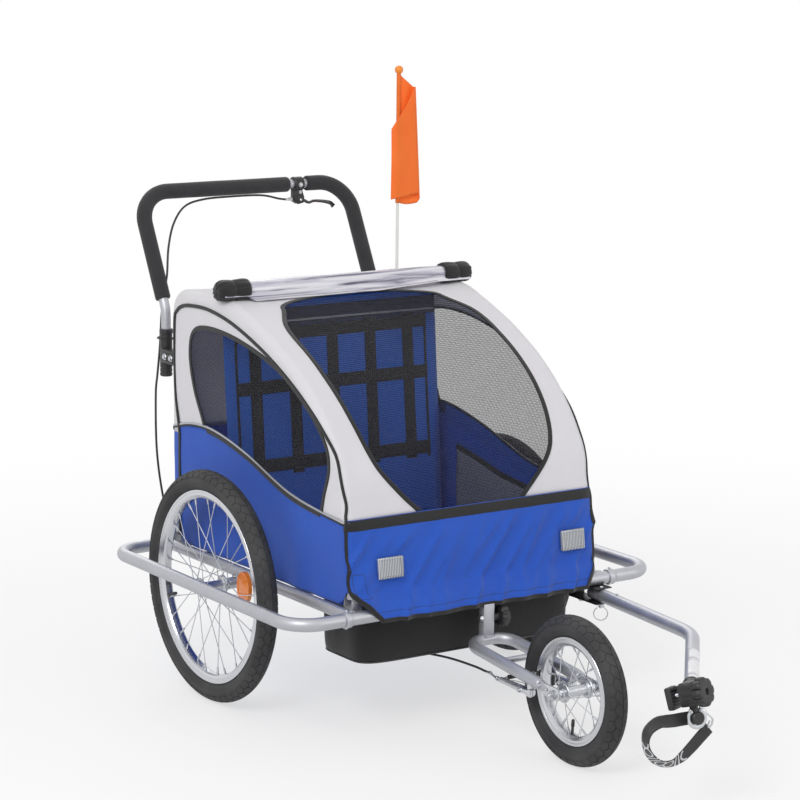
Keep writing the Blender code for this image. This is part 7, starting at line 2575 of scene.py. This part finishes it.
# Hitch clamp
# A black nylon block on the end of the arm. Its big knob draws a jaw against the bicycle's chain
# stay, and a steel ring round its nose lets the hitch turn.
CLAMP_CENTRE = Vector((0.002, -1.15, 0.2472))
clamp_axis = Vector((0.311342, -0.904204, 0.292372)).normalized()
clamp_right = Vector((0, 0, 1)).cross(clamp_axis).normalized()
clamp_up = clamp_right.cross(-clamp_axis)
CLAMP = Matrix.Translation(CLAMP_CENTRE) @ Matrix(
    (clamp_right, -clamp_axis, clamp_up)
).transposed().to_4x4()


def put_in_clamp(bm):
    """Moves a mesh drawn in the clamp's own directions to its place."""
    bmesh.ops.transform(bm, matrix=CLAMP, verts=bm.verts)


# Knob: eight soft lobes, a domed cap with a dimple, and a screw
HITCH_KNOB_RINGS = [
    (0.0104, 0.01, 0.0), (0.0104, 0.019, 0.0), (0.01, 0.0245, 0.4), (0.008, 0.0262, 1.0),
    (-0.001, 0.0268, 1.0), (-0.0064, 0.0262, 1.0), (-0.0086, 0.0246, 0.9), (-0.0098, 0.0224, 0.6),
    (-0.0102, 0.018, 0.3), (-0.0098, 0.011, 0.0), (-0.0096, 0.0076, 0.0), (-0.0088, 0.0062, 0.0),
    (-0.0058, 0.0056, 0.0), (-0.0055, 0.002, 0.0),
]
rows = []
for depth, radius, share in HITCH_KNOB_RINGS:
    row = []
    for k in range(160):
        turn = 2 * math.pi * k / 160
        reach = radius + share * (0.0052 * abs(math.cos(4 * turn)) ** 0.55 - 0.0034)
        row.append((reach * math.cos(turn), depth, reach * math.sin(turn)))
    rows.append(row)
bm = bmesh.new()
add_strip(bm, rows)
put_in_clamp(bm)
make_piece("hitch_knob_grip", bm, black_nylon, "hitch_knob", "plastic", 40, body="clamp_knob")
bm = bmesh.new()
screw = [(0.0095, 0), (0.0095, 0.0038)]
for k in range(34):
    screw += [(0.011 + 0.0018 * k, 0.0038), (0.0119 + 0.0018 * k, 0.0033)]
turn_profile(bm, screw + [(0.0733, 0.0036), (0.0733, 0)], (0, 0, 0), 20, (0, 1, 0), closed=False)
put_in_clamp(bm)
make_piece("hitch_screw", bm, zinc_steel, slot="steel", sharp=25, body="clamp_knob")

# Block with the arm's sleeve, ribs, nose and neck
bm = bmesh.new()
add_block(bm, (-0.019, 0.0103, -0.022), (0.02, 0.0443, 0.021), 0.0034, 3)
for z in (-0.013, 0.0, 0.013):
    add_block(bm, (-0.0204, 0.015, z - 0.0014), (0.021, 0.04, z + 0.0014), 0.0009, 2)
add_block(bm, (-0.015, 0.013, 0.019), (0.016, 0.041, 0.0228), 0.0016, 3)
nose = [
    (-0.009, 0), (-0.009, 0.0112), (-0.0074, 0.0127), (0.0074, 0.0127), (0.009, 0.0112),
    (0.0092, 0.007), (0.0086, 0)
]
nose_at = Vector((0, 0.0263, -0.047))
nose_way = Vector((-0.46, -0.88, -0.08)).normalized()
turn_profile(bm, nose, nose_at, 36, nose_way, closed=False)
add_block(bm, (-0.0075, 0.0195, -0.043), (0.0035, 0.033, -0.019), 0.0014, 2)
put_in_clamp(bm)
sleeve = [
    (-0.024, 0.0146), (-0.024, 0.0168), (-0.0226, 0.0182), (-0.018, 0.0182), (-0.017, 0.0174),
    (0.011, 0.0176), (0.014, 0.016), (0.014, 0.0)
]
turn_profile(bm, [(-0.0232, 0.0), *sleeve], ARM_END, 32, arm_way, closed=False)
make_piece("hitch_block", bm, black_nylon, "hitch_body", "plastic", 35, body="arm")
bm = bmesh.new()
for z in (-0.006, 0.0065):
    add_bolt(bm, (0.0212, 0.035 if z > 0 else 0.02, z), (1, 0, 0), 0.0032, 0.0022, 0.0048)
put_in_clamp(bm)
make_piece("hitch_block_screws", bm, zinc_steel, slot="steel", sharp=30, body="arm")

bm = bmesh.new()
add_block(bm, (-0.017, 0.0603, -0.026), (0.0125, 0.0753, 0.018), 0.0044, 4)
for z in (-0.018, -0.012, -0.006, 0.0, 0.006, 0.012):
    add_block(bm, (-0.015, 0.0592, z - 0.0012), (0.0105, 0.0612, z + 0.0012), 0.0006, 1)
put_in_clamp(bm)
make_piece("hitch_jaw_block", bm, black_nylon, "hitch_jaw", "plastic", 35, body="clamp_jaw")

# Steel ring with two ears, bent round the nose
bm = bmesh.new()
outer, inner = [], []
for k in range(49):
    turn = math.radians(118 + 304 * k / 48)
    reach = 0.0212 + (0.002 if k < 2 or k > 46 else 0)
    outer.append((reach * math.cos(turn), reach * math.sin(turn), 0.0022))
    inner.append((0.0134 * math.cos(turn), 0.0134 * math.sin(turn), 0.0022))
for k in range(48):
    bm.faces.new(
        [bm.verts.new(point) for point in (outer[k], outer[k + 1], inner[k + 1], inner[k])]
    )
bmesh.ops.remove_doubles(bm, verts=bm.verts, dist=1e-6)
raised = bmesh.ops.extrude_face_region(bm, geom=bm.faces[:])
bmesh.ops.translate(
    bm, vec=(0, 0, -0.0044),
    verts=[part for part in raised["geom"] if isinstance(part, bmesh.types.BMVert)]
)
bmesh.ops.recalc_face_normals(bm, faces=bm.faces)
edges = [edge for edge in bm.edges if edge.calc_face_angle(0) > 0.9]
bmesh.ops.bevel(bm, geom=edges, offset=0.0008, segments=2, profile=0.5, affect="EDGES", material=-1)
for turn in (128, 412):
    place = Vector(
        (0.0176 * math.cos(math.radians(turn)), 0.0176 * math.sin(math.radians(turn)), 0.0021)
    )
    add_bolt(bm, place, (0, 0, 1), 0.0024, 0.0016, 0.0033)
turn_across = Vector((0, 0, 1)).cross(nose_way).normalized()
seat = Matrix((turn_across, nose_way.cross(turn_across), nose_way)).transposed().to_4x4()
bmesh.ops.transform(bm, matrix=Matrix.Translation(nose_at) @ seat, verts=bm.verts)
put_in_clamp(bm)
make_piece("hitch_ring_clip", bm, zinc_steel, "hitch_ring", "steel", 35, body="arm")

# Safety strap
# A black webbing strap with a woven silver chain of dots, looped below the hitch; a wire snap
# hook on the block holds its end.
STRAP_ROUTE = [
    ((0.0275, -1.141, 0.1715), 75), ((0.009, -1.14, 0.157), 76), ((-0.01, -1.138, 0.14), 72),
    ((-0.033, -1.136, 0.123), 60), ((-0.06, -1.135, 0.115), 30), ((-0.09, -1.135, 0.123), 5),
    ((-0.112, -1.135, 0.144), -15), ((-0.119, -1.133, 0.166), -28), ((-0.11, -1.13, 0.185), -12),
    ((-0.085, -1.126, 0.195), 15), ((-0.06, -1.122, 0.193), 35), ((-0.04, -1.119, 0.1905), 42),
    ((-0.022, -1.1185, 0.19), 50), ((-0.005, -1.1225, 0.191), 60),
]
STRAP_WIDTH = 0.025
middles = smooth_curve([point for point, _ in STRAP_ROUTE], 8)
turns = smooth_curve([(turn, 0, 0) for _, turn in STRAP_ROUTE], 8)
run_at = [0.0]
for a, b in zip(middles, middles[1:]):
    run_at.append(run_at[-1] + (b - a).length)

# Black polypropylene webbing, with silver reflective rings and bars of 30 mm woven along it
strap_webbing, tree = new_finish("webbing_with_reflective_thread")
laid = add_node(tree, "UVMap", uv_map="cloth").outputs["UV"]
parts = add_node(tree, "SeparateXYZ", in0=laid)
step = add_node(tree, "Math", operation="PINGPONG", in0=parts.outputs[0], in1=0.03)
from_end = add_node(tree, "Math", operation="SUBTRACT", in0=step.outputs[0], in1=0.01)
flat = add_node(tree, "CombineXYZ", in0=from_end.outputs[0], in1=parts.outputs[1])
off = add_node(tree, "VectorMath", operation="LENGTH", in0=flat.outputs[0]).outputs["Value"]
outer_edge = add_node(tree, "Math", operation="LESS_THAN", in0=off, in1=0.0118)
inner_edge = add_node(tree, "Math", operation="GREATER_THAN", in0=off, in1=0.0082)
band = add_node(
    tree, "Math", operation="MULTIPLY", in0=outer_edge.outputs[0], in1=inner_edge.outputs[0]
)
from_bar = add_node(tree, "Math", operation="SUBTRACT", in0=step.outputs[0], in1=0.026)
bar_off = add_node(tree, "Math", operation="ABSOLUTE", in0=from_bar.outputs[0])
bar = add_node(tree, "Math", operation="LESS_THAN", in0=bar_off.outputs[0], in1=0.0016)
shine = add_node(tree, "Math", operation="MAXIMUM", in0=band.outputs[0], in1=bar.outputs[0])
start = add_node(tree, "Math", operation="GREATER_THAN", in0=parts.outputs[0], in1=0.07)
finish_at = add_node(tree, "Math", operation="LESS_THAN", in0=parts.outputs[0], in1=0.19)
there = add_node(tree, "Math", operation="MULTIPLY", in0=start.outputs[0], in1=finish_at.outputs[0])
shine = add_node(tree, "Math", operation="MULTIPLY", in0=shine.outputs[0], in1=there.outputs[0])
shade = add_node(
    tree, "Mix", data_type="RGBA", in0=shine.outputs[0], in6=linear("#1B1B1D"),
    in7=linear("#C9CACD")
)
# Ribs of the weave 1.6 mm apart
ribs = add_node(
    tree, "TexWave", Vector=laid, Scale=0.314 / 0.0016, Distortion=0.0, bands_direction="X"
)
relief = add_node(tree, "Bump", Strength=0.5, Distance=0.0003, Height=ribs.outputs["Fac"])
skin = add_node(
    tree, "BsdfPrincipled", Base_Color=shade.outputs[2], Roughness=0.55, Sheen_Weight=0.2,
    Normal=relief.outputs[0]
)
add_node(tree, "OutputMaterial", Surface=skin.outputs[0])

bm = bmesh.new()
ACROSS = 6
made = bmesh.ops.create_grid(bm, x_segments=len(middles) - 1, y_segments=ACROSS, size=0.5)["verts"]
flat_map = bm.loops.layers.uv.new("cloth")
flat_spot = {}
for vert in made:
    k = round((vert.co.x + 0.5) * (len(middles) - 1))
    share = vert.co.y
    run = (middles[min(k + 1, len(middles) - 1)] - middles[max(k - 1, 0)]).normalized()
    side_way = (Vector((0, 1, 0)) - run * run.y).normalized()
    across = Matrix.Rotation(math.radians(turns[k].x + 20), 3, run) @ side_way
    flat_spot[vert.index] = (run_at[k], share * STRAP_WIDTH)
    curl = 0.0012 * (0.25 - share * share) * math.sin(run_at[k] * 40)
    vert.co = middles[k] + across * (STRAP_WIDTH * share) + across.cross(run) * curl
bm.verts.index_update()
for face in bm.faces:
    for loop in face.loops:
        loop[flat_map].uv = flat_spot[loop.vert.index]
bmesh.ops.recalc_face_normals(bm, faces=bm.faces)
strap = make_piece(
    "safety_strap_webbing", bm, strap_webbing, "safety_strap", "black_fabric", 60, body="arm"
)
thicken(strap, 0.0018)

bm = bmesh.new()
top = CLAMP @ Vector((0.0165, 0.02, -0.0235))
hook = [
    top + Vector((0.0005, 0, 0.004)), top, top + Vector((0.003, 0.0, -0.012)),
    Vector((0.033, -1.142, 0.19)), Vector((0.0345, -1.142, 0.181)), Vector((0.033, -1.1416, 0.176)),
    Vector((0.0279, -1.1411, 0.1718)), Vector((0.025, -1.1411, 0.1745)),
    Vector((0.0262, -1.1413, 0.18)), Vector((0.0292, -1.1418, 0.185)),
]
add_tube(bm, smooth_curve(hook, 6), 0.0018, 4)
collar = top + Vector((0.003, 0.0, -0.012))
turn_profile(
    bm, [(0, 0), (0, 0.003), (0.001, 0.0038), (0.008, 0.0038), (0.009, 0.0028), (0.009, 0)], collar,
    20, (Vector((0.033, -1.142, 0.19)) - collar).normalized(), closed=False
)
loop_at = top + Vector((0.0005, 0, 0.006))
eye = [
    loop_at + Vector((0.005 * math.cos(a), 0, 0.005 * math.sin(a)))
    for a in (2 * math.pi * k / 20 for k in range(20))
]
add_tube(bm, eye, 0.0015, 3, closed=True)
make_piece("snap_hook_wire", bm, zinc_steel, "snap_hook", "steel", 35, body="arm")

low, high = cad_box
